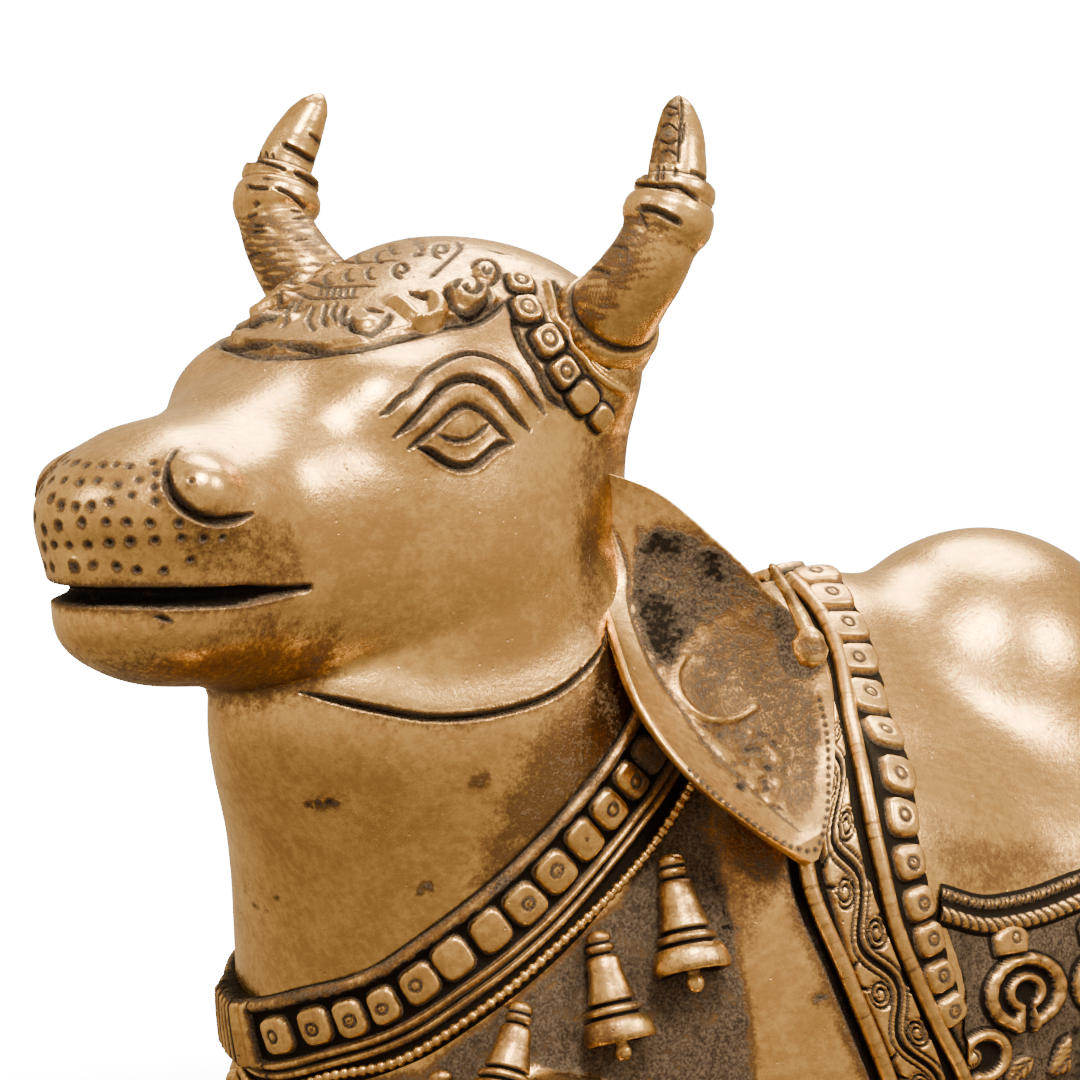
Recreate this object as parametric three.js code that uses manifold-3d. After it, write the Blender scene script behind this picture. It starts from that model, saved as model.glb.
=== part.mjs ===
// Nandi, the reclining zebu bull, cast in brass in one piece with its harness, bells and saddle cloth, on a low base.
// Millimetres, +Z up. The bull faces -X and its left side is at -Y. The origin is the middle of the base's underside.
// The figure is worked out facing +X with its left side at +Y, and the finished group is turned half round.
import * as THREE from "three";
import { mergeVertices } from "three/addons/utils/BufferGeometryUtils.js";
import Module from "manifold-3d";

const wasm = await Module();
wasm.setup();

// Driving sizes.
const BULL_HEIGHT = 211; // from the base's top to the horn tips
const BASE_HEIGHT = 14;
const SEAT_GAP = 0.3; // between the figure's flat underside and the base

const BASE_MARGIN = 6; // from the figure's footprint to the base's edge
const BASE_CORNER = 16;

// The figure's own measure: its forms are laid out on a grid of 211 modules to its height. The sizes below are modules.
const M = BULL_HEIGHT / 211;
const FOOTPRINT = { front: 112, back: -150, half: 68 };
const COLLAR_WIDTH = 11.5;
const PLAQUE = 5.8;
const CREST_PLAQUE = 4.6;
const BEAD_RADIUS = 1.3;
const CORD_RADIUS = 1.6;
const BELL_LENGTH = 21;
const BELLS = [[53, 40.8, 86], [65, 39.7, 75.5], [77, 38, 66], [90, 33, 56], [102, 17, 49]];
const RINGS = [-9, -25, -41, -57];
const RING_HEIGHT = 60;
const RING_RADIUS = 4.4;
const EAR_THICK = 2.2;
const EAR_HOLLOW = 6;
const EAR_ROOT = 28;
const TAIL_RADIUS = 4;
const TAIL_SIDES = 6;
const TUFT = [11, 5.5, 7];
const MOUTH_GAPE = 3;
const MOUTH_DEPTH = 5;

// How finely the solids are made.
const GRID_ROOM = [6, 10, 8]; // around the figure's forms
const HEAD_REACH = 90.3; // from the poll to beyond the muzzle
const CROWN = 15.3; // from the poll to above the brow
const GRID_STEP = 3.2;
const SKIN_FACES = 3600;
const BULL_FACES = 9400;
const HEAD_DETAIL = 6;
const HORN_SIDES = 9;
const EAR_STEPS = 8;
const EAR_SIDES = 10;
const CORD_SIDES = 5;
const BELL_SIDES = 7;
const CORNER_STEPS = 6;

// Distances to simple forms. Each function below returns the signed distance of a point, negative inside.

// Joins two distances, filling the seam over the width k.
function blend(a, b, k) {
  const h = Math.max(k - Math.abs(a - b), 0) / k;
  return Math.min(a, b) - (h * h * k) / 4;
}

// An ellipsoid at c with the half-lengths r.
function ellipsoid(c, r) {
  return (x, y, z) => {
    const px = (x - c[0]) / r[0];
    const py = (y - c[1]) / r[1];
    const pz = (z - c[2]) / r[2];
    const near = Math.hypot(px, py, pz);
    const slope = Math.hypot(px / r[0], py / r[1], pz / r[2]);
    return slope < 1e-9 ? -Math.min(...r) : (near * (near - 1)) / slope;
  };
}

// A cone with round ends, from a with radius ra to b with radius rb.
function roundCone(a, ra, b, rb) {
  const d = [b[0] - a[0], b[1] - a[1], b[2] - a[2]];
  const length2 = d[0] ** 2 + d[1] ** 2 + d[2] ** 2;
  const drop = ra - rb;
  const side2 = length2 - drop * drop;
  return (x, y, z) => {
    const p = [x - a[0], y - a[1], z - a[2]];
    const along = p[0] * d[0] + p[1] * d[1] + p[2] * d[2];
    const past = along - length2;
    const across2 =
      (p[0] * length2 - d[0] * along) ** 2 +
      (p[1] * length2 - d[1] * along) ** 2 +
      (p[2] * length2 - d[2] * along) ** 2;
    const k = Math.sign(drop) * drop * drop * across2;
    if (Math.sign(past) * side2 * past * past * length2 > k)
      return Math.sqrt(across2 + past * past * length2) / length2 - rb;
    if (Math.sign(along) * side2 * along * along * length2 < k)
      return Math.sqrt(across2 + along * along * length2) / length2 - ra;
    return (Math.sqrt((across2 * side2) / length2) + along * drop) / length2 - ra;
  };
}

// A limb of round cones through joints of [x, y, z, radius].
function limb(joints) {
  const bones = joints
    .slice(1)
    .map((j, i) => roundCone(joints[i].slice(0, 3), joints[i][3], j.slice(0, 3), j[3]));
  return (x, y, z) => Math.min(...bones.map((bone) => bone(x, y, z)));
}

// A smooth curve through [at, value] pairs, read from a table of fine steps.
const CURVE_STEPS = 400;
function curveThrough(pairs) {
  const first = pairs[0][0];
  const span = pairs[pairs.length - 1][0] - first;
  const slopes = pairs.map((p, i) => {
    const before = pairs[Math.max(i - 1, 0)];
    const after = pairs[Math.min(i + 1, pairs.length - 1)];
    return (after[1] - before[1]) / (after[0] - before[0]);
  });
  const table = new Float64Array(CURVE_STEPS + 2);
  for (let i = 0; i < table.length; i++) {
    const at = first + (span * Math.min(i, CURVE_STEPS)) / CURVE_STEPS;
    let k = pairs.findIndex((p) => p[0] >= at - 1e-9);
    k = Math.max(1, k);
    const [x0, y0] = pairs[k - 1];
    const [x1, y1] = pairs[k];
    const w = x1 - x0;
    const t = (at - x0) / w;
    table[i] =
      y0 * (1 + 2 * t) * (1 - t) ** 2 +
      slopes[k - 1] * w * t * (1 - t) ** 2 +
      y1 * t * t * (3 - 2 * t) +
      slopes[k] * w * t * t * (t - 1);
  }
  return (at) => {
    const t = (Math.min(Math.max((at - first) / span, 0), 1) * CURVE_STEPS) || 0;
    const i = Math.floor(t);
    return table[i] + (table[i + 1] - table[i]) * (t - i);
  };
}

// A lofted mass. Its sections are rounded oblongs across one axis, each given as [at, high, low, halfWidth, lean],
// where high and low bound it in its own plane and lean carries its high side sideways. Its ends close over startCap and
// endCap. The point is given as (at, up, side), the coordinates along the axis, in the section's plane and sideways.
function loft(sections, startCap, endCap, power) {
  const [high, low, half, lean] = [1, 2, 3, 4].map((c) =>
    curveThrough(sections.map((s) => [s[0], s[c] ?? 0])),
  );
  const start = sections[0][0];
  const end = sections[sections.length - 1][0];
  return (at, up, side) => {
    const inside = Math.min(Math.max(at, start), end);
    const outside = Math.abs(at - inside);
    const fromStart = Math.min((inside - start) / startCap, 1);
    const fromEnd = Math.min((end - inside) / endCap, 1);
    const cap = Math.sqrt(Math.max((1 - (1 - fromStart) ** 2) * (1 - (1 - fromEnd) ** 2), 1e-4));
    const h = high(inside);
    const l = low(inside);
    const tall = ((h - l) / 2) * cap;
    const wide = half(inside) * cap;
    const share = (up - l) / (h - l);
    const u = Math.abs(up - (h + l) / 2) / tall;
    const s = Math.abs(side - lean(inside) * share) / wide;
    const q = (u ** power + s ** power) ** (1 / power);
    if (q < 0.05) return -Math.min(tall, wide);
    const slope = q ** (1 - power) * Math.hypot(u ** (power - 1) / tall, s ** (power - 1) / wide);
    const d = (q - 1) / slope;
    return outside > 0 ? Math.hypot(Math.max(d, 0), outside) : Math.max(d, -Math.min(tall, wide));
  };
}

// The head's own frame: from the middle of the poll, between the horns, forward, to the bull's left, and up.
const head = { forward: 73.7, left: 0, up: 176.7, turn: (22 * Math.PI) / 180 };
const HEAD_COS = Math.cos(head.turn);
const HEAD_SIN = Math.sin(head.turn);
const toHead = (form) => (x, y, z) => {
  const dx = x - head.forward;
  const dy = y - head.left;
  return form(dx * HEAD_COS + dy * HEAD_SIN, dy * HEAD_COS - dx * HEAD_SIN, z - head.up);
};
const both = (make) => {
  const left = make(1);
  const right = make(-1);
  return (x, y, z) => Math.min(left(x, y, z), right(x, y, z));
};

// The bull's smooth body, as [form, width of the fillet that joins it to the forms before it].
function bodyForms() {
  const trunk = loft(
    [
      [-141, 80, 12, 30],
      [-118, 96, 0, 43],
      [-90, 103, -4, 48],
      [-60, 104, -4, 49],
      [-30, 108, -4, 48],
      [0, 116, -4, 46],
      [30, 112, -4, 44],
      [60, 96, -2, 41],
      [85, 80, 4, 37],
      [104, 66, 14, 30],
    ],
    24,
    22,
    2.3,
  );
  const neck = loft(
    [
      [6, 90, 10, 36, 0],
      [30, 101, 4, 40, 0],
      [57, 108, -4, 39, 0],
      [70, 110.5, -8, 36.5, 3],
      [90, 116, -8, 32, 10],
      [110, 124, 0, 28, 18],
      [125, 122, 15, 25.5, 17],
      [140, 114, 36, 24, 12],
      [154, 102, 56, 20, 8],
    ],
    12,
    14,
    2.1,
  );
  return [
    [(x, y, z) => trunk(x, z, y), 1],
    [(x, y, z) => neck(z, x, y), 14],
    [ellipsoid([0, 0, 100], [26, 23, 29]), 10],
    [ellipsoid([-34, 0, 102], [31, 29, 33]), 9],
    [both((side) => ellipsoid([22, side * 33, 58], [36, 17, 44])), 14],
    [both((side) => ellipsoid([-102, side * 24, 88], [18, 13, 13])), 14],
    [both((side) => ellipsoid([-96, side * 38, 46], [36, 21, 42])), 9],
    [both((side) => ellipsoid([-62, side * 47, 27], [25, 14, 25])), 7],
    [both((side) => limb([[-118, side * 52, 13, 12], [-96, side * 58, 8, 8], [-62, side * 60, 6, 6.5]])), 5],
    [both((side) => limb([[-58, side * 60, 6, 6.8], [-46, side * 60, 4, 8.2], [-38, side * 60, 3, 6.5]])), 1.5],
    [limb([[46, 38, 20, 16], [76, 46, 45, 10], [91, 45, 16, 6.6]]), 6],
    [limb([[91, 45, 15, 7], [97, 45, 6, 8.6], [102, 45, 3, 7]]), 1.5],
    [limb([[40, -40, 20, 16], [90, -40, 12, 11], [58, -50, 7, 7]]), 6],
    [limb([[55, -51, 7, 6.8], [45, -52, 5, 8], [38, -52, 3, 6.6]]), 1.5],
  ];
}

// The head, in its own frame.
function headForms() {
  const skull = loft(
    [
      [-24, 4, -50, 25],
      [-12, 8, -60, 29],
      [2, 10.5, -67, 31],
      [16, 7, -69, 30.5],
      [30, 0, -66, 28],
      [45, -8, -62, 24.5],
      [60, -14.5, -58, 20],
      [75, -18.5, -55, 17],
      [88, -24, -50, 14],
    ],
    14,
    16,
    2.3,
  );
  return [
    [(x, y, z) => skull(x, z, y), 1],
    [ellipsoid([-5, 0, -10], [16, 35.5, 17]), 8],
    [both((side) => ellipsoid([11, side * 10, -42], [28, 22, 27])), 8],
    [both((side) => ellipsoid([32, side * 15.5, -15], [12, 9, 9])), 7],
    [ellipsoid([68, 0, -29.5], [21.5, 19.5, 12.5]), 5],
    [ellipsoid([67, 0, -46.5], [20, 16.5, 10.3]), 3],
    [both((side) => ellipsoid([75, side * 12, -27], [7, 6.8, 6.6])), 3],
  ].map(([form, k]) => [toHead(form), k]);
}

const forms = [...bodyForms(), ...headForms()];
function skin(x, y, z) {
  let d = forms[0][0](x, y, z);
  for (let i = 1; i < forms.length; i++) d = blend(d, forms[i][0](x, y, z), forms[i][1]);
  return d;
}

// The surface where a distance is zero, as a closed mesh of triangles: each cell of a grid is cut into six tetrahedra,
// and each tetrahedron that the surface passes through gives one or two triangles.
const BLOCK_STEPS = 4;
function surfaceMesh(distance, low, high, step) {
  const n = [0, 1, 2].map((i) => Math.ceil((high[i] - low[i]) / step) + 1);
  const point = (i, j, k) => [low[0] + i * step, low[1] + j * step, low[2] + k * step];
  const index = (i, j, k) => (k * n[1] + j) * n[0] + i;
  const values = new Float32Array(n[0] * n[1] * n[2]);
  // Only blocks of the grid that lie near the surface are looked at point by point.
  for (let k0 = 0; k0 < n[2]; k0 += BLOCK_STEPS)
    for (let j0 = 0; j0 < n[1]; j0 += BLOCK_STEPS)
      for (let i0 = 0; i0 < n[0]; i0 += BLOCK_STEPS) {
        const middle = distance(...point(i0 + BLOCK_STEPS / 2, j0 + BLOCK_STEPS / 2, k0 + BLOCK_STEPS / 2));
        const far = Math.abs(middle) > BLOCK_STEPS * step * 2.4;
        for (let k = k0; k < Math.min(k0 + BLOCK_STEPS, n[2]); k++)
          for (let j = j0; j < Math.min(j0 + BLOCK_STEPS, n[1]); j++)
            for (let i = i0; i < Math.min(i0 + BLOCK_STEPS, n[0]); i++) {
              const v = far ? middle : distance(...point(i, j, k));
              values[index(i, j, k)] = Math.abs(v) < 1e-3 ? 1e-3 : v;
            }
      }
  const corners = [];
  for (let c = 0; c < 8; c++) corners.push([c & 1, (c >> 1) & 1, (c >> 2) & 1]);
  const tetrahedra = [[0, 1, 3, 7], [0, 3, 2, 7], [0, 2, 6, 7], [0, 6, 4, 7], [0, 4, 5, 7], [0, 5, 1, 7]];
  const positions = [];
  const faces = [];
  const made = new Map();
  // The point where the edge between two grid points crosses the surface, shared by all the faces that meet there.
  const crossing = (a, b) => {
    const [lo, hi] = a.id < b.id ? [a, b] : [b, a];
    const key = lo.id * 8 + (hi.c - lo.c + 8) % 8;
    const known = made.get(key);
    if (known !== undefined) return known;
    let [t0, v0, t1, v1] = [0, lo.v, 1, hi.v];
    let t = 0.5;
    for (let round = 0; round < 3; round++) {
      t = t0 + ((t1 - t0) * v0) / (v0 - v1);
      const v = distance(...[0, 1, 2].map((i) => lo.p[i] + t * (hi.p[i] - lo.p[i])));
      if (v > 0 === v0 > 0) [t0, v0] = [t, v];
      else [t1, v1] = [t, v];
    }
    t = Math.min(Math.max(t, 0.03), 0.97);
    positions.push(...[0, 1, 2].map((i) => lo.p[i] + t * (hi.p[i] - lo.p[i])));
    made.set(key, positions.length / 3 - 1);
    return positions.length / 3 - 1;
  };
  const at = (f) => new THREE.Vector3(positions[3 * f], positions[3 * f + 1], positions[3 * f + 2]);
  const addFace = (a, b, c, outwards) => {
    const normal = at(b).sub(at(a)).cross(at(c).sub(at(a)));
    faces.push(...(normal.dot(outwards) > 0 ? [a, b, c] : [a, c, b]));
  };
  for (let k = 0; k < n[2] - 1; k++)
    for (let j = 0; j < n[1] - 1; j++)
      for (let i = 0; i < n[0] - 1; i++) {
        const cell = corners.map(([dx, dy, dz]) => index(i + dx, j + dy, k + dz));
        const insideCount = cell.filter((id) => values[id] < 0).length;
        if (insideCount === 0 || insideCount === 8) continue;
        const ends = cell.map((id, c) => ({
          id,
          c,
          v: values[id],
          p: point(i + corners[c][0], j + corners[c][1], k + corners[c][2]),
        }));
        for (const tetrahedron of tetrahedra) {
          const inner = tetrahedron.map((c) => ends[c]).filter((e) => e.v < 0);
          const outer = tetrahedron.map((c) => ends[c]).filter((e) => e.v >= 0);
          if (!inner.length || !outer.length) continue;
          const middle = (list) =>
            list.reduce((sum, e) => sum.add(new THREE.Vector3(...e.p)), new THREE.Vector3()).divideScalar(list.length);
          const outwards = middle(outer).sub(middle(inner));
          if (inner.length === 1)
            addFace(...outer.map((o) => crossing(inner[0], o)), outwards);
          else if (outer.length === 1)
            addFace(...inner.map((o) => crossing(o, outer[0])), outwards);
          else {
            const [a, b] = inner;
            const [c, d] = outer;
            addFace(crossing(a, c), crossing(a, d), crossing(b, d), outwards);
            addFace(crossing(a, c), crossing(b, d), crossing(b, c), outwards);
          }
        }
      }
  return { positions, faces };
}

// Merges the edges of a closed mesh until only target faces are left. The cheapest edge goes first, by the squared
// distance of its new point to the planes of the faces it stands for, which count more where weight is high.
function simplified({ positions, faces }, target, weight) {
  const P = Float64Array.from(positions);
  const F = Int32Array.from(faces);
  const count = P.length / 3;
  const around = Array.from({ length: count }, () => new Set());
  const stamp = new Int32Array(count);
  const Q = new Float64Array(count * 10);
  const [u, v, n] = [new THREE.Vector3(), new THREE.Vector3(), new THREE.Vector3()];
  const corner = (i, out) => out.set(P[3 * i], P[3 * i + 1], P[3 * i + 2]);
  const normalOf = (a, b, c) => {
    corner(a, n);
    corner(b, u).sub(n);
    corner(c, v).sub(n);
    return u.cross(v);
  };
  for (let f = 0; f < F.length; f += 3) {
    const m = normalOf(F[f], F[f + 1], F[f + 2]);
    const area = m.length();
    m.divideScalar(area || 1);
    const d = -(m.x * n.x + m.y * n.y + m.z * n.z);
    const w = area * weight(n.x, n.y, n.z);
    const row = [m.x * m.x, m.x * m.y, m.x * m.z, m.x * d, m.y * m.y, m.y * m.z, m.y * d, m.z * m.z, m.z * d, d * d];
    for (let c = 0; c < 3; c++) {
      around[F[f + c]].add(f);
      for (let i = 0; i < 10; i++) Q[10 * F[f + c] + i] += row[i] * w;
    }
  }
  const neighbours = (a) => {
    const found = new Set();
    for (const f of around[a]) for (let c = 0; c < 3; c++) if (F[f + c] !== a) found.add(F[f + c]);
    return found;
  };
  const q = new Float64Array(10);
  const costAt = (x, y, z) =>
    q[0] * x * x + q[4] * y * y + q[7] * z * z + q[9] +
    2 * (q[1] * x * y + q[2] * x * z + q[5] * y * z + q[3] * x + q[6] * y + q[8] * z);
  const heap = [];
  const push = (entry) => {
    let i = heap.push(entry) - 1;
    while (i > 0 && heap[(i - 1) >> 1].cost > entry.cost) {
      heap[i] = heap[(i - 1) >> 1];
      i = (i - 1) >> 1;
    }
    heap[i] = entry;
  };
  const pop = () => {
    const top = heap[0];
    const last = heap.pop();
    if (!heap.length) return top;
    let i = 0;
    for (;;) {
      let c = 2 * i + 1;
      if (c >= heap.length) break;
      if (c + 1 < heap.length && heap[c + 1].cost < heap[c].cost) c++;
      if (heap[c].cost >= last.cost) break;
      heap[i] = heap[c];
      i = c;
    }
    heap[i] = last;
    return top;
  };
  const offer = (a, b) => {
    for (let i = 0; i < 10; i++) q[i] = Q[10 * a + i] + Q[10 * b + i];
    const mid = [0, 1, 2].map((i) => (P[3 * a + i] + P[3 * b + i]) / 2);
    const length2 = [0, 1, 2].reduce((sum, i) => sum + (P[3 * a + i] - P[3 * b + i]) ** 2, 0);
    // A weak pull towards the middle of the edge settles the point where the faces are nearly flat.
    const pull = 0.002 * (q[0] + q[4] + q[7]);
    for (const i of [0, 4, 7]) q[i] += pull;
    q[3] -= pull * mid[0];
    q[6] -= pull * mid[1];
    q[8] -= pull * mid[2];
    q[9] += pull * (mid[0] ** 2 + mid[1] ** 2 + mid[2] ** 2);
    const c00 = q[4] * q[7] - q[5] * q[5];
    const c01 = q[2] * q[5] - q[1] * q[7];
    const c02 = q[1] * q[5] - q[2] * q[4];
    const det = q[0] * c00 + q[1] * c01 + q[2] * c02;
    let at = mid;
    if (det > 1e-12) {
      const c11 = q[0] * q[7] - q[2] * q[2];
      const c12 = q[1] * q[2] - q[0] * q[5];
      const c22 = q[0] * q[4] - q[1] * q[1];
      const best = [
        -(c00 * q[3] + c01 * q[6] + c02 * q[8]) / det,
        -(c01 * q[3] + c11 * q[6] + c12 * q[8]) / det,
        -(c02 * q[3] + c12 * q[6] + c22 * q[8]) / det,
      ];
      if (best.reduce((sum, x, i) => sum + (x - mid[i]) ** 2, 0) < 4 * length2) at = best;
    }
    const cost = costAt(...at) + 1e-5 * length2 * length2;
    push({ cost, a, b, sa: stamp[a], sb: stamp[b], at });
  };
  for (let a = 0; a < count; a++) for (const b of neighbours(a)) if (a < b) offer(a, b);
  let left = F.length / 3;
  while (left > target && heap.length) {
    const { a, b, sa, sb, at } = pop();
    if (stamp[a] !== sa || stamp[b] !== sb) continue;
    const ring = neighbours(a);
    let shared = 0;
    for (const c of neighbours(b)) if (ring.has(c)) shared++;
    if (shared !== 2) continue;
    const turned = [a, b].some((end) =>
      [...around[end]].some((f) => {
        const t = [F[f], F[f + 1], F[f + 2]];
        if (t.includes(a) && t.includes(b)) return false;
        const before = normalOf(...t).clone();
        const keep = [P[3 * end], P[3 * end + 1], P[3 * end + 2]];
        P.set(at, 3 * end);
        const after = normalOf(...t);
        const fine = after.dot(before) > 0.35 * after.length() * before.length() && after.length() > 1e-4;
        P.set(keep, 3 * end);
        return !fine;
      }),
    );
    if (turned) continue;
    P.set(at, 3 * a);
    for (let i = 0; i < 10; i++) Q[10 * a + i] += Q[10 * b + i];
    for (const f of around[b]) {
      const t = [F[f], F[f + 1], F[f + 2]];
      if (t.includes(a)) {
        for (const c of t) around[c].delete(f);
        F.fill(-1, f, f + 3);
        left--;
      } else {
        F[f + t.indexOf(b)] = a;
        around[a].add(f);
      }
    }
    around[b].clear();
    stamp[a]++;
    stamp[b] = -1;
    for (const c of neighbours(a)) offer(a, c);
  }
  return { positions: [...P], faces: [...F].filter((c) => c >= 0) };
}

// Turns closed geometry into a solid, whichever way its faces were given.
function solid(geometry) {
  const bare = new THREE.BufferGeometry();
  bare.setAttribute("position", geometry.getAttribute("position"));
  bare.setIndex(geometry.getIndex());
  const merged = mergeVertices(bare, 1e-4);
  const positions = merged.getAttribute("position").array;
  const index = merged.getIndex().array;
  const faces = [];
  let volume = 0;
  const p = [0, 1, 2].map(() => new THREE.Vector3());
  for (let i = 0; i < index.length; i += 3) {
    const [a, b, c] = [index[i], index[i + 1], index[i + 2]];
    if (a === b || b === c || c === a) continue;
    faces.push(a, b, c);
    [a, b, c].forEach((k, j) => p[j].fromArray(positions, 3 * k));
    volume += p[0].dot(p[1].cross(p[2]));
  }
  if (volume < 0) faces.reverse();
  return new wasm.Manifold(
    new wasm.Mesh({ numProp: 3, vertProperties: Float32Array.from(positions), triVerts: Uint32Array.from(faces) }),
  );
}
const fromArrays = ({ positions, faces }) => {
  const geometry = new THREE.BufferGeometry();
  geometry.setAttribute("position", new THREE.Float32BufferAttribute(positions, 3));
  geometry.setIndex(faces);
  return solid(geometry);
};

// A closed solid through rings of equally many points, with both its ends closed by a fan, or closed on itself.
function throughRings(rings, closed = false) {
  const size = rings[0].length;
  const positions = rings.flat().flatMap((p) => [p.x, p.y, p.z]);
  const faces = [];
  for (let i = 0; i < rings.length - (closed ? 0 : 1); i++)
    for (let j = 0; j < size; j++) {
      const k = (i + 1) % rings.length;
      const next = (j + 1) % size;
      const [a, b, c, d] = [i * size + j, k * size + j, k * size + next, i * size + next];
      faces.push(a, b, c, a, c, d);
    }
  if (!closed)
    for (const [ring, start] of [[rings[0], 0], [rings[rings.length - 1], (rings.length - 1) * size]]) {
      const middle = ring.reduce((sum, p) => sum.add(p), new THREE.Vector3()).divideScalar(size);
      positions.push(middle.x, middle.y, middle.z);
      const m = positions.length / 3 - 1;
      for (let j = 0; j < size; j++) {
        const next = (j + 1) % size;
        faces.push(...(start ? [m, start + next, start + j] : [m, start + j, start + next]));
      }
    }
  return fromArrays({ positions, faces });
}

// The outward direction of the skin at a point, and the point moved onto the skin or to a height above it.
const PROBE = 0.4;
function slopeAt(p) {
  const rise = [
    [PROBE, 0, 0],
    [0, PROBE, 0],
    [0, 0, PROBE],
  ].map(([x, y, z]) => skin(p.x + x, p.y + y, p.z + z) - skin(p.x - x, p.y - y, p.z - z));
  return new THREE.Vector3(...rise).divideScalar(2 * PROBE);
}
const outward = (p) => slopeAt(p).normalize();
function settle(p, lift = 0) {
  const q = p.clone();
  for (let round = 0; round < 6; round++) {
    const slope = slopeAt(q);
    q.addScaledVector(slope, (lift - skin(q.x, q.y, q.z)) / Math.max(slope.lengthSq(), 0.25));
  }
  return q;
}

// Points along a smooth line on the skin, each with the line's direction, the way out, and the way across.
function laid(points, count, closed = false) {
  const curve = new THREE.CatmullRomCurve3(points.map((p) => new THREE.Vector3(...p)), closed, "centripetal");
  const spots = curve.getSpacedPoints(count).map((p) => settle(p));
  if (closed) spots.pop();
  return spots.map((at, i) => {
    const last = spots.length - 1;
    const before = spots[closed ? (i + last) % spots.length : Math.max(i - 1, 0)];
    const after = spots[closed ? (i + 1) % spots.length : Math.min(i + 1, last)];
    const along = after.clone().sub(before).normalize();
    const out = outward(at);
    const across = new THREE.Vector3().crossVectors(out, along).normalize();
    return { at, along, out, across };
  });
}

// A band on the skin with the section [across, out], as [x, y] pairs.
const band = (points, count, section, closed = false) =>
  throughRings(
    laid(points, count, closed).map(({ at, out, across }) =>
      section.map(([x, y]) => at.clone().addScaledVector(across, x).addScaledVector(out, y)),
    ),
    closed,
  );

// A round cord on the skin.
function cord(points, count, radius, lift = 0.4) {
  const path = new THREE.CatmullRomCurve3(
    laid(points, count).map(({ at, out }) => at.clone().addScaledVector(out, lift * radius)),
  );
  const round = Array.from({ length: CORD_SIDES }, (none, i) => {
    const turn = (2 * Math.PI * i) / CORD_SIDES;
    return new THREE.Vector2(radius * Math.cos(turn), radius * Math.sin(turn));
  });
  const options = { extrudePath: path, steps: count, bevelEnabled: false };
  return solid(new THREE.ExtrudeGeometry(new THREE.Shape(round), options));
}

// A row of square studs on the skin, each a block with sloping sides.
const studs = (points, count, size, height) =>
  laid(points, count * 2)
    .filter((spot, i) => i % 2 === 1)
    .map(({ at, along, out, across }) =>
      throughRings(
        [
          [size / 2, -2],
          [size * 0.42, height],
        ].map(([half, up]) =>
          [[-1, -1], [1, -1], [1, 1], [-1, 1]].map(([x, y]) =>
            at.clone().addScaledVector(along, x * half).addScaledVector(across, y * half).addScaledVector(out, up),
          ),
        ),
      ),
    );

// A groove cut in the skin: a wedge that runs out over the first and last part of its length.
const groove = (points, count, width, depth, runOut = 0.5) =>
  throughRings(
    laid(points, count).map(({ at, out, across }, i) => {
      const fromEnd = Math.min(i, count - i) / count;
      const fade = 0.3 + 0.7 * Math.sin((Math.PI / 2) * Math.min(fromEnd / runOut, 1));
      return [
        [-width * 0.75 * fade, 1.5],
        [width * 0.75 * fade, 1.5],
        [0, -depth * fade],
      ].map(([x, y]) => at.clone().addScaledVector(across, x).addScaledVector(out, y));
    }),
  );

// A point of the head's own frame in the figure's.
const fromHead = ([s, t, v]) => [
  head.forward + s * HEAD_COS - t * HEAD_SIN,
  head.left + s * HEAD_SIN + t * HEAD_COS,
  head.up + v,
];
const onHead = (points, side) => points.map(([s, t, v]) => fromHead([s, t * side, v]));
const mirrored = (points, side) => points.map(([x, y, z]) => [x, y * side, z]);

// A horn: round rings along its curve, with the two cast rings of its collar and a worn tip.
function horn(side) {
  // The bull's right horn stands a little higher to its collar.
  const rise = side > 0 ? -2 : 2;
  const curve = new THREE.CatmullRomCurve3(
    onHead(
      [
        [-6, 18, -15],
        [-4, 28, -6],
        [-1.5, 35, 2 + rise],
        [-4.5, 39.5, 10 + rise],
        [-8.2, 41.2, 19 + rise],
        [-11.5, 40, 27 + rise / 2],
        [-14.4, 37.6, 34],
      ],
      side,
    ).map((p) => new THREE.Vector3(...p)),
  );
  const profile = [
    [0, 5],
    [0.2, 7.2],
    [0.33, 7.6],
    [0.48, 6.3],
    [0.6, 5.8],
    [0.625, 7.2],
    [0.655, 7.4],
    [0.675, 6.3],
    [0.7, 6.2],
    [0.72, 7.2],
    [0.745, 6.6],
    [0.755, 4.4],
    [0.86, 4.3],
    [0.95, 3.4],
    [1, 1.8],
  ];
  const frames = curve.computeFrenetFrames(100, false);
  return throughRings(
    profile.map(([u, radius]) => {
      const k = Math.round(u * 100);
      return Array.from({ length: HORN_SIDES }, (none, j) => {
        const turn = (2 * Math.PI * j) / HORN_SIDES;
        return curve
          .getPointAt(u)
          .addScaledVector(frames.normals[k], Math.cos(turn) * radius)
          .addScaledVector(frames.binormals[k], Math.sin(turn) * radius);
      });
    }),
  );
}

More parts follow.
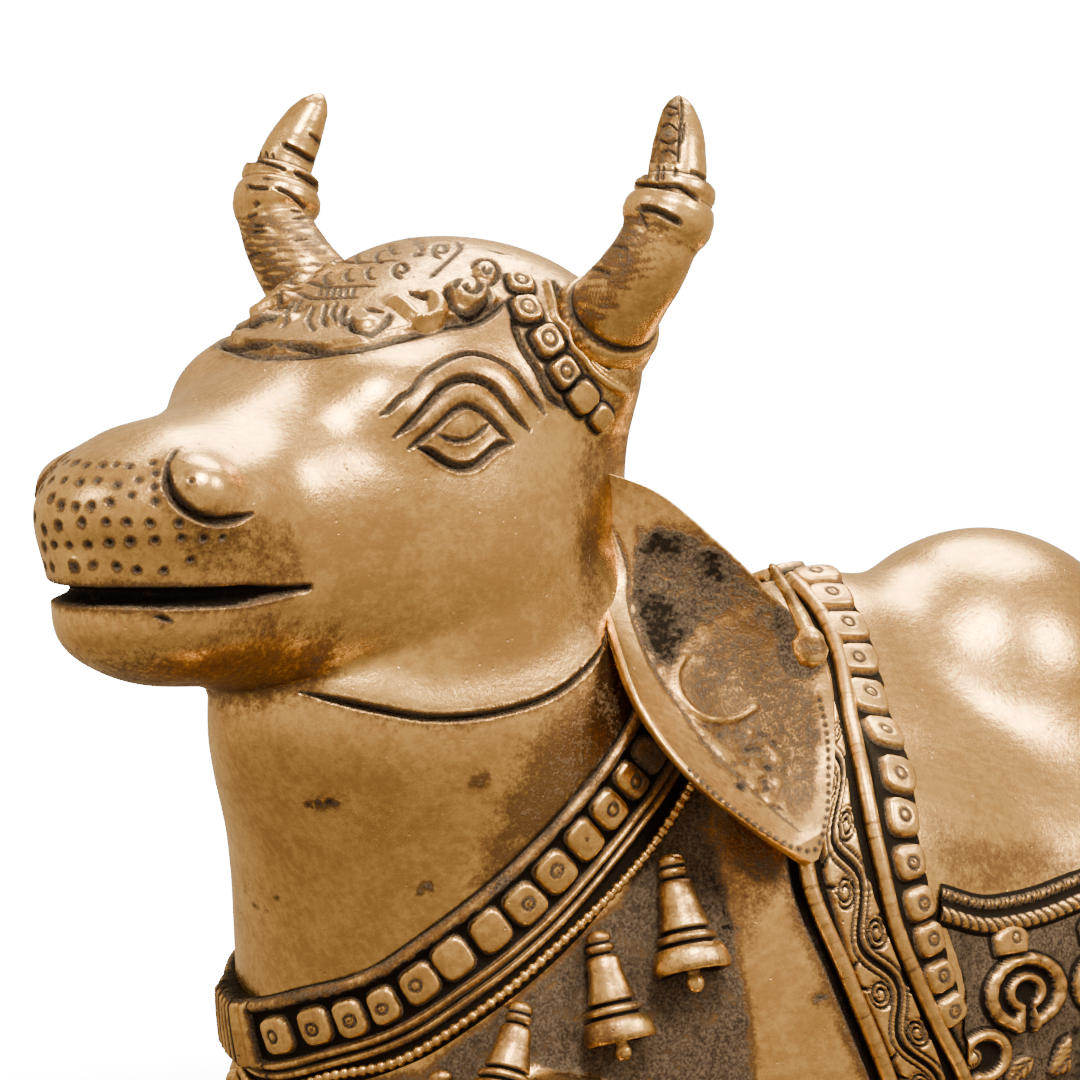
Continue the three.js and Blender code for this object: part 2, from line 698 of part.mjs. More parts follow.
// An ear: a hanging leaf, hollow towards the outside, between its back edge and its front edge.
function ear(side) {
  const back = [
    [-3.6, 28, -25.7],
    [-11.5, 36, -29.8],
    [-18.3, 42, -37],
    [-29.5, 46, -47],
    [-41.5, 48.4, -58.6],
    [-40.4, 51, -71.5],
    [-32.7, 55, -82.8],
    [-23, 59, -90],
  ];
  const front = [
    [-6, 27, -41],
    [-1.5, 34, -50],
    [1.9, 42.4, -62.7],
    [-1.3, 50, -73.5],
    [-10.7, 55, -82],
    [-18.7, 58, -87.6],
    [-23, 59, -90],
  ];
  const [backEdge, frontEdge] = [back, front].map(
    (edge) => new THREE.CatmullRomCurve3(edge.map((p) => new THREE.Vector3(...p))),
  );
  const face = new THREE.Vector3(0.16, 0.905, 0.388);
  // The leaf stands clear of the neck; the bull's left ear also swings forward, and its right ear hangs closer.
  const clear = new THREE.Vector3(side > 0 ? 0.79 : -0.2, 0.61, 0.09);
  return throughRings(
    Array.from({ length: EAR_STEPS + 1 }, (none, i) => {
      const u = (0.985 * i) / EAR_STEPS;
      return Array.from({ length: EAR_SIDES }, (nothing, j) => {
        const turn = (2 * Math.PI * (j + 0.5)) / EAR_SIDES;
        const w = 0.5 - 0.5 * Math.cos(turn);
        const hollow = EAR_HOLLOW * Math.sin(Math.PI * w) ** 0.8 * Math.sin(Math.PI * Math.min(u * 1.1, 1)) ** 0.7;
        const layer = Math.sin(turn) > 0 ? 0 : EAR_THICK;
        const p = frontEdge.getPointAt(u).lerp(backEdge.getPointAt(u), w);
        p.y = EAR_ROOT + (p.y - EAR_ROOT) * (side > 0 ? 1 : 0.6);
        p.addScaledVector(face, -hollow - layer).addScaledVector(clear, 9 * Math.min(u * 1.6, 1));
        return new THREE.Vector3(...fromHead([p.x, p.y * side, p.z]));
      });
    }),
  );
}

// A bell of the harness, hanging down the skin from a knob at its top.
function bell(top) {
  const start = settle(new THREE.Vector3(...top), 1.6);
  const end = settle(start.clone().add(new THREE.Vector3(0, 0, -BELL_LENGTH)), 3.6);
  const profile = [
    [0, 0],
    [2.2, -0.02],
    [1.7, -0.22],
    [3.4, -0.32],
    [3.5, -0.56],
    [6, -0.66],
    [5.6, -0.78],
    [6.8, -0.94],
    [2.2, -0.96],
    [0, -1.06],
  ].map(([r, h]) => new THREE.Vector2(r, h * BELL_LENGTH));
  const turned = new THREE.LatheGeometry(profile, BELL_SIDES);
  const down = end.clone().sub(start).normalize();
  turned.applyQuaternion(new THREE.Quaternion().setFromUnitVectors(new THREE.Vector3(0, -1, 0), down));
  turned.translate(start.x, start.y, start.z);
  return solid(turned);
}

// The lines of the harness on the bull's left side, from front to back or from the top down.
const lines = {
  collar: [
    [105, 15.5, 62],
    [98, 25, 66],
    [89, 32, 74],
    [79, 36, 82.5],
    [69, 37.6, 92],
    [60, 37.4, 101],
    [46, 31, 117],
    [32, 16, 127],
  ],
  beads: [
    [103, 15.8, 53.5],
    [96.4, 27, 57],
    [86, 35, 65.5],
    [73, 38, 76],
    [58.7, 38.6, 88],
    [50.5, 37.6, 97],
    [36, 29, 112],
    [22, 14, 123],
  ],
  breastCord: [
    [19, 20, 119],
    [26, 38, 104],
    [32.5, 46.9, 85.6],
    [27.2, 50.7, 68.5],
    [19.6, 51.3, 51.4],
    [12, 50, 34],
  ],
  clothCord: [
    [7, 3, 126],
    [8.5, 20, 117],
    [15, 38, 100],
    [18.6, 47.9, 84.7],
    [11.5, 50.8, 66.3],
    [2.9, 50, 49.2],
    [-3, 50, 34],
  ],
  plaques: [
    [1.5, 2, 128],
    [3.8, 11.4, 125],
    [8.5, 34, 104],
    [12.1, 44.9, 92],
    [11.4, 48.9, 79],
    [6, 50.5, 62],
    [-3, 50, 46],
    [-7, 50, 38],
  ],
  humpCord: [
    [9, 48.4, 79],
    [-6.2, 46.5, 76],
    [-24, 43.8, 76.5],
    [-45, 42, 80],
    [-62, 32, 92],
    [-70, 14, 102],
    [-72, 0, 104],
  ],
  hem: [
    [12, 50, 34],
    [-6, 50, 32],
    [-30, 50, 31],
    [-58, 54, 36],
    [-80, 54, 40],
  ],
  rearHem: [
    [-80, 54, 40],
    [-84, 54, 62],
    [-84, 46, 84],
    [-84, 26, 98],
    [-84, 0, 103],
  ],
  tail: [
    [-126, 0, 98],
    [-139, 1, 86],
    [-141, 5, 64],
    [-136, 22, 38],
    [-122, 44, 27],
    [-104, 55, 27],
    [-92, 58, 32],
  ],
  crest: [
    [39, 1, -5],
    [35, 10, -4.4],
    [29.3, 13.2, -2.2],
    [22.4, 14.8, 0.7],
    [14.8, 16.8, 2.9],
    [7.6, 18, 5],
    [5.7, 21, 3.6],
    [8, 24, -0.6],
    [7.6, 27.7, -5.5],
    [6.4, 30.2, -10.4],
    [3.6, 31.9, -14],
    [0, 32.8, -17],
  ],
  hornRidge: [
    [6.2, 15, 6.5],
    [2, 23, 3.5],
    [1.5, 29, -2],
    [0, 33, -9],
    [-4, 35, -15],
  ],
  brow: [
    [41, 23.9, -18.9],
    [33.4, 24.7, -13.5],
    [23.8, 25.1, -10.8],
    [18.5, 28, -14.4],
    [14.6, 29.9, -19],
  ],
  upperLid: [
    [38.7, 25, -20.7],
    [33, 25.8, -16.6],
    [25.6, 26.5, -14.9],
    [21.3, 28.2, -17.1],
    [18.6, 29.6, -20.4],
  ],
  lowerLid: [
    [37, 25.4, -20.8],
    [33, 26.8, -23.8],
    [29.7, 27.8, -24.8],
    [24.8, 28.9, -23.8],
    [19.4, 29.6, -20.8],
  ],
  nostril: [
    [83, 12, -24],
    [83, 15, -29],
    [79, 18, -33],
    [73, 19.5, -33],
    [69, 19.5, -31],
  ],
  lips: [
    [54, 21, -42],
    [62, 19, -42.5],
    [70.4, 17.4, -42.5],
    [79.6, 13.3, -42.3],
    [85.2, 6.2, -42],
    [86.6, 0, -42],
  ],
  jaw: [
    [51, 12.8, -58.8],
    [43.6, 20.8, -61.5],
    [35.4, 26.3, -63.4],
    [24.3, 31.5, -63.1],
    [13, 34.8, -60.4],
    [3.6, 35.6, -54.8],
  ],
};

// The whole way round the neck: up the left side, over the nape and down the right.
const aroundNeck = (line, front) => [
  front,
  ...line,
  [line[line.length - 1][0] - 5, 0, line[line.length - 1][2] + 3],
  ...mirrored([...line].reverse(), -1),
];

function nandi() {
  const low = [FOOTPRINT.back - GRID_ROOM[0], -FOOTPRINT.half - GRID_ROOM[1], -GRID_ROOM[2]];
  const high = [head.forward + HEAD_REACH, FOOTPRINT.half + GRID_ROOM[1], head.up + CROWN];
  const cast = surfaceMesh(skin, low, high, GRID_STEP);
  const finer = (x, y, z) => (x > 52 && z > 100 ? HEAD_DETAIL : 1);
  const added = [];
  const cut = [];
  const rims = [
    [-COLLAR_WIDTH / 2, -2],
    [-COLLAR_WIDTH / 2, 1.8],
    [-COLLAR_WIDTH / 2 + 1.6, 1.8],
    [-COLLAR_WIDTH / 2 + 2, 0.7],
    [COLLAR_WIDTH / 2 - 2, 0.7],
    [COLLAR_WIDTH / 2 - 1.6, 1.8],
    [COLLAR_WIDTH / 2, 1.8],
    [COLLAR_WIDTH / 2, -2],
  ];
  added.push(band(aroundNeck(lines.collar, [109, 0, 58]), 36, rims, true));
  added.push(band([[108, -6, 57], [109, 0, 57], [108, 6, 57]], 6, [[-7, -2], [-7, 2], [-4, 3.6], [4, 3.6], [7, 2], [7, -2]]));
  // The tail hangs from the rump and curls forward over the left haunch to its tuft.
  added.push(
    throughRings(
      laid(lines.tail, 18).map(({ at, out, across }, i) => {
        const radius = TAIL_RADIUS * (1.25 - 0.4 * Math.min(i / 9, 1));
        const middle = at.clone().addScaledVector(out, i ? 0.4 * radius : -radius);
        return Array.from({ length: TAIL_SIDES }, (none, j) => {
          const turn = (2 * Math.PI * j) / TAIL_SIDES;
          return middle
            .clone()
            .addScaledVector(across, radius * Math.cos(turn))
            .addScaledVector(out, radius * Math.sin(turn));
        });
      }),
    ),
  );
  const tuft = new THREE.SphereGeometry(1, 10, 7);
  tuft.scale(TUFT[0], TUFT[1], TUFT[2]).translate(...settle(new THREE.Vector3(...lines.tail.at(-1)), 1.5).toArray());
  added.push(solid(tuft));
  for (const side of [1, -1]) {
    const on = (name) => mirrored(lines[name], side);
    const onFace = (name) => onHead(lines[name], side);
    added.push(horn(side), ear(side));
    added.push(...studs(on("collar"), 13, PLAQUE, 2.5));
    added.push(cord([[106, 2 * side, 50], ...on("beads"), [15, -3 * side, 126]], 22, BEAD_RADIUS));
    for (const top of BELLS) added.push(bell([top[0], top[1] * side, top[2]]));
    added.push(cord(on("breastCord"), 12, CORD_RADIUS));
    added.push(cord([[7, -3 * side, 126], ...on("clothCord").slice(1)], 14, CORD_RADIUS));
    added.push(...studs(on("plaques"), 13, PLAQUE, 2.2));
    added.push(cord([...on("humpCord").slice(0, -1), [-72, -2 * side, 104]], 15, BEAD_RADIUS));
    added.push(cord(on("hem"), 10, CORD_RADIUS));
    added.push(cord([...on("rearHem").slice(0, -1), [-84, -2 * side, 103]], 10, CORD_RADIUS));
    for (const x of RINGS) {
      const { at, out } = laid([[x, 49 * side, RING_HEIGHT], [x - 1, 49 * side, RING_HEIGHT]], 1)[0];
      const ring = new THREE.TorusGeometry(RING_RADIUS, 1.2, 4, 8);
      ring.applyQuaternion(new THREE.Quaternion().setFromUnitVectors(new THREE.Vector3(0, 0, 1), out));
      ring.translate(...at.toArray());
      added.push(solid(ring));
      added.push(...studs([[x + 2.5, 49 * side, RING_HEIGHT + 7], [x - 2.5, 49 * side, RING_HEIGHT + 7]], 1, 4, 1.8));
    }
    added.push(...studs(onFace("crest"), 12, CREST_PLAQUE, 1.8));
    added.push(cord(onFace("hornRidge"), 7, 1.5));
    cut.push(groove(onFace("brow"), 8, 1.5, 1.3));
    cut.push(groove(onFace("upperLid"), 8, 1.2, 1));
    cut.push(groove(onFace("lowerLid"), 8, 1.4, 1.2));
    cut.push(groove(onFace("nostril"), 8, 1.8, 1.8));
    cut.push(groove(onFace("jaw"), 8, 1.4, 1.2));
  }
  // The mouth runs round the muzzle from corner to corner.
  const lips = [...onHead(lines.lips, 1), ...onHead([...lines.lips].reverse().slice(1), -1)];
  cut.push(groove(lips, 18, MOUTH_GAPE, MOUTH_DEPTH, 0.25));
  const under = new THREE.BoxGeometry(500, 300, 60);
  under.translate(0, 0, -30);
  cut.push(solid(under));
  const joined = added.reduce((whole, piece) => whole.add(piece), fromArrays(simplified(cast, SKIN_FACES, finer)));
  const { vertProperties, triVerts } = cut.reduce((whole, piece) => whole.subtract(piece), joined).getMesh();
  const { positions, faces } = simplified({ positions: vertProperties, faces: triVerts }, BULL_FACES, finer);
  // The underside stays level.
  const level = positions.map((v, i) => (i % 3 === 2 && v < 0.2 ? 0 : v));
  return fromArrays({ positions: level, faces });
}

// The base: a low moulded block with rounded corners.
function plinth() {
  const length = (FOOTPRINT.front - FOOTPRINT.back) * M + 2 * BASE_MARGIN;
  const width = 2 * FOOTPRINT.half * M + 2 * BASE_MARGIN;
  const profile = [
    [0, 0],
    [0, 0.22],
    [0.5, 0.29],
    [1.6, 0.34],
    [2.4, 0.42],
    [2.4, 0.56],
    [1.6, 0.66],
    [0.6, 0.72],
    [0.2, 0.78],
    [0.2, 0.93],
    [0.8, 1],
  ];
  return throughRings(
    profile.map(([inset, height]) => {
      const [x, y] = [length / 2 - inset, width / 2 - inset];
      const corner = BASE_CORNER - inset * 0.5;
      return Array.from({ length: 4 * (CORNER_STEPS + 1) }, (none, i) => {
        const quarter = Math.floor(i / (CORNER_STEPS + 1));
        const turn = ((quarter + (i % (CORNER_STEPS + 1)) / CORNER_STEPS) * Math.PI) / 2;
        const [sx, sy] = [quarter === 0 || quarter === 3 ? 1 : -1, quarter < 2 ? 1 : -1];
        return new THREE.Vector3(
          sx * (x - corner) + corner * Math.cos(turn),
          sy * (y - corner) + corner * Math.sin(turn),
          height * BASE_HEIGHT,
        );
      });
    }),
  );
}

function mesh(name, part, material) {
  const { vertProperties, triVerts } = part.getMesh();
  const geometry = new THREE.BufferGeometry();
  geometry.setAttribute("position", new THREE.BufferAttribute(Float32Array.from(vertProperties), 3));
  geometry.setIndex(new THREE.BufferAttribute(Uint32Array.from(triVerts), 1));
  geometry.computeVertexNormals();
  const named = new THREE.Mesh(geometry, material);
  named.name = name;
  return named;
}

const brass = new THREE.MeshStandardMaterial({ color: 0xb98a45, roughness: 0.28, metalness: 1 });
const darkBrass = new THREE.MeshStandardMaterial({ color: 0x8c6a38, roughness: 0.4, metalness: 1 });

const group = new THREE.Group();
const bull = mesh("nandi_bull", nandi(), brass);
bull.scale.setScalar(M);
bull.rotation.z = Math.PI;
bull.position.set((M * (FOOTPRINT.front + FOOTPRINT.back)) / 2, 0, BASE_HEIGHT + SEAT_GAP);
group.add(bull, mesh("base", plinth(), darkBrass));

export default group;
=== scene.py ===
"""A reclining nandi bull cast in brass, with its carved harness, bells and saddle cloth, on a low moulded base."""

import logging
import math
from concurrent.futures import ThreadPoolExecutor
from dataclasses import dataclass, field
from enum import Enum
from typing import Callable, Iterable, Optional, Sequence, Union

import bpy
import numpy as np
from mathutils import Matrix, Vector
from mathutils.kdtree import KDTree


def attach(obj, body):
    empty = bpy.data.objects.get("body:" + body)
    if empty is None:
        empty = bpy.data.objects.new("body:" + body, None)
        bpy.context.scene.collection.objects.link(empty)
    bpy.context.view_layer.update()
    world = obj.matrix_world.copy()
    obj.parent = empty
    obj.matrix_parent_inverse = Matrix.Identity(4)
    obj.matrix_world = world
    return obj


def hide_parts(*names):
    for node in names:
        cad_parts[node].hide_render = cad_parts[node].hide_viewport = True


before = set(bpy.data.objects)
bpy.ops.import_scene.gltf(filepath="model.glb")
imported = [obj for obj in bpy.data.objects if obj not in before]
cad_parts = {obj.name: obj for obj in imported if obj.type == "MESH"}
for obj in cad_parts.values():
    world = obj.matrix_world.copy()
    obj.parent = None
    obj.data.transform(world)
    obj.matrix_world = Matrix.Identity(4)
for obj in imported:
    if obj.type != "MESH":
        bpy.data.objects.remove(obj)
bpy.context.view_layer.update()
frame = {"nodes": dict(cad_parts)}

LOG = logging.getLogger("nandi")
WORKERS = ThreadPoolExecutor(4)
ROOT = "root"
MM = 0.001

Array = np.ndarray
Triple = tuple[float, float, float]
Knots = Sequence[Sequence[float]]

# The figure is worked out in millimetres, facing +X with its left side at +Y, and stands turned half round on its base.
FIGURE_PLACE = np.array([-19.0, 0.0, 14.3])
HALF_TURN = np.array([-1.0, -1.0, 1.0])


def to_world(points: Array) -> Array:
    """Turns figure points in millimetres into world points in metres."""
    return (points * HALF_TURN + FIGURE_PLACE) * MM


def unit(vectors: Array) -> Array:
    """Vectors brought to length one."""
    return vectors / np.maximum(np.linalg.norm(vectors, axis=-1, keepdims=True), 1e-12)


def smooth(value: Array, low: float, high: float) -> Array:
    """An even step from 0 at low to 1 at high."""
    t = np.clip((value - low) / (high - low), 0.0, 1.0)
    return t * t * (3.0 - 2.0 * t)


def dome(value: Array) -> Array:
    """A round hump: 1 where the value is 0, and 0 from 1 on."""
    return np.clip(1.0 - value * value, 0.0, 1.0) ** 1.5


def blend(a: Array, b: Array, width: float) -> Array:
    """Joins two distances with a fillet of the given width."""
    h = np.maximum(width - np.abs(a - b), 0.0) / width
    return np.minimum(a, b) - h * h * width / 4.0


@dataclass(frozen=True)
class Ellipsoid:
    """An ellipsoid with its middle and its half-lengths."""

    middle: Triple
    half: Triple

    def distance(self, points: Array) -> Array:
        """Signed distances of points, negative inside."""
        share = (points - self.middle) / self.half
        near = np.linalg.norm(share, axis=1)
        slope = np.linalg.norm(share / self.half, axis=1)
        return near * (near - 1.0) / np.maximum(slope, 1e-9)


@dataclass(frozen=True)
class Limb:
    """Round cones through joints, each given as x, y, z and radius."""

    joints: tuple[tuple[float, float, float, float], ...]

    def distance(self, points: Array) -> Array:
        """Signed distances of points, negative inside."""
        bones = [self._bone(points, a, b) for a, b in zip(self.joints, self.joints[1:])]
        return np.minimum.reduce(bones)

    @staticmethod
    def _bone(points: Array, a: Sequence[float], b: Sequence[float]) -> Array:
        """Signed distances to one round cone from joint a to joint b."""
        d = np.subtract(b[:3], a[:3])
        length2 = float(d @ d)
        drop = a[3] - b[3]
        side2 = length2 - drop * drop
        p = points - a[:3]
        along = p @ d
        past = along - length2
        across2 = np.sum((p * length2 - d * along[:, None]) ** 2, axis=1)
        k = math.copysign(1.0, drop) * drop * drop * across2
        at_b = np.sqrt(across2 + past**2 * length2) / length2 - b[3]
        at_a = np.sqrt(across2 + along**2 * length2) / length2 - a[3]
        between = (np.sqrt(across2 * side2 / length2) + along * drop) / length2 - a[3]
        beyond_b = np.sign(past) * side2 * past**2 * length2 > k
        before_a = np.sign(along) * side2 * along**2 * length2 < k
        return np.where(beyond_b, at_b, np.where(before_a, at_a, between))


class Curve:
    """A smooth curve through pairs of a place and a value, read from a table."""

    STEPS = 400

    def __init__(self, pairs: Sequence[tuple[float, float]]) -> None:
        """Fills the table with cubic pieces whose slopes come from the neighbouring pairs."""
        at = np.array([p[0] for p in pairs], float)
        value = np.array([p[1] for p in pairs], float)
        first = np.maximum(np.arange(len(at)) - 1, 0)
        last = np.minimum(np.arange(len(at)) + 1, len(at) - 1)
        slope = (value[last] - value[first]) / (at[last] - at[first])
        self.grid = np.linspace(at[0], at[-1], self.STEPS + 1)
        k = np.clip(np.searchsorted(at, self.grid, side="left"), 1, len(at) - 1)
        w = at[k] - at[k - 1]
        t = (self.grid - at[k - 1]) / w
        self.table = (
            value[k - 1] * (1 + 2 * t) * (1 - t) ** 2
            + slope[k - 1] * w * t * (1 - t) ** 2
            + value[k] * t * t * (3 - 2 * t)
            + slope[k] * w * t * t * (t - 1)
        )

    def __call__(self, at: Array) -> Array:
        """The curve's value at each place."""
        return np.interp(at, self.grid, self.table)


class Loft:
    """A lofted mass of rounded oblong sections across one axis."""

    def __init__(
        self,
        sections: Sequence[Sequence[float]],
        axes: tuple[int, int, int],
        caps: tuple[float, float],
        power: float,
    ) -> None:
        """Reads the sections.

        Args:
            sections: Each as place, high, low, half width and the sideways lean of its high side.
            axes: Which coordinates run along the axis, up in the section and sideways.
            caps: The lengths over which the two ends close.
            power: How square the sections are; 2 is an ellipse.
        """
        self.axes, self.caps, self.power = axes, caps, power
        self.span = (sections[0][0], sections[-1][0])
        padded = [tuple(s) + (0.0,) * (5 - len(s)) for s in sections]
        self.high, self.low, self.half, self.lean = (Curve([(s[0], s[c]) for s in padded]) for c in (1, 2, 3, 4))

    def distance(self, points: Array) -> Array:
        """Signed distances of points, negative inside."""
        at, up, side = (points[:, axis] for axis in self.axes)
        inside = np.clip(at, *self.span)
        outside = np.abs(at - inside)
        from_start = np.minimum((inside - self.span[0]) / self.caps[0], 1.0)
        from_end = np.minimum((self.span[1] - inside) / self.caps[1], 1.0)
        cap = np.sqrt(np.maximum((1 - (1 - from_start) ** 2) * (1 - (1 - from_end) ** 2), 1e-4))
        high, low = self.high(inside), self.low(inside)
        tall = (high - low) / 2 * cap
        wide = self.half(inside) * cap
        share = (up - low) / (high - low)
        u = np.abs(up - (high + low) / 2) / tall
        s = np.abs(side - self.lean(inside) * share) / wide
        n = self.power
        un, sn = u ** (n - 1), s ** (n - 1)
        q = (un * u + sn * s) ** (1 / n)
        slope = np.maximum(q, 1e-6) ** (1 - n) * np.hypot(un / tall, sn / wide)
        near = (q - 1) / np.maximum(slope, 1e-9)
        deep = np.minimum(tall, wide)
        inner = np.where(q < 0.05, -deep, np.maximum(near, -deep))
        return np.where(outside > 0, np.hypot(np.maximum(near, 0), outside), inner)


Form = Union[Ellipsoid, Limb, Loft]


class HeadFrame:
    """The head's own frame: from the middle of the poll forward, to the bull's left, and up."""

    ORIGIN = np.array([73.7, 0.0, 176.7])
    TURN = math.radians(22.0)
    AXES = np.array(
        [[math.cos(TURN), math.sin(TURN), 0.0], [-math.sin(TURN), math.cos(TURN), 0.0], [0.0, 0.0, 1.0]]
    )

    @classmethod
    def inward(cls, points: Array) -> Array:
        """Figure points in the head's frame."""
        return (points - cls.ORIGIN) @ cls.AXES.T

    @classmethod
    def outward(cls, points: Array) -> Array:
        """Points of the head's frame in the figure's."""
        return np.asarray(points, float) @ cls.AXES + cls.ORIGIN


class Place(Enum):
    """Which frame a form lies in, and whether the other side has its mirror image."""

    BODY = "body"
    BODY_BOTH = "body_both"
    HEAD = "head"
    HEAD_BOTH = "head_both"


@dataclass(frozen=True)
class Mass:
    """One form of the skin, with the width of the fillet that joins it to those before it."""

    form: Form
    place: Place
    fillet: float


class Surface:
    """A closed surface, given as the distance to it."""

    def distance(self, points: Array) -> Array:
        """Signed distances of figure points, negative inside."""
        raise NotImplementedError

    def probe(self, points: Array, reach: float = 0.3) -> tuple[Array, Array]:
        """The distance and its slope at each point, from four samples around it."""
        corners = np.array([(1, -1, -1), (-1, -1, 1), (-1, 1, -1), (1, 1, 1)], float)
        spots = [points + reach * c for c in corners]
        values = list(WORKERS.map(self.distance, spots)) if len(points) > 5000 else [self.distance(s) for s in spots]
        slope = sum(c * v[:, None] for c, v in zip(corners, values)) / (4 * reach)
        return np.mean(values, axis=0), slope

    def settle(self, points: Array, lift: Union[float, Array] = 0.0, rounds: int = 4) -> Array:
        """Moves points onto the surface, or to a height above it."""
        for _ in range(rounds):
            near, slope = self.probe(points)
            steep = np.maximum(np.sum(slope * slope, axis=1), 0.25)
            points = points + slope * ((lift - near) / steep)[:, None]
        return points

    def outward(self, points: Array) -> Array:
        """The way out of the surface at each point."""
        return unit(self.probe(points)[1])


class Skin(Surface):
    """The bull's smooth surface."""

    def __init__(self) -> None:
        """Lays out the masses of body and head."""
        self.masses = [*self._body(), *self._head()]

    @staticmethod
    def _body() -> list[Mass]:
        """The trunk, the neck, the hump and the folded legs."""
        trunk = Loft(
            [
                (-141, 80, 12, 30),
                (-118, 96, 0, 43),
                (-90, 103, -4, 48),
                (-60, 104, -4, 49),
                (-30, 108, -4, 48),
                (0, 116, -4, 46),
                (30, 112, -4, 44),
                (60, 96, -2, 41),
                (85, 80, 4, 37),
                (104, 66, 14, 30),
            ],
            (0, 2, 1),
            (24, 22),
            2.3,
        )
        neck = Loft(
            [
                (6, 90, 10, 36, 0),
                (30, 101, 4, 40, 0),
                (57, 108, -4, 39, 0),
                (70, 110.5, -8, 36.5, 3),
                (90, 116, -8, 32, 10),
                (110, 124, 0, 28, 18),
                (125, 122, 15, 25.5, 17),
                (140, 114, 36, 24, 12),
                (154, 102, 56, 20, 8),
            ],
            (2, 0, 1),
            (12, 14),
            2.1,
        )
        shin = Limb(((-118, 52, 13, 12), (-96, 58, 8, 8), (-62, 60, 6, 6.5)))
        hoof = Limb(((-58, 60, 6, 6.8), (-46, 60, 4, 8.2), (-38, 60, 3, 6.5)))
        raised = Limb(((46, 38, 20, 16), (76, 46, 45, 10), (91, 45, 16, 6.6)))
        folded = Limb(((40, -40, 20, 16), (90, -40, 12, 11), (58, -50, 7, 7)))
        return [
            Mass(trunk, Place.BODY, 1),
            Mass(neck, Place.BODY, 14),
            Mass(Ellipsoid((0, 0, 100), (26, 23, 29)), Place.BODY, 10),
            Mass(Ellipsoid((-34, 0, 102), (31, 29, 33)), Place.BODY, 9),
            Mass(Ellipsoid((22, 33, 58), (36, 17, 44)), Place.BODY_BOTH, 14),
            Mass(Ellipsoid((-102, 24, 88), (18, 13, 13)), Place.BODY_BOTH, 14),
            Mass(Ellipsoid((-96, 38, 46), (36, 21, 42)), Place.BODY_BOTH, 9),
            Mass(Ellipsoid((-62, 47, 27), (25, 14, 25)), Place.BODY_BOTH, 7),
            Mass(shin, Place.BODY_BOTH, 5),
            Mass(hoof, Place.BODY_BOTH, 1.5),
            Mass(raised, Place.BODY, 6),
            Mass(Limb(((91, 45, 15, 7), (97, 45, 6, 8.6), (102, 45, 3, 7))), Place.BODY, 1.5),
            Mass(folded, Place.BODY, 6),
            Mass(Limb(((55, -51, 7, 6.8), (45, -52, 5, 8), (38, -52, 3, 6.6))), Place.BODY, 1.5),
        ]

    @staticmethod
    def _head() -> list[Mass]:
        """The skull, the poll, the cheeks, the brows, the muzzle and the nostrils."""
        skull = Loft(
            [
                (-24, 4, -50, 25),
                (-12, 8, -60, 29),
                (2, 10.5, -67, 31),
                (16, 7, -69, 30.5),
                (30, 0, -66, 28),
                (45, -8, -62, 24.5),
                (60, -14.5, -58, 20),
                (75, -18.5, -55, 17),
                (88, -24, -50, 14),
            ],
            (0, 2, 1),
            (14, 16),
            2.3,
        )
        return [
            Mass(skull, Place.HEAD, 1),
            Mass(Ellipsoid((-5, 0, -10), (16, 35.5, 17)), Place.HEAD, 8),
            Mass(Ellipsoid((11, 10, -42), (28, 22, 27)), Place.HEAD_BOTH, 8),
            Mass(Ellipsoid((32, 15.5, -15), (12, 9, 9)), Place.HEAD_BOTH, 7),
            Mass(Ellipsoid((68, 0, -29.5), (21.5, 19.5, 12.5)), Place.HEAD, 5),
            Mass(Ellipsoid((67, 0, -46.5), (20, 16.5, 10.3)), Place.HEAD, 3),
            Mass(Ellipsoid((75, 12, -27), (7, 6.8, 6.6)), Place.HEAD_BOTH, 3),
        ]

    def distance(self, points: Array) -> Array:
        """Signed distances of figure points, negative inside."""
        head = HeadFrame.inward(points)
        frames = {Place.BODY: points, Place.HEAD: head}
        for both, plain in ((Place.BODY_BOTH, Place.BODY), (Place.HEAD_BOTH, Place.HEAD)):
            folded = frames[plain].copy()
            folded[:, 1] = np.abs(folded[:, 1])
            frames[both] = folded
        total: Optional[Array] = None
        for mass in self.masses:
            near = mass.form.distance(frames[mass.place])
            total = near if total is None else blend(total, near, mass.fillet)
        return total


class Trimmed(Surface):
    """The part of a surface's inside that lies behind planes."""

    def __init__(self, skin: Surface, planes: Sequence[tuple[Triple, Triple]]) -> None:
        """Keeps the surface and the planes, each as a point and the way out."""
        self.skin = skin
        self.planes = [(np.array(at, float), unit(np.array(out, float))) for at, out in planes]

    def distance(self, points: Array) -> Array:
        """Signed distances of figure points, negative inside."""
        return np.maximum.reduce([self.skin.distance(points), *((points - at) @ out for at, out in self.planes)])


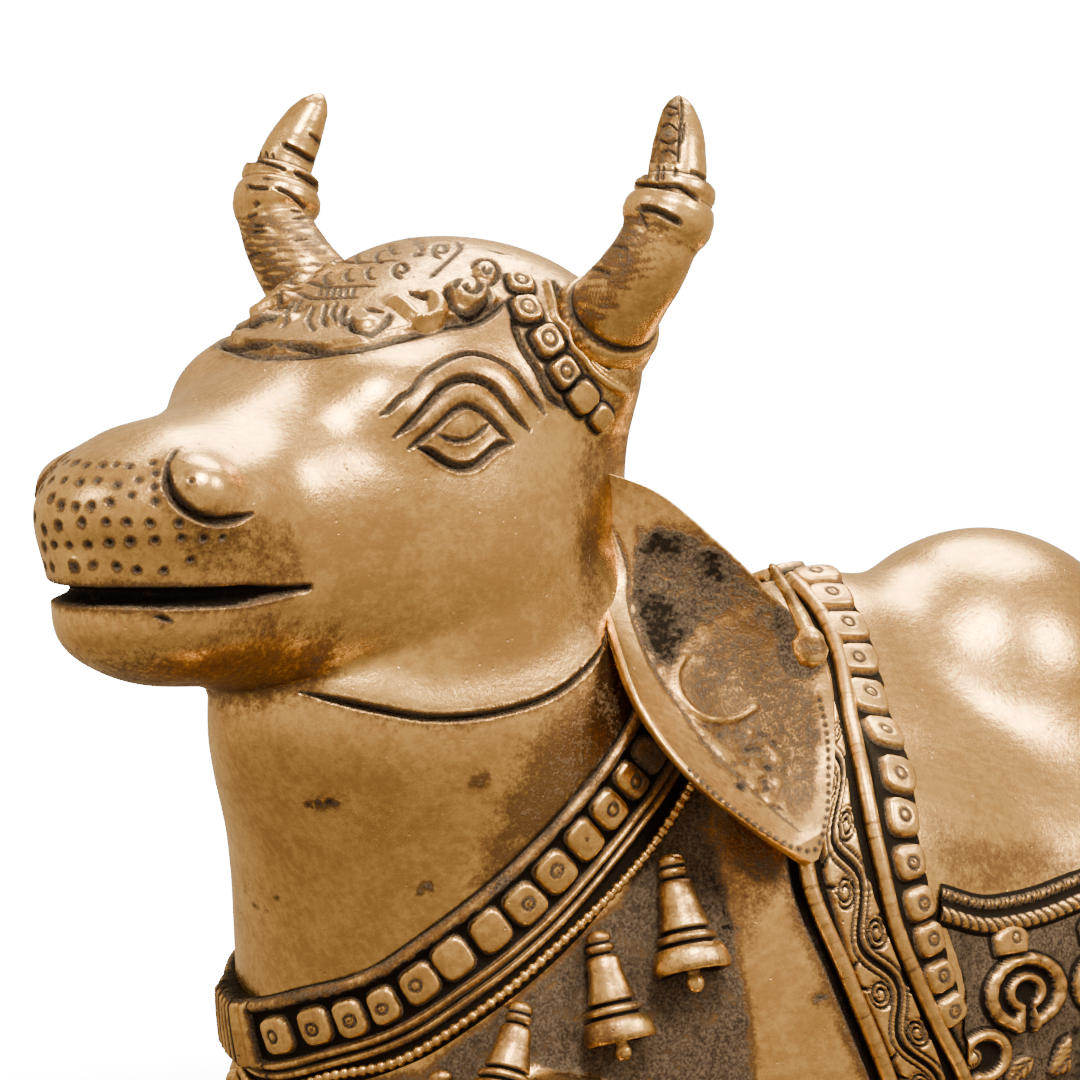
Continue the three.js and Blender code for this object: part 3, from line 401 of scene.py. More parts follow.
@dataclass(frozen=True)
class Sight:
    """The photograph's viewpoint, and the sight lines from it."""

    azimuth: float = -30.0
    elevation: float = 5.0
    distance: float = 900.0
    target: Triple = (-74.0, 0.0, 151.0)
    lens: float = 180.0
    film: float = 36.0
    frame: float = 1080.0

    def axes(self) -> tuple[Array, Array, Array]:
        """The world directions to the camera's back, right and top."""
        az, el = math.radians(self.azimuth), math.radians(self.elevation)
        back = np.array([math.sin(az) * math.cos(el), -math.cos(az) * math.cos(el), math.sin(el)])
        right = np.array([math.cos(az), math.sin(az), 0.0])
        return back, right, np.cross(back, right)

    def place(self) -> Array:
        """The camera's place in world millimetres."""
        return np.array(self.target) + self.distance * self.axes()[0]

    def seen(self, points: Array) -> Array:
        """Where the picture shows figure points, as x, y and 0."""
        back, right, up = self.axes()
        away = points * HALF_TURN + FIGURE_PLACE - self.place()
        scale = self.lens * self.frame / self.film / -(away @ back)
        return np.stack([self.frame / 2 + away @ right * scale, self.frame / 2 - away @ up * scale, 0 * scale], axis=-1)

    def meet(self, skin: Skin, seen: Knots) -> Array:
        """Where the sight lines through points of the picture first meet the skin, in figure millimetres."""
        back, right, up = self.axes()
        spots = (np.asarray(seen, float) - self.frame / 2) * self.film / self.frame
        ways = unit(spots[:, :1] * right - spots[:, 1:] * up - self.lens * back) * HALF_TURN
        start = (self.place() - FIGURE_PLACE) * HALF_TURN
        travelled = np.full(len(spots), self.distance - 200.0)
        for _ in range(60):
            step = 0.75 * skin.distance(start + travelled[:, None] * ways)
            travelled += step
            if np.abs(step).max() < 0.01:
                break
        return start + travelled[:, None] * ways


def through(knots: Knots, count: int, closed: bool = False) -> Array:
    """Evenly spaced points on a smooth line through knots.

    Args:
        knots: The points that the line passes through.
        count: How many steps the line has.
        closed: Whether the line runs back to its start.

    Returns:
        count + 1 points, or count points on a closed line.
    """
    p = np.asarray(knots, float)
    ring = np.concatenate([p[-1:], p, p[:2]]) if closed else np.concatenate([2 * p[:1] - p[1:2], p, 2 * p[-1:] - p[-2:-1]])
    fine = []
    t = np.linspace(0, 1, 24, endpoint=False)[:, None]
    for a, b, c, d in zip(ring, ring[1:], ring[2:], ring[3:]):
        # Centripetal knots keep the line from looping where the knots are uneven.
        k1, k2, k3 = (max(math.sqrt(float(np.linalg.norm(v))), 1e-6) for v in (b - a, c - b, d - c))
        m1 = (c - b) + k2 * ((b - a) / k1 - (c - a) / (k1 + k2))
        m2 = (c - b) + k2 * ((d - c) / k3 - (d - b) / (k2 + k3))
        fine.append(
            (2 * t**3 - 3 * t**2 + 1) * b + (t**3 - 2 * t**2 + t) * m1 + (3 * t**2 - 2 * t**3) * c + (t**3 - t**2) * m2
        )
    line = np.concatenate([*fine, p[:1] if closed else p[-1:]])
    run = np.concatenate([[0], np.cumsum(np.linalg.norm(np.diff(line, axis=0), axis=1))])
    at = np.linspace(0, run[-1], count + 1)
    spaced = np.stack([np.interp(at, run, line[:, i]) for i in range(line.shape[1])], axis=1)
    return spaced[:-1] if closed else spaced


@dataclass(frozen=True)
class Near:
    """How far points are from a path: straight, along it, and to its left."""

    distance: Array
    along: Array
    across: Array


class Path:
    """A line that relief follows."""

    def __init__(self, points: Array) -> None:
        """Keeps the points and the length run at each."""
        self.points = points
        self.run = np.concatenate([[0], np.cumsum(np.linalg.norm(np.diff(points, axis=0), axis=1))])

    @property
    def length(self) -> float:
        """The path's whole length."""
        return float(self.run[-1])

    def near(self, points: Array, outwards: Array, reach: float) -> tuple[Array, Near]:
        """Finds the points within reach.

        Args:
            points: The points to measure.
            outwards: The way out of the surface at each.
            reach: How far is still near.

        Returns:
            The indices of the near points, and how far each is.
        """
        low, high = self.points.min(axis=0) - reach, self.points.max(axis=0) + reach
        inside = np.flatnonzero(np.all((points > low) & (points < high), axis=1))
        p = points[inside]
        best = np.full(len(p), np.inf)
        along, across = np.zeros(len(p)), np.zeros(len(p))
        for i, (a, b) in enumerate(zip(self.points, self.points[1:])):
            d = b - a
            t = np.clip((p - a) @ d / (d @ d), 0, 1)
            away = p - a - t[:, None] * d
            far = np.linalg.norm(away, axis=1)
            closer = far < best
            best = np.where(closer, far, best)
            along = np.where(closer, self.run[i] + t * (self.run[i + 1] - self.run[i]), along)
            side = np.einsum("ij,ij->i", away, np.cross(outwards[inside], d))
            across = np.where(closer, np.copysign(far, side), across)
        keep = best < reach
        return inside[keep], Near(best[keep], along[keep], across[keep])


class Shell:
    """A mesh of triangles on the skin that can be made finer where it needs to be."""

    def __init__(self, points: Array, faces: Array) -> None:
        """Keeps the points and the triangles."""
        self.points, self.faces = points, faces

    @classmethod
    def of(cls, distance: Callable[[Array], Array], low: Triple, high: Triple, step: float) -> "Shell":
        """The closed surface where a distance is zero, from one point in each grid cell that it passes through."""
        low_corner = np.asarray(low, float)
        block = 4
        blocks = np.ceil((np.asarray(high) - low_corner) / (step * block)).astype(int)
        centres = np.indices(blocks).reshape(3, -1).T
        middle = distance(low_corner + step * (centres * block + (block - 1) / 2))
        field = np.repeat(np.repeat(np.repeat(middle.reshape(blocks), block, 0), block, 1), block, 2)
        within = np.indices((block,) * 3).reshape(3, -1).T
        close = centres[np.abs(middle) < step * block * 1.9]
        spots = (close[:, None, :] * block + within[None]).reshape(-1, 3)
        field[tuple(spots.T)] = distance(low_corner + step * spots)
        field[np.abs(field) < 1e-6] = 1e-6
        cells = tuple(n - 1 for n in field.shape)
        count = np.zeros(np.prod(cells))
        total = np.zeros((np.prod(cells), 3))
        quads = []
        for axis in range(3):
            ahead = [slice(None)] * 3
            behind = [slice(None)] * 3
            ahead[axis], behind[axis] = slice(1, None), slice(None, -1)
            first, second = field[tuple(behind)], field[tuple(ahead)]
            edges = np.argwhere((first < 0) != (second < 0))
            a, b = first[tuple(edges.T)], second[tuple(edges.T)]
            cross = edges.astype(float)
            cross[:, axis] += a / (a - b)
            u, v = (axis + 1) % 3, (axis + 2) % 3
            ring = []
            for du, dv in ((-1, -1), (0, -1), (0, 0), (-1, 0)):
                cell = edges.copy()
                cell[:, u] += du
                cell[:, v] += dv
                ring.append(np.ravel_multi_index(tuple(cell.T), cells))
            for cell in ring:
                count += np.bincount(cell, minlength=len(count))
                for i in range(3):
                    total[:, i] += np.bincount(cell, weights=cross[:, i], minlength=len(count))
            quad = np.stack(ring, axis=1)
            quads.append(np.where((a < 0)[:, None], quad, quad[:, ::-1]))
        used = np.flatnonzero(count)
        number = np.zeros(len(count), int)
        number[used] = np.arange(len(used))
        points = low_corner + step * total[used] / count[used, None]
        quad = number[np.concatenate(quads)]
        across = [np.linalg.norm(points[quad[:, i]] - points[quad[:, i + 2]], axis=1) for i in (0, 1)]
        turned = np.where((across[0] <= across[1])[:, None], quad, np.roll(quad, -1, axis=1))
        return cls(points, np.concatenate([turned[:, [0, 1, 2]], turned[:, [0, 2, 3]]]))

    def refine(self, size_at: Callable[[Array], Array], settle: Callable[[Array], Array], rounds: int) -> None:
        """Splits the edges that are longer than their place allows, and puts the new points on the surface."""
        for _ in range(rounds):
            n = len(self.points)
            pairs = np.sort(np.stack([self.faces[:, [1, 2]], self.faces[:, [2, 0]], self.faces[:, [0, 1]]], 1), axis=2)
            keys, edge = np.unique(pairs[..., 0] * n + pairs[..., 1], return_inverse=True)
            edge = edge.reshape(-1, 3)
            ends = self.points[keys // n], self.points[keys % n]
            length = np.linalg.norm(ends[0] - ends[1], axis=1)
            middle = (ends[0] + ends[1]) / 2
            mark = length > size_at(middle)
            if not mark.any():
                return
            longest = edge[np.arange(len(edge)), np.argmax(length[edge], axis=1)]
            for _ in range(12):
                touched = mark[edge].any(axis=1)
                if mark[longest[touched]].all():
                    break
                mark[longest[touched]] = True
            new = np.full(len(keys), -1)
            new[mark] = n + np.arange(mark.sum())
            self.points = np.concatenate([self.points, settle(middle[mark])])
            self.faces = self._split(self.faces, new[edge])

    def _split(self, faces: Array, middles: Array) -> Array:
        """Cuts each triangle by the new points of its edges; middles holds -1 where an edge stays whole."""
        cut = middles >= 0
        count = cut.sum(axis=1)
        out = [faces[count == 0]]
        for k in range(3):
            order = [k, (k + 1) % 3, (k + 2) % 3]
            chosen = (count == 1) & cut[:, k]
            (a, b, c), m = faces[chosen][:, order].T, middles[chosen, k]
            out += [np.stack([a, b, m], 1), np.stack([a, m, c], 1)]
            chosen = (count == 2) & ~cut[:, k]
            a, b, c = faces[chosen][:, order].T
            on_ca, on_ab = middles[chosen, order[1]], middles[chosen, order[2]]
            out.append(np.stack([a, on_ab, on_ca], 1))
            p = self.points
            first = np.linalg.norm(p[on_ab] - p[c], axis=1) < np.linalg.norm(p[b] - p[on_ca], axis=1)
            out.append(np.where(first[:, None], np.stack([on_ab, b, c], 1), np.stack([on_ab, b, on_ca], 1)))
            out.append(np.where(first[:, None], np.stack([on_ab, c, on_ca], 1), np.stack([b, c, on_ca], 1)))
        (a, b, c), (ma, mb, mc) = faces[count == 3].T, middles[count == 3].T
        out += [np.stack(t, 1) for t in ((a, mc, mb), (mc, b, ma), (mb, ma, c), (ma, mb, mc))]
        return np.concatenate(out)

    def relax(self, settle: Callable[[Array], Array], rounds: int) -> None:
        """Evens the triangles: each point moves towards the middle of its neighbours and back onto the surface."""
        a, b = self.faces.ravel(), np.roll(self.faces, -1, axis=1).ravel()
        count = np.bincount(a, minlength=len(self.points))[:, None]
        for _ in range(rounds):
            total = np.stack([np.bincount(a, weights=self.points[b, i], minlength=len(self.points)) for i in range(3)], 1)
            self.points = settle(0.4 * self.points + 0.6 * total / count)


@dataclass(frozen=True)
class Zone:
    """Where a shell is made finer: within reach of a path the edges are no longer than size."""

    path: Path
    reach: float
    size: float


def edge_sizes(base: Callable[[Array], Array], zones: Iterable[Zone]) -> Callable[[Array], Array]:
    """The longest edge allowed at each point, growing away from the zones."""
    kept = list(zones)

    def size_at(points: Array) -> Array:
        size = base(points)
        for zone in kept:
            at, near = zone.path.near(points, np.ones_like(points), zone.reach + 6.0)
            fine = zone.size + 0.3 * np.maximum(near.distance - zone.reach, 0.0)
            size[at] = np.minimum(size[at], fine)
        return size

    return size_at


class Relief:
    """Heights over a surface and the dirt in its hollows, together with painted shade, built up stroke by stroke.

    Dirt is 1 deep in a hollow, 0.5 at its edge and 0 on clean metal.
    """

    def __init__(self, points: Array, outwards: Array, halo: float = 2.4) -> None:
        """Starts level and clean; halo is how far the brown shade reaches beside a cut."""
        self.points, self.outwards, self.halo = points, outwards, halo
        self.height = np.zeros(len(points))
        self.dirt = np.zeros(len(points))

    def soil_and_shade(self, at: Array, amount: Array) -> None:
        """Raises the dirt and painted shade of some points to an amount."""
        self.dirt[at] = np.maximum(self.dirt[at], amount)

    def clean(self, at: Array, amount: Array) -> None:
        """Wipes the dirt of some points by an amount."""
        self.dirt[at] *= 1.0 - np.clip(amount, 0, 1)

    def cut(self, path: Path, width: float, depth: float, runout: float = 2.5, burr: float = 0.08) -> None:
        """Engraves a groove that narrows at its ends.

        Args:
            path: The groove's middle.
            width: Its width at the surface.
            depth: Its depth.
            runout: The length over which each end fades.
            burr: The height of the lip beside it.
        """
        at, near = path.near(self.points, self.outwards, width * 0.5 + self.halo)
        fade = smooth(np.minimum(near.along, path.length - near.along), -0.15 * runout, runout)
        half = width / 2 * (0.35 + 0.65 * fade)
        share = near.distance / half
        self.height[at] -= depth * (0.3 + 0.7 * fade) * np.clip(1 - share**2, 0, 1)
        self.height[at] += burr * dome((share - 1.35) / 0.5)
        shade = 0.34 * (1 - (near.distance - half) / self.halo) * (0.3 + 0.7 * fade)
        self.soil_and_shade(at, np.clip(np.maximum(1 - 0.5 * share, shade), 0, 1))

    def roll(self, path: Path, width: float, height: float, runout: float = 1.5, wipe: float = 1.0) -> None:
        """Raises a round roll along a path, clean on its top."""
        at, near = path.near(self.points, self.outwards, width * 0.6)
        fade = smooth(np.minimum(near.along, path.length - near.along), -0.6, runout)
        share = near.distance / (width / 2)
        self.height[at] += height * fade * dome(share) ** 0.6
        self.clean(at, wipe * fade * smooth(share, 1.05, 0.85))

    def stroke(self, stroke: "Stroke", path: Path) -> None:
        """Cuts or raises a stroke."""
        if stroke.height < 0:
            self.cut(path, stroke.width, -stroke.height, stroke.runout)
        else:
            self.roll(path, stroke.width, stroke.height, stroke.runout)

    def ledge(self, path: Path, height: float, back: float) -> None:
        """Raises the ground to the left of a path: steep at the path, and falling back over a length."""
        at, near = path.near(self.points, self.outwards, back + 1.0)
        fade = smooth(np.minimum(near.along, path.length - near.along), 0.0, 4.0)
        rise = smooth(near.across, -0.3, 0.45) * (1 - smooth(near.across, 0.8, back))
        self.height[at] += height * fade * rise

    def tile(self, centre: Array, row: Path, half: float, height: float, ring: float) -> None:
        """Raises a pillowed square plaque.

        Args:
            centre: Its middle.
            row: The row that it stands in, which turns it.
            half: Half its width.
            height: Its height.
            ring: The radius of the ring punched in it, or 0 for none.
        """
        away = self.points - centre
        at = np.flatnonzero(np.linalg.norm(away, axis=1) < 2.2 * half)
        away = away[at]
        nearest = int(np.argmin(np.linalg.norm(row.points - centre, axis=1)))
        ahead = row.points[min(nearest + 1, len(row.points) - 1)] - row.points[max(nearest - 1, 0)]
        out = unit(self.outwards[at].mean(axis=0))
        ahead = unit(ahead - (ahead @ out) * out)
        a, b = away @ ahead, away @ np.cross(out, ahead)
        q = (np.abs(a / half) ** 3.4 + np.abs(b / half) ** 3.4) ** (1 / 3.4)
        self.height[at] += height * ((1 - smooth(q, 0.78, 1.05)) + 0.18 * dome(q))
        self.soil_and_shade(at, smooth(q, 0.8, 1.0) * (1 - smooth(q, 1.12, 1.4)))
        self.clean(at, 1 - smooth(q, 0.7, 0.9))
        if ring:
            far = np.hypot(a, b)
            line = np.clip(1 - np.abs(far - ring) / 0.45, 0, 1)
            drop = np.clip(1 - far / 0.4, 0, 1)
            self.height[at] -= 0.5 * line
            self.soil_and_shade(at, np.maximum(line, 0.6 * drop))

    def boss(self, centre: Array, radius: float, height: float, flat: float = 0.5) -> None:
        """Raises a round boss; flat is the share of its radius that is level."""
        away = np.linalg.norm(self.points - centre, axis=1)
        at = np.flatnonzero(away < radius)
        self.height[at] += height * (1 - smooth(away[at] / radius, flat, 1.0))

    def prick(self, centre: Array, radius: float, depth: float) -> None:
        """Punches a round hole, dark inside."""
        away = np.linalg.norm(self.points - centre, axis=1)
        at = np.flatnonzero(away < 2 * radius)
        share = away[at] / radius
        self.height[at] -= depth * np.clip(1 - share**2, 0, 1)
        self.soil_and_shade(at, np.clip(1 - 0.5 * share, 0, 1))


def closed_rings(rings: Array, looped: bool = False) -> tuple[Array, Array]:
    """A closed mesh through rings of equally many points.

    Args:
        rings: The rings, of shape (rings, points, 3).
        looped: Whether the last ring joins the first; otherwise fans close both ends.

    Returns:
        The points, and triangles that face outwards.
    """
    n, k = rings.shape[:2]
    points = rings.reshape(-1, 3)
    number = np.arange(n * k).reshape(n, k)
    first = number if looped else number[:-1]
    second = np.roll(number, -1, axis=0) if looped else number[1:]
    a, b = first, np.roll(first, -1, axis=1)
    c, d = np.roll(second, -1, axis=1), second
    faces = [np.stack([a, b, c], -1).reshape(-1, 3), np.stack([a, c, d], -1).reshape(-1, 3)]
    if not looped:
        middles = rings[[0, -1]].mean(axis=1)
        points = np.concatenate([points, middles])
        for ring, m, turn in ((number[0], n * k, 1), (number[-1], n * k + 1, -1)):
            fan = np.stack([np.full(k, m), np.roll(ring, -1), ring], 1)
            faces.append(fan[:, ::turn])
    faces = np.concatenate(faces)
    p = points - points.mean(axis=0)
    volume = np.einsum("ij,ij->", p[faces[:, 0]], np.cross(p[faces[:, 1]], p[faces[:, 2]]))
    return points, faces if volume > 0 else faces[:, ::-1]


class Value:
    """A number in a shader, with arithmetic."""

    def __init__(self, shader: "Shader", socket: bpy.types.NodeSocket) -> None:
        """Wraps an output socket."""
        self.shader, self.socket = shader, socket

    def _math(self, operation: str, *inputs: "Number") -> "Value":
        """Adds a Math node."""
        node = self.shader.node("ShaderNodeMath", {"operation": operation}, dict(enumerate(inputs)))
        return Value(self.shader, node.outputs[0])

    def __add__(self, other: "Number") -> "Value":
        """The sum."""
        return self._math("ADD", self, other)

    def __sub__(self, other: "Number") -> "Value":
        """The difference."""
        return self._math("SUBTRACT", self, other)

    def __rsub__(self, other: "Number") -> "Value":
        """The difference from a number."""
        return self._math("SUBTRACT", other, self)

    def __mul__(self, other: "Number") -> "Value":
        """The product."""
        return self._math("MULTIPLY", self, other)

    __radd__ = __add__
    __rmul__ = __mul__

    def top(self, other: "Number") -> "Value":
        """The larger of two numbers."""
        return self._math("MAXIMUM", self, other)

    def step(self, low: float, high: float) -> "Value":
        """An even step from 0 at low to 1 at high."""
        settings = {"interpolation_type": "SMOOTHSTEP"}
        node = self.shader.node("ShaderNodeMapRange", settings, {"Value": self, "From Min": low, "From Max": high})
        return Value(self.shader, node.outputs["Result"])


Number = Union[Value, float]
Colour = tuple[float, float, float]
Tint = Union[Colour, bpy.types.NodeSocket]


class Shader:
    """A material's node tree in the making."""

    def __init__(self, name: str) -> None:
        """Makes the material with a bare Principled BSDF."""
        self.material = bpy.data.materials.new(name)
        self.material.use_nodes = True
        self.tree = self.material.node_tree
        self.tree.nodes.clear()
        self.surface = self.node("ShaderNodeBsdfPrincipled", {}, {})
        self.node("ShaderNodeOutputMaterial", {}, {"Surface": self.surface.outputs[0]})
        self.place = self.node("ShaderNodeTexCoord", {}, {}).outputs["Object"]

    def node(self, kind: str, settings: dict, inputs: dict) -> bpy.types.Node:
        """Adds a node.

        Args:
            kind: The node's type.
            settings: Its properties, set first; "stops" gives a colour ramp's stops.
            inputs: Values, colours or links by socket name or number.

        Returns:
            The node.
        """
        node = self.tree.nodes.new(kind)
        for key, value in settings.items():
            setattr(node, key, value)
        for key, value in inputs.items():
            source = value.socket if isinstance(value, Value) else value
            if isinstance(source, bpy.types.NodeSocket):
                self.tree.links.new(source, node.inputs[key])
            elif isinstance(source, tuple) and len(node.inputs[key].default_value) == 4:
                node.inputs[key].default_value = (*source, 1.0)
            else:
                node.inputs[key].default_value = source
        return node

    def noise(self, size: float, detail: float = 3.0, stretch: Triple = (1, 1, 1)) -> Value:
        """Noise whose lumps are about size millimetres wide, stretched along the axes."""
        place = self.node("ShaderNodeMapping", {}, {"Vector": self.place, "Scale": tuple(1 / s for s in stretch)})
        inputs = {"Vector": place.outputs[0], "Scale": 1 / (size * MM), "Detail": detail}
        return Value(self, self.node("ShaderNodeTexNoise", {}, inputs).outputs["Fac"])

    def specks(self, size: float) -> Value:
        """The distance to the nearest of many scattered points, in shares of their spacing in millimetres."""
        inputs = {"Vector": self.place, "Scale": 1 / (size * MM), "Randomness": 1.0}
        return Value(self, self.node("ShaderNodeTexVoronoi", {}, inputs).outputs["Distance"])

    def attribute(self, name: str) -> Value:
        """A number that the mesh carries."""
        return Value(self, self.node("ShaderNodeAttribute", {"attribute_name": name}, {}).outputs["Fac"])

    def mix(self, share: Number, first: Tint, second: Tint) -> bpy.types.NodeSocket:
        """A mix of two colours."""
        inputs = {0: share, 6: first, 7: second}
        return self.node("ShaderNodeMix", {"data_type": "RGBA"}, inputs).outputs[2]

    def bump(self, height: Value, strength: float, size: float) -> bpy.types.NodeSocket:
        """A normal from a height in shares of size millimetres."""
        inputs = {"Height": height, "Strength": strength, "Distance": size * MM}
        return self.node("ShaderNodeBump", {}, inputs).outputs[0]


@dataclass(frozen=True)
class Brass:
    """Cast brass: polished where hands and cloth reach, brown round its hollows, dusty in them and black in cuts; the
    same brown and dust also paint the shade that the pieces carry in their dirt layer.
    """

    name: str
    polished: Colour = (0.87, 0.60, 0.26)
    tarnished: Colour = (0.55, 0.335, 0.145)
    brown: Colour = (0.165, 0.095, 0.058)
    crust: Colour = (0.026, 0.020, 0.021)
    dust: Colour = (0.150, 0.120, 0.108)
    black: Colour = (0.007, 0.005, 0.005)
    roughness: float = 0.26
    tarnish: float = 0.8
    grime: float = 0.0
    pits: float = 0.6
    grain: float = 0.45

    def material(self) -> bpy.types.Material:
        """Builds the finish."""
        s = Shader(self.name)
        broad, patch, fine, grain = s.noise(24, 3), s.noise(6, 5), s.noise(1.2, 4), s.noise(0.48, 3)
        brushed = s.noise(0.5, 3, (10, 1.5, 4))
        # The layer read here holds painted shade as well as dirt, so the layers below paint that shade too.
        soot_and_shade = s.attribute("dirt") + (fine - 0.5) * 0.40 + (patch - 0.5) * 0.30 + (grain - 0.5) * 0.40 + self.grime
        stained_and_shaded, dusty_and_shaded, black = soot_and_shade.step(0.08, 0.44), soot_and_shade.step(0.42, 0.62), soot_and_shade.step(0.80, 0.98)
        speck = (1 - s.specks(2.3).step(0.05, 0.14)) * patch.step(0.5, 0.6) * self.pits
        tarnish = (broad * 0.5 + patch * 0.5 + (fine - 0.5) * 0.5 + (brushed - 0.5) * 0.25).step(0.34, 0.66)
        colour = s.mix(tarnish * self.tarnish, self.polished, self.tarnished)
        colour = s.mix((grain * 0.6 + brushed * 0.4).step(0.42, 0.62) * 0.45, colour, self.tarnished)
        colour = s.mix(stained_and_shaded * 0.9, colour, self.brown)
        crusted = s.mix((grain * 0.65 + fine * 0.35).step(0.34, 0.72), self.crust, self.dust)
        colour = s.mix(dusty_and_shaded.top(speck), colour, crusted)
        colour = s.mix(black, colour, self.black)
        s.surface.inputs["Roughness"].default_value = self.roughness
        s.surface.inputs["Specular IOR Level"].default_value = 0.12
        rough = self.roughness + (patch - 0.5) * 0.16 + (grain - 0.5) * 0.16 + stained_and_shaded * 0.12 + dusty_and_shaded.top(speck) * 0.28
        height = grain * (dusty_and_shaded * 1.4 + 0.5) + brushed * 0.45 + fine * 0.7 - speck * 2.2
        s.tree.links.new(colour, s.surface.inputs["Base Color"])
        s.tree.links.new(rough.socket, s.surface.inputs["Roughness"])
        s.tree.links.new((1 - dusty_and_shaded.top(speck)).socket, s.surface.inputs["Metallic"])
        s.tree.links.new(s.bump(height, self.grain, 0.14), s.surface.inputs["Normal"])
        return s.material


class Finish(Enum):
    """The finishes of the figure and its base."""

    POLISHED = Brass("polished_brass")
    WORN = Brass("worn_brass", tarnish=0.9, grime=0.08, grain=0.6, roughness=0.33, pits=0.8)
    BASE = Brass("base_brass", tarnish=0.9, grime=0.08, roughness=0.36)


class Caster:
    """Makes the pieces and dresses them."""

    def __init__(self) -> None:
        """Makes the finishes."""
        self.materials = {finish: finish.value.material() for finish in Finish}
        self.made: list[bpy.types.Object] = []

    def mesh(self, name: str, points: Array, faces: Array, layers: Optional[dict[str, Array]] = None) -> bpy.types.Mesh:
        """A smooth mesh in the world's place.

        Args:
            name: The mesh's name.
            points: Figure points in millimetres.
            faces: Triangles, or an empty array of pairs for a line.
            layers: Numbers for each point, by attribute name.

        Returns:
            The mesh.
        """
        mesh = bpy.data.meshes.new(name)
        mesh.vertices.add(len(points))
        mesh.vertices.foreach_set("co", to_world(points).astype(np.float32).ravel())
        if faces.shape[1] == 2:
            mesh.edges.add(len(faces))
            mesh.edges.foreach_set("vertices", faces.astype(np.int32).ravel())
        else:
            mesh.loops.add(faces.size)
            mesh.loops.foreach_set("vertex_index", faces.astype(np.int32).ravel())
            mesh.polygons.add(len(faces))
            mesh.polygons.foreach_set("loop_start", np.arange(0, faces.size, 3, dtype=np.int32))
        for key, values in (layers or {}).items():
            mesh.attributes.new(key, "FLOAT", "POINT").data.foreach_set("value", values.astype(np.float32))
        mesh.update(calc_edges=faces.shape[1] == 3)
        if faces.shape[1] == 3:
            mesh.validate()
            mesh.shade_smooth()
        return mesh

    def add(self, mesh: bpy.types.Mesh, finish: Finish, replaces: Optional[str] = None) -> bpy.types.Object:
        """Puts a mesh in the scene as a piece of the figure.

        Args:
            mesh: The finished mesh.
            finish: What it is dressed in.
            replaces: The CAD node that it stands for.

        Returns:
            The piece.
        """
        piece = bpy.data.objects.new(mesh.name, mesh)
        bpy.context.scene.collection.objects.link(piece)
        mesh.materials.clear()
        mesh.materials.append(self.materials[finish])
        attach(piece, ROOT)
        if replaces:
            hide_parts(replaces)
        self.made.append(piece)
        LOG.info("%s: %d points, %d faces", mesh.name, len(mesh.vertices), len(mesh.polygons))
        return piece


class GeometryTree:
    """A Geometry Nodes tree in the making, run once on a mesh."""

    KINDS = {float: "NodeSocketFloat", int: "NodeSocketInt", bpy.types.Material: "NodeSocketMaterial"}

    def __init__(self, name: str, sizes: dict[str, object]) -> None:
        """Makes the tree with its named inputs.

        Args:
            name: The tree's name.
            sizes: The inputs' values by name; a float, an int or a material each.
        """
        self.sizes = sizes
        self.tree = bpy.data.node_groups.new(name, "GeometryNodeTree")
        self.tree.interface.new_socket("Geometry", in_out="INPUT", socket_type="NodeSocketGeometry")
        self.tree.interface.new_socket("Geometry", in_out="OUTPUT", socket_type="NodeSocketGeometry")
        for key, value in sizes.items():
            kind = next(socket for type_, socket in self.KINDS.items() if isinstance(value, type_))
            self.tree.interface.new_socket(key, in_out="INPUT", socket_type=kind)
        self.inputs = self.tree.nodes.new("NodeGroupInput").outputs

    def node(self, kind: str, settings: dict, inputs: dict) -> bpy.types.NodeOutputs:
        """Adds a node and gives its outputs."""
        node = self.tree.nodes.new(kind)
        for key, value in settings.items():
            setattr(node, key, value)
        for key, value in inputs.items():
            if isinstance(value, (bpy.types.NodeSocket, list)):
                for source in value if isinstance(value, list) else [value]:
                    self.tree.links.new(source, node.inputs[key])
            else:
                node.inputs[key].default_value = value
        return node.outputs

    def math(self, operation: str, *inputs: object) -> bpy.types.NodeSocket:
        """Adds a Math node."""
        return self.node("ShaderNodeMath", {"operation": operation}, dict(enumerate(inputs)))[0]

    def finish(self, geometry: bpy.types.NodeSocket) -> None:
        """Ends the tree in real, dressed geometry."""
        real = self.node("GeometryNodeRealizeInstances", {}, {0: geometry})[0]
        smooth_faces = self.node("GeometryNodeSetShadeSmooth", {}, {"Geometry": real})[0]
        dressed = self.node(
            "GeometryNodeSetMaterial", {}, {"Geometry": smooth_faces, "Material": self.inputs["Material"]}
        )[0]
        self.node("NodeGroupOutput", {}, {0: dressed})

    def run(self, mesh: bpy.types.Mesh) -> bpy.types.Mesh:
        """Runs the tree on a mesh and gives the plain mesh that comes out."""
        carrier = bpy.data.objects.new(mesh.name, mesh)
        bpy.context.scene.collection.objects.link(carrier)
        modifier = carrier.modifiers.new(self.tree.name, "NODES")
        modifier.node_group = self.tree
        for item in self.tree.interface.items_tree:
            if item.in_out == "INPUT" and item.name in self.sizes:
                modifier[item.identifier] = self.sizes[item.name]
        evaluated = carrier.evaluated_get(bpy.context.evaluated_depsgraph_get())
        plain = bpy.data.meshes.new_from_object(evaluated)
        carrier.modifiers.remove(modifier)
        bpy.data.objects.remove(carrier)
        name = mesh.name
        bpy.data.meshes.remove(mesh)
        plain.name = name
        return plain


def ripple(points: Array, size: float, seed: int, waves: int = 14) -> Array:
    """A soft unevenness between about -1 and 1 whose lumps are size millimetres wide."""
    rng = np.random.default_rng(seed)
    ways = unit(rng.normal(size=(waves, 3))) * (2 * math.pi / (size * rng.uniform(1.2, 2.8, (waves, 1))))
    return np.sin(points @ ways.T + rng.uniform(0, 2 * math.pi, waves)).sum(axis=1) * 1.5 / waves


def mirrored(knots: Knots, side: int) -> Array:
    """Knots on the bull's left side, or their mirror image on its right."""
    return np.asarray(knots, float) * (1, side, 1)


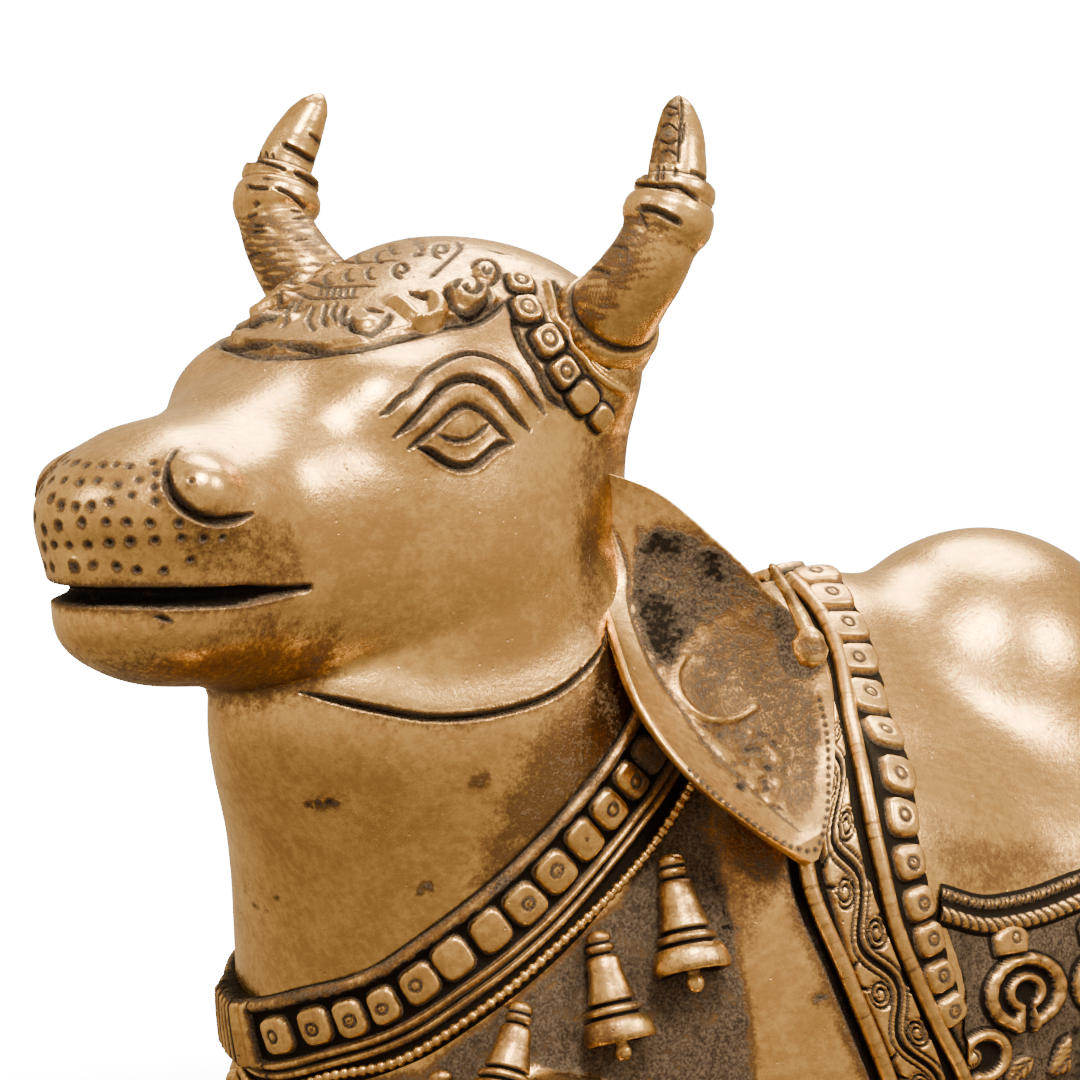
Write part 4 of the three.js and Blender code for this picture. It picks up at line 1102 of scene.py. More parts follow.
@dataclass
class Harness:
    """The lines that the harness follows on the bull's left side, and the sizes of its parts in millimetres."""

    collar: Knots = (
        (105, 15.5, 62), (98, 25, 66), (89, 32, 74), (79, 36, 82.5), (69, 37.6, 92), (60, 37.4, 101), (46, 31, 117),
        (32, 16, 127),
    )
    beads: Knots = (
        (103, 15.8, 53.5), (96.4, 27, 57), (86, 35, 65.5), (73, 38, 76), (58.7, 38.6, 88), (50.5, 37.6, 97),
        (36, 29, 112), (22, 14, 123),
    )
    breast_cord: Knots = (
        (19, 20, 119), (26, 38, 104), (32.5, 46.9, 85.6), (27.2, 50.7, 68.5), (19.6, 51.3, 51.4), (12, 50, 34),
    )
    cloth_cord: Knots = (
        (7, 3, 126), (9.4, 21.1, 116.1), (11.8, 27, 110.1), (17.2, 38.5, 102.4), (18.9, 44.7, 93.4), (18.6, 47.9, 84.7),
        (17.3, 49.9, 75.8), (13.6, 50.9, 66.5), (9, 50.9, 57.8), (4, 50.1, 49.8), (-3, 50, 34),
    )
    plaques: Knots = (
        (1.5, 2, 128), (3.7, 11.3, 125.1), (5.3, 21.6, 115.6), (8.4, 34, 104.2), (12.1, 44.8, 92.1), (12.3, 47.3, 85.5),
        (10, 49.9, 73.2), (6, 50.5, 61.7), (-0.5, 50, 50), (-7, 50, 38),
    )
    hump_rope: Knots = (
        (7.5, 48.9, 78.4), (-1.2, 48, 75.7), (-8, 46.9, 75.5), (-15, 45.6, 76), (-23.6, 44.4, 77.6), (-45, 42, 81),
        (-62, 32, 92), (-70, 14, 102), (-72, 0, 104),
    )
    hem: Knots = ((12, 50, 34), (-6, 50, 32), (-30, 50, 31), (-58, 54, 36), (-80, 54, 40))
    rear_hem: Knots = ((-80, 54, 40), (-84, 54, 62), (-84, 46, 84), (-84, 26, 98), (-84, 0, 103))
    bells: Knots = ((54.5, 40.4, 88.8), (67.6, 39, 77.3), (80, 37, 66.5), (91.5, 32, 56), (102, 17, 49))
    bell_length: float = 21.0
    bead: float = 0.95
    cord: float = 1.45

    def around(self, line: Knots, front: Triple) -> Array:
        """A line closed round the neck: up the left side, over the nape and down the right."""
        left = np.asarray(line, float)
        nape = [(left[-1][0] - 5, 0.0, left[-1][2] + 3)]
        return np.concatenate([[front], left, nape, mirrored(left[::-1], -1)])


class Sheet:
    """A grid laid on the skin between two lines, with relief that stands on it."""

    def __init__(self, skin: Surface, grid: Array, looped: bool = False, shift: float = 0.0) -> None:
        """Lays the grid.

        Args:
            skin: What it lies on.
            grid: Points near the skin, in rows that run along the sheet.
            looped: Whether the last row runs on into the first.
            shift: What the sheet's measure across reads in the middle of the grid.
        """
        flat = skin.settle(grid.reshape(-1, 3))
        self.shape, self.looped = grid.shape, looped
        self.grid = flat.reshape(self.shape)
        self.out = skin.outward(flat).reshape(self.shape)
        columns = self.shape[1]
        middle = self.grid[:, columns // 2]
        steps = np.linalg.norm(np.diff(middle, axis=0), axis=1)
        run = np.concatenate([[0], np.cumsum(steps)])
        self.length = float(run[-1] + (np.linalg.norm(middle[0] - middle[-1]) if looped else 0))
        widths = np.cumsum(np.linalg.norm(np.diff(self.grid, axis=1), axis=2), axis=1)
        across = np.concatenate([np.zeros((len(widths), 1)), widths], axis=1)
        self.u = np.repeat(run[:, None], columns, axis=1)
        self.w = across - across[:, -1:] / 2 + shift

    @classmethod
    def patch(cls, skin: Surface, top: Array, foot: Array, front: Array, rear: Array) -> "Sheet":
        """A sheet spanned between four edges: top and foot run rearwards, front and rear run down."""
        s, t = np.linspace(0, 1, len(top))[:, None, None], np.linspace(0, 1, len(front))[None, :, None]
        ruled = top[:, None] * (1 - t) + foot[:, None] * t + front[None] * (1 - s) + rear[None] * s
        corners = (front[0] * (1 - t) + front[-1] * t) * (1 - s) + (rear[0] * (1 - t) + rear[-1] * t) * s
        return cls(skin, ruled - corners)

    @classmethod
    def strip(
        cls, skin: Surface, knots: Array, span: tuple[float, float], step: float, looped: bool = False
    ) -> "Sheet":
        """A band that runs along a line, from span[0] to span[1] on the left of the way it runs."""
        rough = Path(through(knots, 100, looped))
        line = skin.settle(through(knots, int(rough.length / step), looped))
        ahead = np.roll(line, -1, axis=0) - np.roll(line, 1, axis=0)
        if not looped:
            ahead[0], ahead[-1] = line[1] - line[0], line[-1] - line[-2]
        across = unit(np.cross(skin.outward(line), unit(ahead)))
        aside = np.linspace(*span, max(int((span[1] - span[0]) / step), 4))[None, :, None]
        return cls(skin, line[:, None] + across[:, None] * aside, looped, sum(span) / 2)

    def places(self, points: Array) -> Array:
        """How far along the sheet its rows pass each of some points."""
        rows = [np.linalg.norm(self.grid - point, axis=2).min(axis=1).argmin() for point in points]
        return self.u[rows, 0]

    def cast(self, height: Array, dirt: Array, sunk: float = 1.5) -> tuple[Array, Array, dict[str, Array]]:
        """A closed shell whose top carries the relief and whose rim runs down into the skin.

        Args:
            height: How high each grid point stands over the skin.
            dirt: How dirty it is, and how much shade is painted on it.
            sunk: How deep the rim goes.

        Returns:
            Points, faces and the layers for the mesh.
        """
        top = self.grid + self.out * height[..., None]
        below = [(self.grid - self.out * sunk)[:, [i]] for i in (0, -1)]
        points, faces = closed_rings(np.concatenate([below[0], top, below[1]], axis=1), self.looped)
        rim = np.ones((len(top), 1))
        soil_and_shade = np.concatenate([rim, dirt, rim], axis=1).ravel()
        return points, faces, {"dirt": np.concatenate([soil_and_shade, np.ones(len(points) - len(soil_and_shade))])}


class Pattern:
    """Relief patterns in a sheet's own measure: u along it and w across, both in millimetres."""

    @staticmethod
    def plaques(u: Array, w: Array, centres: Array, half: Union[float, Array], seed: int) -> tuple[Array, Array]:
        """A row of pillowed square plaques, each with a punched ring or curl.

        Args:
            u: Places along the row.
            w: Places across it.
            centres: Where along the row each plaque stands, in order.
            half: Half a plaque's width.
            seed: Sets the small differences between them.

        Returns:
            Heights and dirt.
        """
        rng = np.random.default_rng(seed)
        number = np.searchsorted((centres[1:] + centres[:-1]) / 2, u)
        v = rng.uniform(-1, 1, (6, len(centres)))[:, number]
        room = np.minimum(np.diff(centres, prepend=-1e3), np.diff(centres, append=1e4))[number]
        a = u - centres[number] + 0.2 * v[0]
        b = w + 0.2 * v[1]
        long = np.minimum(half * 1.05, room / 2 - 0.28) * (0.98 + 0.03 * v[3])
        along = (a + 0.08 * v[2] * b) / long
        over = b / (half * (1.0 + 0.05 * v[4]))
        q = (np.abs(along) ** 3.6 + np.abs(over) ** 3.6) ** (1 / 3.6)
        height = (1 - smooth(q, 0.86, 1.05)) * (1.45 + 0.15 * v[5]) + 0.35 * dome(q)
        ring = np.hypot(a - 0.4 * v[2], b - 0.35 * v[3])
        curl = np.abs(ring - 0.95 + 0.25 * v[4] * np.sin(np.arctan2(b, a) + 3 * v[5]))
        mark = np.clip(1 - curl / 0.42, 0, 1) * (v[5] > -0.75)
        drop = np.clip(1 - ring / 0.4, 0, 1) * (v[1] > -0.2)
        height -= 0.35 * mark + 0.3 * drop
        dirt = np.maximum(smooth(q, 0.90, 1.06), np.maximum(mark * 0.95, drop * 0.9))
        return height, dirt

    @staticmethod
    def rim(w: Array, at: float, half: float, height: float) -> tuple[Array, Array]:
        """A round rim along a sheet, and how far it wipes the dirt off."""
        share = np.abs(w - at) / half
        return height * dome(share) ** 0.6, 1 - smooth(share, 0.6, 1.0)

    @staticmethod
    def rope(u: Array, w: Array, at: float, half: float, pitch: float, height: float) -> tuple[Array, Array]:
        """A twisted rope of slanting beads."""
        share = np.abs(w - at) / half
        bead = np.abs(np.sin(math.pi * (u / pitch + 0.45 * (w - at) / half)))
        rise = height * np.sqrt(np.clip(1 - share**2, 0, 1)) * (0.45 + 0.55 * bead**0.6)
        return rise, (1 - smooth(share, 0.75, 1.0)) * smooth(bead, 0.2, 0.55)

    @staticmethod
    def scroll(u: Array, w: Array, period: float = 18.0, sway: float = 1.9) -> tuple[Array, Array]:
        """A flat band with a running vine engraved in it, which coils up in each of its bends."""
        turn = 2 * math.pi * u / period
        slope = 1 / np.sqrt(1 + (sway * 2 * math.pi / period * np.cos(turn)) ** 2)
        off = (w - sway * np.sin(turn)) * slope
        cut = 1 - smooth(np.abs(off) / 0.62, 0.6, 1.15)
        cut = np.maximum(cut, 0.8 * (1 - smooth(np.abs(np.abs(off) - 1.45) / 0.3, 0.5, 1.1)))
        for shift, side in ((0.25, -1), (0.75, 1)):
            a, b = ((u / period - shift + 0.5) % 1.0 - 0.5) * period, (w - side * 1.75) * side
            r, angle = np.hypot(a * 0.8, b), np.arctan2(b, a)
            coil = np.abs((r - 0.42 * (angle / math.pi + 1) + 0.55) % 0.84 - 0.42)
            within = 1 - smooth(r, 2.0, 2.3)
            line = within * smooth(coil, 0.12, 0.3)
            cut = cut * (1 - within) + within * np.maximum(1 - line, 0) * (r > 0.5)
            stem = np.abs(np.hypot((a + 4.4) / 1.25, b - 1.0) - 2.2)
            cut = np.maximum(cut, (1 - smooth(stem, 0.15, 0.42)) * (np.abs(off) > 1.9) * (r > 2.2))
        return 1.1 - 0.9 * cut, cut


@dataclass
class Collar:
    """The neck collar with its square plaques and front clasp, and the bead rope and bells under it."""

    skin: Skin
    harness: Harness
    sight: Sight
    seen: Knots = (
        (283, 1037), (319.4, 1026.6), (354.5, 1018), (386, 1006), (420, 983), (456.3, 958.8), (489, 932), (523, 904.2),
        (553.2, 869), (582, 840), (607, 812), (630, 782), (646, 755),
    )
    pitch: float = 6.7
    step: float = 0.36
    clasp: float = 7.6
    clasp_place: float = -6.0

    def build(self, caster: Caster) -> None:
        """Casts the collar, its beads and its bells."""
        self._band(caster)
        self._beads(caster)
        self._bells(caster)

    def _centres(self, sheet: Sheet) -> Array:
        """Where the plaques stand: as seen on the left, mirrored on the right, and evenly over the nape."""
        left = sheet.places(self.sight.meet(self.skin, self.seen))
        right = sheet.length - left[::-1]
        count = round((right[0] - left[-1]) / self.pitch)
        return np.concatenate([left, np.linspace(left[-1], right[0], count + 1)[1:-1], right])

    def _band(self, caster: Caster) -> None:
        """The band: a streaky roll above the row of plaques, two ridges below it, and the ribbed clasp in front."""
        h = self.harness
        line = h.around(h.collar, (109, 0, 58))
        sheet = Sheet.strip(self.skin, line, (-10.8, 6.6), self.step, looped=True)
        # The row starts at the chest's middle, so u runs from there both ways round.
        u, w = sheet.u, sheet.w
        flat = sheet.grid.reshape(-1, 3)
        uneven = ripple(flat, 3.0, 5).reshape(u.shape)
        height, dirt = Pattern.plaques(u, w, self._centres(sheet), 3.35, 11)
        height = np.where(np.abs(w) < 4.2, height, 0) + 0.5
        dirt = np.where(np.abs(w) < 4.2, dirt, 1.0)
        streak = np.clip(ripple(np.stack([u.ravel() * 0.18, w.ravel(), w.ravel() * 0], 1), 0.9, 12), 0, 1).reshape(u.shape)
        for at, half, rise, wear in ((5.1, 1.45, 1.6, 0.45), (-4.9, 0.85, 1.5, 0.25), (-6.75, 0.75, 1.1, 0.25)):
            rim, wiped = Pattern.rim(w, at, half, rise)
            height = np.maximum(height, 0.35 + rim - 0.15 * wiped * streak)
            dirt = dirt * (1 - wiped) + wiped * (wear * 0.5 + wear * streak)
        crumbs = smooth(0.9 * ripple(flat, 1.3, 13, 24).reshape(u.shape) + (5.2 - w) * 0.9, 0.1, 0.6)
        dirt = np.where(np.abs(w - 5.1) < 1.4, np.maximum(dirt, 0.9 * crumbs), dirt)
        height = np.where(w < -7.6, 0.25 + 0.08 * uneven, height)
        height, dirt = self._clasp(sheet, height, dirt)
        # Painted shade on the collar where it runs under the ear.
        seen = self.sight.seen(flat * np.where(flat[:, 1:2] < 0, (1, -1, 1), (1, 1, 1))).reshape(*u.shape, 3)
        dirt = np.maximum(dirt, 0.5 * smooth(seen[..., 0], 612, 640) * smooth(-seen[..., 1], -830, -760))
        height += 0.07 * uneven
        points, faces, layers = sheet.cast(height, dirt, 2.0)
        caster.add(caster.mesh("neck_collar", points, faces, layers), Finish.WORN)

    def _clasp(self, sheet: Sheet, height: Array, dirt: Array) -> tuple[Array, Array]:
        """Adds the clasp: a raised block, ribbed in its middle and flat at its ends, behind a dark gap."""
        away = np.abs((sheet.u - self.clasp_place + sheet.length / 2) % sheet.length - sheet.length / 2)
        across = np.abs(sheet.w - 0.3)
        block = (1 - smooth(away, self.clasp - 0.5, self.clasp)) * (1 - smooth(across, 5.9, 6.3))
        ribs = np.abs(np.sin(math.pi * away / 1.75)) ** 0.7
        panel = smooth(away, self.clasp - 2.9, self.clasp - 2.6)
        rise = 3.0 - 0.4 * panel + 0.6 * ribs * (1 - panel) - 0.7 * smooth(across, 4.6, 5.9)
        gap = np.clip(1 - np.abs(away - self.clasp - 0.5) / 0.7, 0, 1)
        soil_and_shade = np.maximum((1 - panel) * (1 - smooth(ribs, 0.4, 0.85)), smooth(across, 5.0, 5.9) * 0.7)
        return height * (1 - block) + rise * block - 0.4 * gap, np.maximum(dirt * (1 - block) + soil_and_shade * block, gap)

    def _beads(self, caster: Caster) -> None:
        """The rope of small beads that hangs under the band."""
        h = self.harness
        line = h.around(h.beads, (104, 0, 49))
        path = self.skin.settle(through(line, 240, closed=True), 0.85)
        edges = np.stack([np.arange(240), (np.arange(240) + 1) % 240], 1)
        tree = GeometryTree(
            "bead_rope", {"Pitch": 1.75 * MM, "Radius": h.bead * MM, "Material": caster.materials[Finish.WORN]}
        )
        curve = tree.node("GeometryNodeMeshToCurve", {}, {0: tree.inputs["Geometry"]})[0]
        spaced = tree.node(
            "GeometryNodeResampleCurve", {"mode": "LENGTH"}, {"Curve": curve, "Length": tree.inputs["Pitch"]}
        )[0]
        bead = tree.node("GeometryNodeMeshIcoSphere", {}, {"Radius": tree.inputs["Radius"], "Subdivisions": 2})[0]
        row = tree.node("GeometryNodeInstanceOnPoints", {}, {"Points": spaced, "Instance": bead})[0]
        thin = tree.math("MULTIPLY", tree.inputs["Radius"], 0.7)
        ring = tree.node("GeometryNodeCurvePrimitiveCircle", {}, {"Resolution": 8, "Radius": thin})[0]
        thread = tree.node("GeometryNodeCurveToMesh", {}, {"Curve": spaced, "Profile Curve": ring})[0]
        tree.finish(tree.node("GeometryNodeJoinGeometry", {}, {0: [row, thread]})[0])
        caster.add(tree.run(caster.mesh("bead_rope", path, edges)), Finish.WORN)

    def _bells(self, caster: Caster) -> None:
        """The ten small bells, each hanging down the skin from its knob."""
        h = self.harness
        profile = np.array(
            [
                (0.05, 0.0), (1.5, 0.01), (2.15, 0.045), (2.3, 0.085), (1.9, 0.105), (1.9, 0.115), (2.4, 0.13),
                (2.5, 0.155), (2.2, 0.18), (1.6, 0.19), (1.6, 0.205), (2.5, 0.22), (2.95, 0.25), (3.1, 0.35),
                (3.6, 0.48), (4.2, 0.575), (4.2, 0.59), (3.4, 0.6), (3.4, 0.625), (4.75, 0.64), (5.0, 0.665),
                (5.0, 0.69), (4.2, 0.7), (4.2, 0.725), (5.6, 0.74), (6.1, 0.80), (6.45, 0.88), (6.3, 0.925),
                (5.6, 0.935), (4.6, 0.91), (1.3, 0.88), (1.1, 0.95), (1.5, 1.0), (1.4, 1.045), (0.8, 1.08), (0.05, 1.085),
            ]
        )
        hollow = np.isin(np.arange(len(profile)), (4, 5, 9, 10, 17, 18, 22, 23, 29, 30))
        turn = np.linspace(0, 2 * math.pi, 28, endpoint=False)
        for side in (1, -1):
            for i, knob in enumerate(h.bells):
                size = (1.0, 0.93, 0.9, 0.92, 0.88)[i]
                start = self.skin.settle(mirrored([knob], side), 1.4)
                end = self.skin.settle(start - (3.2, 0, h.bell_length * size), 2.9)
                down = unit(end - start)[0]
                out = self.skin.outward((start + end) / 2)[0]
                across = unit(np.cross(down, out))
                out = np.cross(across, down)
                r, l = profile[:, 0, None] * size, profile[:, 1, None, None] * h.bell_length * size
                ring = across * (r * np.cos(turn))[..., None] + out * (r * np.sin(turn) * 0.82)[..., None]
                points, faces = closed_rings(start + down * l + ring)
                ridge = 0.12 * ripple(points, 2.2, 30 + i)
                points += unit(points - (start + down * ((points - start) @ down)[:, None])) * ridge[:, None]
                stain = np.clip(0.12 + 0.34 * ripple(points[: len(profile) * len(turn)], 3.0, 40 + i), 0, 0.6)
                soil_and_shade = np.maximum(np.repeat(hollow * 1.0, len(turn)), stain)
                # Painted shade on each bell's back, the side that faces the skin.
                back = smooth(-((points[: len(soil_and_shade)] - start - down * ((points[: len(soil_and_shade)] - start) @ down)[:, None]) @ out), -0.5, 2.0)
                soil_and_shade = np.concatenate([np.maximum(soil_and_shade, back * 0.8), [0, 1]])
                name = f"bell_{'left' if side > 0 else 'right'}_{i + 1}"
                caster.add(caster.mesh(name, points, faces, {"dirt": soil_and_shade}), Finish.WORN)


@dataclass(frozen=True)
class Cut:
    """The plane under the collar where the head's piece and the body's piece meet."""

    at: Triple = (109.0, 0.0, 58.0)
    out: Triple = (72.0, 0.0, 82.0)
    overlap: float = 2.0

    def shifted(self, way: int) -> tuple[Triple, Triple]:
        """The plane that ends the body (1) or the head (-1), each a little beyond the cut."""
        normal = unit(np.array(self.out, float))
        return tuple(np.array(self.at) + way * self.overlap * normal), tuple(way * normal)


@dataclass
class Carved:
    """A piece of the bull's skin with relief, the same on both sides where the far side is hidden."""

    name: str
    skin: Skin
    surface: Surface
    sight: Sight
    low: Triple
    high: Triple
    step: float
    rounds: int
    zones: list[Zone] = field(default_factory=list)

    def local(self, points: Array) -> Array:
        """Points in the piece's own frame."""
        raise NotImplementedError

    def prepare(self) -> None:
        """Traces the piece's lines and marks where its mesh has to be fine."""
        raise NotImplementedError

    def base_size(self, local: Array) -> Array:
        """The longest edge at each point away from fine work."""
        raise NotImplementedError

    def carve(self, points: Array, local: Array, outwards: Array) -> tuple[Array, Array]:
        """Heights, and dirt with painted shade, for the points."""
        raise NotImplementedError

    def trace(self, seen: Knots, count: int = 26, closed: bool = False) -> Path:
        """A path on the skin through points of the picture, in the piece's own frame."""
        knots = self.sight.meet(self.skin, seen)
        return Path(self.local(self.skin.settle(through(knots, count, closed))))

    def folded(self, local: Array) -> Array:
        """Points with the right side laid over the left."""
        out = local.copy()
        out[:, 1] = np.abs(out[:, 1])
        return out

    def build(self, caster: Caster, finish: Finish, replaces: Optional[str]) -> bpy.types.Object:
        """Meshes the skin, carves it and casts it."""
        self.prepare()
        shell = Shell.of(self.surface.distance, self.low, self.high, self.step)
        fine = edge_sizes(self.base_size, self.zones)

        def size_at(points: Array) -> Array:
            local = self.local(points)
            return fine(self.folded(local)) * np.where(local[:, 1] < 0, 1.3, 1.0)

        shell.refine(size_at, self.surface.settle, self.rounds)
        shell.relax(self.surface.settle, 2)
        out = self.surface.outward(shell.points)
        local = self.local(shell.points)
        turned = self.local(shell.points + out) - local
        height, dirt = self.carve(shell.points, local, turned)
        points = shell.points + out * height[:, None]
        return caster.add(caster.mesh(self.name, points, shell.faces, {"dirt": dirt}), finish, replaces)


@dataclass(frozen=True)
class Stroke:
    """A line of relief through points of the picture: a groove where its height is below 0, else a roll.

    A stroke that is both is cut on the two sides of the head alike.
    """

    seen: Knots
    width: float
    height: float
    runout: float = 2.0
    both: bool = True
    count: int = 26


@dataclass(frozen=True)
class Tile:
    """A pillowed plaque at a point of the picture, with a ring, a dot or a curl punched in it."""

    seen: tuple[float, float]
    half: float
    height: float
    ring: float = 0.0


def between(first: Knots, second: Knots, share: float = 0.5) -> Knots:
    """The line between two lines of the picture."""
    return through(first, 30) * (1 - share) + through(second, 30) * share


def around(centre: tuple[float, float], radius: float, start: float, turn: float, inward: float = 1.0) -> Knots:
    """Points of the picture on an arc or a spiral, by its start and its turn in degrees.

    Args:
        centre: The middle.
        radius: The radius at the start.
        start: Where it starts, from the right, towards the picture's foot.
        turn: How far it runs.
        inward: The radius at its end, as a share of the first.

    Returns:
        The knots.
    """
    at = np.radians(start + np.linspace(0, turn, max(int(abs(turn) / 30), 3)))
    r = radius * np.linspace(1, inward, len(at))
    return np.stack([centre[0] + r * np.cos(at), centre[1] + r * np.sin(at)], axis=1)


OUTER_LID: Knots = (
    (380.3, 415), (389.4, 410.3), (400, 398), (411, 392), (421, 378), (441.5, 363.6), (454.8, 357), (469.4, 353.3),
    (482.7, 355), (500.9, 362.4), (515.4, 372), (527.5, 389.7), (539.6, 405.4), (544.5, 414),
)
BROW: Knots = (
    (394.2, 437), (410, 423.6), (423.3, 409), (437.9, 392), (454.8, 381.2), (470.6, 378.8), (483.9, 382.4),
    (497.2, 392), (509.3, 409), (521.5, 422.4), (530, 431),
)
UPPER_LID: Knots = (
    (407.6, 449), (420.9, 439.4), (436.6, 427.2), (448.8, 415), (460.9, 407.2), (470.6, 406.6), (481.5, 411.5),
    (492.4, 421.2), (502, 432), (513, 441.8),
)
LOWER_LID: Knots = (
    (418.5, 447.8), (430.6, 452.7), (442.7, 461.2), (454.8, 466.6), (462, 467.8), (476.6, 464.2), (488.7, 453.9),
    (497.2, 446.6), (506.9, 444.2), (513.6, 443),
)
EYE = (
    Stroke(between(OUTER_LID, BROW), 4.4, 0.5, 5.0),
    Stroke(between(BROW, UPPER_LID), 3.2, 0.5, 5.0),
    Stroke(OUTER_LID, 1.15, -0.65),
    Stroke(BROW, 1.5, -1.2, 4.0),
    Stroke(UPPER_LID, 1.15, -0.9, 3.0),
    Stroke(LOWER_LID, 1.6, -1.1, 3.0),
    Stroke(((437.9, 434.5), (448.8, 439.4), (459.7, 441.2), (470.6, 438.7), (481.5, 430.9), (488.7, 423.6)), 0.9, -0.5),
)
EYEBALL = (465.0, 425.0)
NOSTRIL = (
    Stroke(((180, 447), (174, 453), (169.5, 460), (166.6, 468)), 0.8, -0.4, 2.0),
    Stroke(
        (
            (167.5, 463), (166.4, 471.8), (168.7, 487.9), (179.1, 504), (195.1, 515.4), (213.5, 521.2), (234.2, 520),
            (252.5, 514.3),
        ),
        1.9, -1.8, 4.5,
    ),
)
NOSTRIL_MIDDLE = (207.0, 482.0)
MUZZLE_DOTS = (
    (75.8, 462.6), (86.1, 465.4), (102.2, 465.4), (115.5, 464.5), (129, 466.1), (152.7, 462.6), (155.6, 473),
    (64.7, 481), (80.3, 482.6), (97.6, 480.3), (117.1, 484.5), (138.4, 479.2), (154.3, 486.7), (53.3, 498.7),
    (63.1, 505.8), (76.9, 507.4), (91.8, 506.3), (109.7, 502.4), (131.5, 495.2), (155.4, 501.7), (48.2, 528.1),
    (62, 524.6), (83.1, 521.9), (106.1, 522.3), (127, 522.8), (149.7, 523.5), (179.1, 523.5), (48.9, 545.7),
    (59.2, 542.5), (72.3, 543.5), (90, 543.5), (109.7, 542.5), (130.4, 541.8), (155, 540.7), (181.4, 538.4),
    (203.6, 538.9), (222.7, 538.4), (42.5, 551), (48.7, 564.8), (56.5, 566.4), (75.5, 566.4), (93, 565.5),
    (116.4, 566.4), (137.3, 570.5), (163.7, 571), (190.5, 560.2),
)
JAW: Knots = ((300, 692), (330, 699), (370, 708), (430, 718), (500, 712), (560, 690), (600, 650), (608, 625))
CREST_EDGE: Knots = (
    (244, 330), (262, 350), (275, 352), (330, 348), (365, 343), (400, 334), (440, 322), (475, 316), (505, 296),
)
CREST_SLIT: Knots = ((266, 347), (284, 349), (301, 350), (330, 352), (362, 354))
# The feathers that are engraved on the crest, with their curved scales and the strands that fan out in front.
CREST_LINES = (
    ((306.8, 283.9), (330, 287.5), (374.6, 286.6)), ((297.9, 294.6), (315.7, 299.1), (358.6, 298.2)),
    ((335.4, 263.4), (358.6, 263.4), (397.9, 260.7)), ((456.8, 241.1), (460.4, 248.2), (440.7, 267.9), (430, 278.6)),
    ((406.8, 237.5), (419.3, 244.6), (422.9, 251.8)), ((287.1, 294.6), (260.4, 312.5)),
    ((292.5, 296.4), (271.1, 317.9)), ((296.1, 300), (278.2, 325)), ((301.4, 300), (283.6, 332.1)),
    ((313.9, 305.4), (308.6, 321.4), (315.7, 335.7)), ((326.4, 303.6), (322.9, 321.4), (327.3, 330.4)),
    ((337.1, 301.8), (331.8, 314.3), (337.1, 326.8)), ((283.6, 266.1), (265.7, 278.6), (247.9, 310.7)),
    ((290.7, 269.6), (269.3, 285.7), (253.2, 308.9)), ((288.9, 278.6), (274.6, 291.1), (260.4, 303.6)),
)
CREST_SCALES = (
    (330, 278.6), (351.4, 275), (372.9, 273.2), (362.1, 257.1), (381.8, 257.1), (346.1, 251.8), (378.2, 246.4),
    (396.1, 248.2), (311, 272),
)
CREST_TILES = (
    Tile((519.7, 284.5), 2.35, 1.3, 1.0), Tile((525.7, 311.2), 2.6, 1.5, 1.25), Tile((546.4, 342.2), 2.75, 1.6, 1.2),
    Tile((563.6, 372.7), 2.6, 1.5, 1.0), Tile((581.7, 396.4), 2.7, 1.4), Tile((600, 417), 2.2, 1.2),
)
CURL, SWIRL, LEAF = (466.5, 297.0), (485.0, 273.0), (364.0, 327.0)
HORN_ROOT = (
    Stroke(
        (
            (545.5, 279), (552.4, 303.2), (557, 320.4), (567.2, 331), (571.7, 346.6), (582.7, 356.9), (590.9, 369.2),
            (608.1, 383.3), (628.6, 393.9),
        ),
        1.7, 0.9,
    ),
    Stroke(((566, 282.8), (576.6, 301.7), (592, 325.9), (609.3, 343), (626.6, 357)), 2.6, 0.8),
    Stroke(((511, 319), (522.8, 348.3), (538.3, 372.4), (549, 395.4), (564.8, 409)), 1.5, -0.9),
    Stroke(((554, 280.8), (561, 305), (575.6, 329.3), (590.3, 346.6), (609.6, 369.2)), 1.7, -1.0),
    Stroke(((578.3, 275.6), (590.3, 301.7), (604, 324), (618, 339.7), (635.4, 353.4)), 1.6, -0.9),
)
# Brown on head and neck, partly stains and partly painted shade under the ear, along the jaw's fold and under the lips:
# outline, how dark, and how soft the edge.
STAINS_AND_SHADE: tuple[tuple[Knots, float, float], ...] = (
    (((600, 640), (640, 700), (650, 745), (590, 800), (540, 850), (500, 890), (470, 900), (500, 800), (535, 725)), 0.46, 30),
    (((588, 430), (612, 470), (600, 560), (604, 640), (560, 680), (582, 560), (575, 470)), 0.34, 16),
    (((60, 665), (150, 655), (230, 640), (340, 625), (350, 700), (180, 712), (90, 700)), 0.42, 26),
    (
        (
            (248, 335), (262, 285), (330, 243), (420, 235), (520, 258), (570, 285), (540, 300), (500, 300), (440, 330),
            (330, 350),
        ),
        0.20, 10,
    ),
    (((505, 262), (575, 262), (650, 350), (650, 430), (600, 430), (545, 400), (505, 320)), 0.26, 10),
    (((172, 540), (213, 523), (261, 513), (296, 523), (300, 575), (261, 584), (199, 580)), 0.24, 8),
    (((206, 614), (276, 611), (280, 650), (240, 664), (204, 654)), 0.24, 7),
    (((596, 430), (650, 440), (664, 492), (626, 480), (600, 462)), 0.42, 8),
)
NECK_PITS = ((254, 906), (258, 893), (268, 909), (276, 896), (291, 894), (253, 930), (246, 889), (262, 918), (236, 905))
NECK_CUTS = (
    ((154, 616), (163, 619), (173, 622)),
    ((306, 806), (322, 804), (343, 802)), ((418, 893), (427, 886), (434, 884)), ((468, 781), (480, 780), (493, 776)),
)


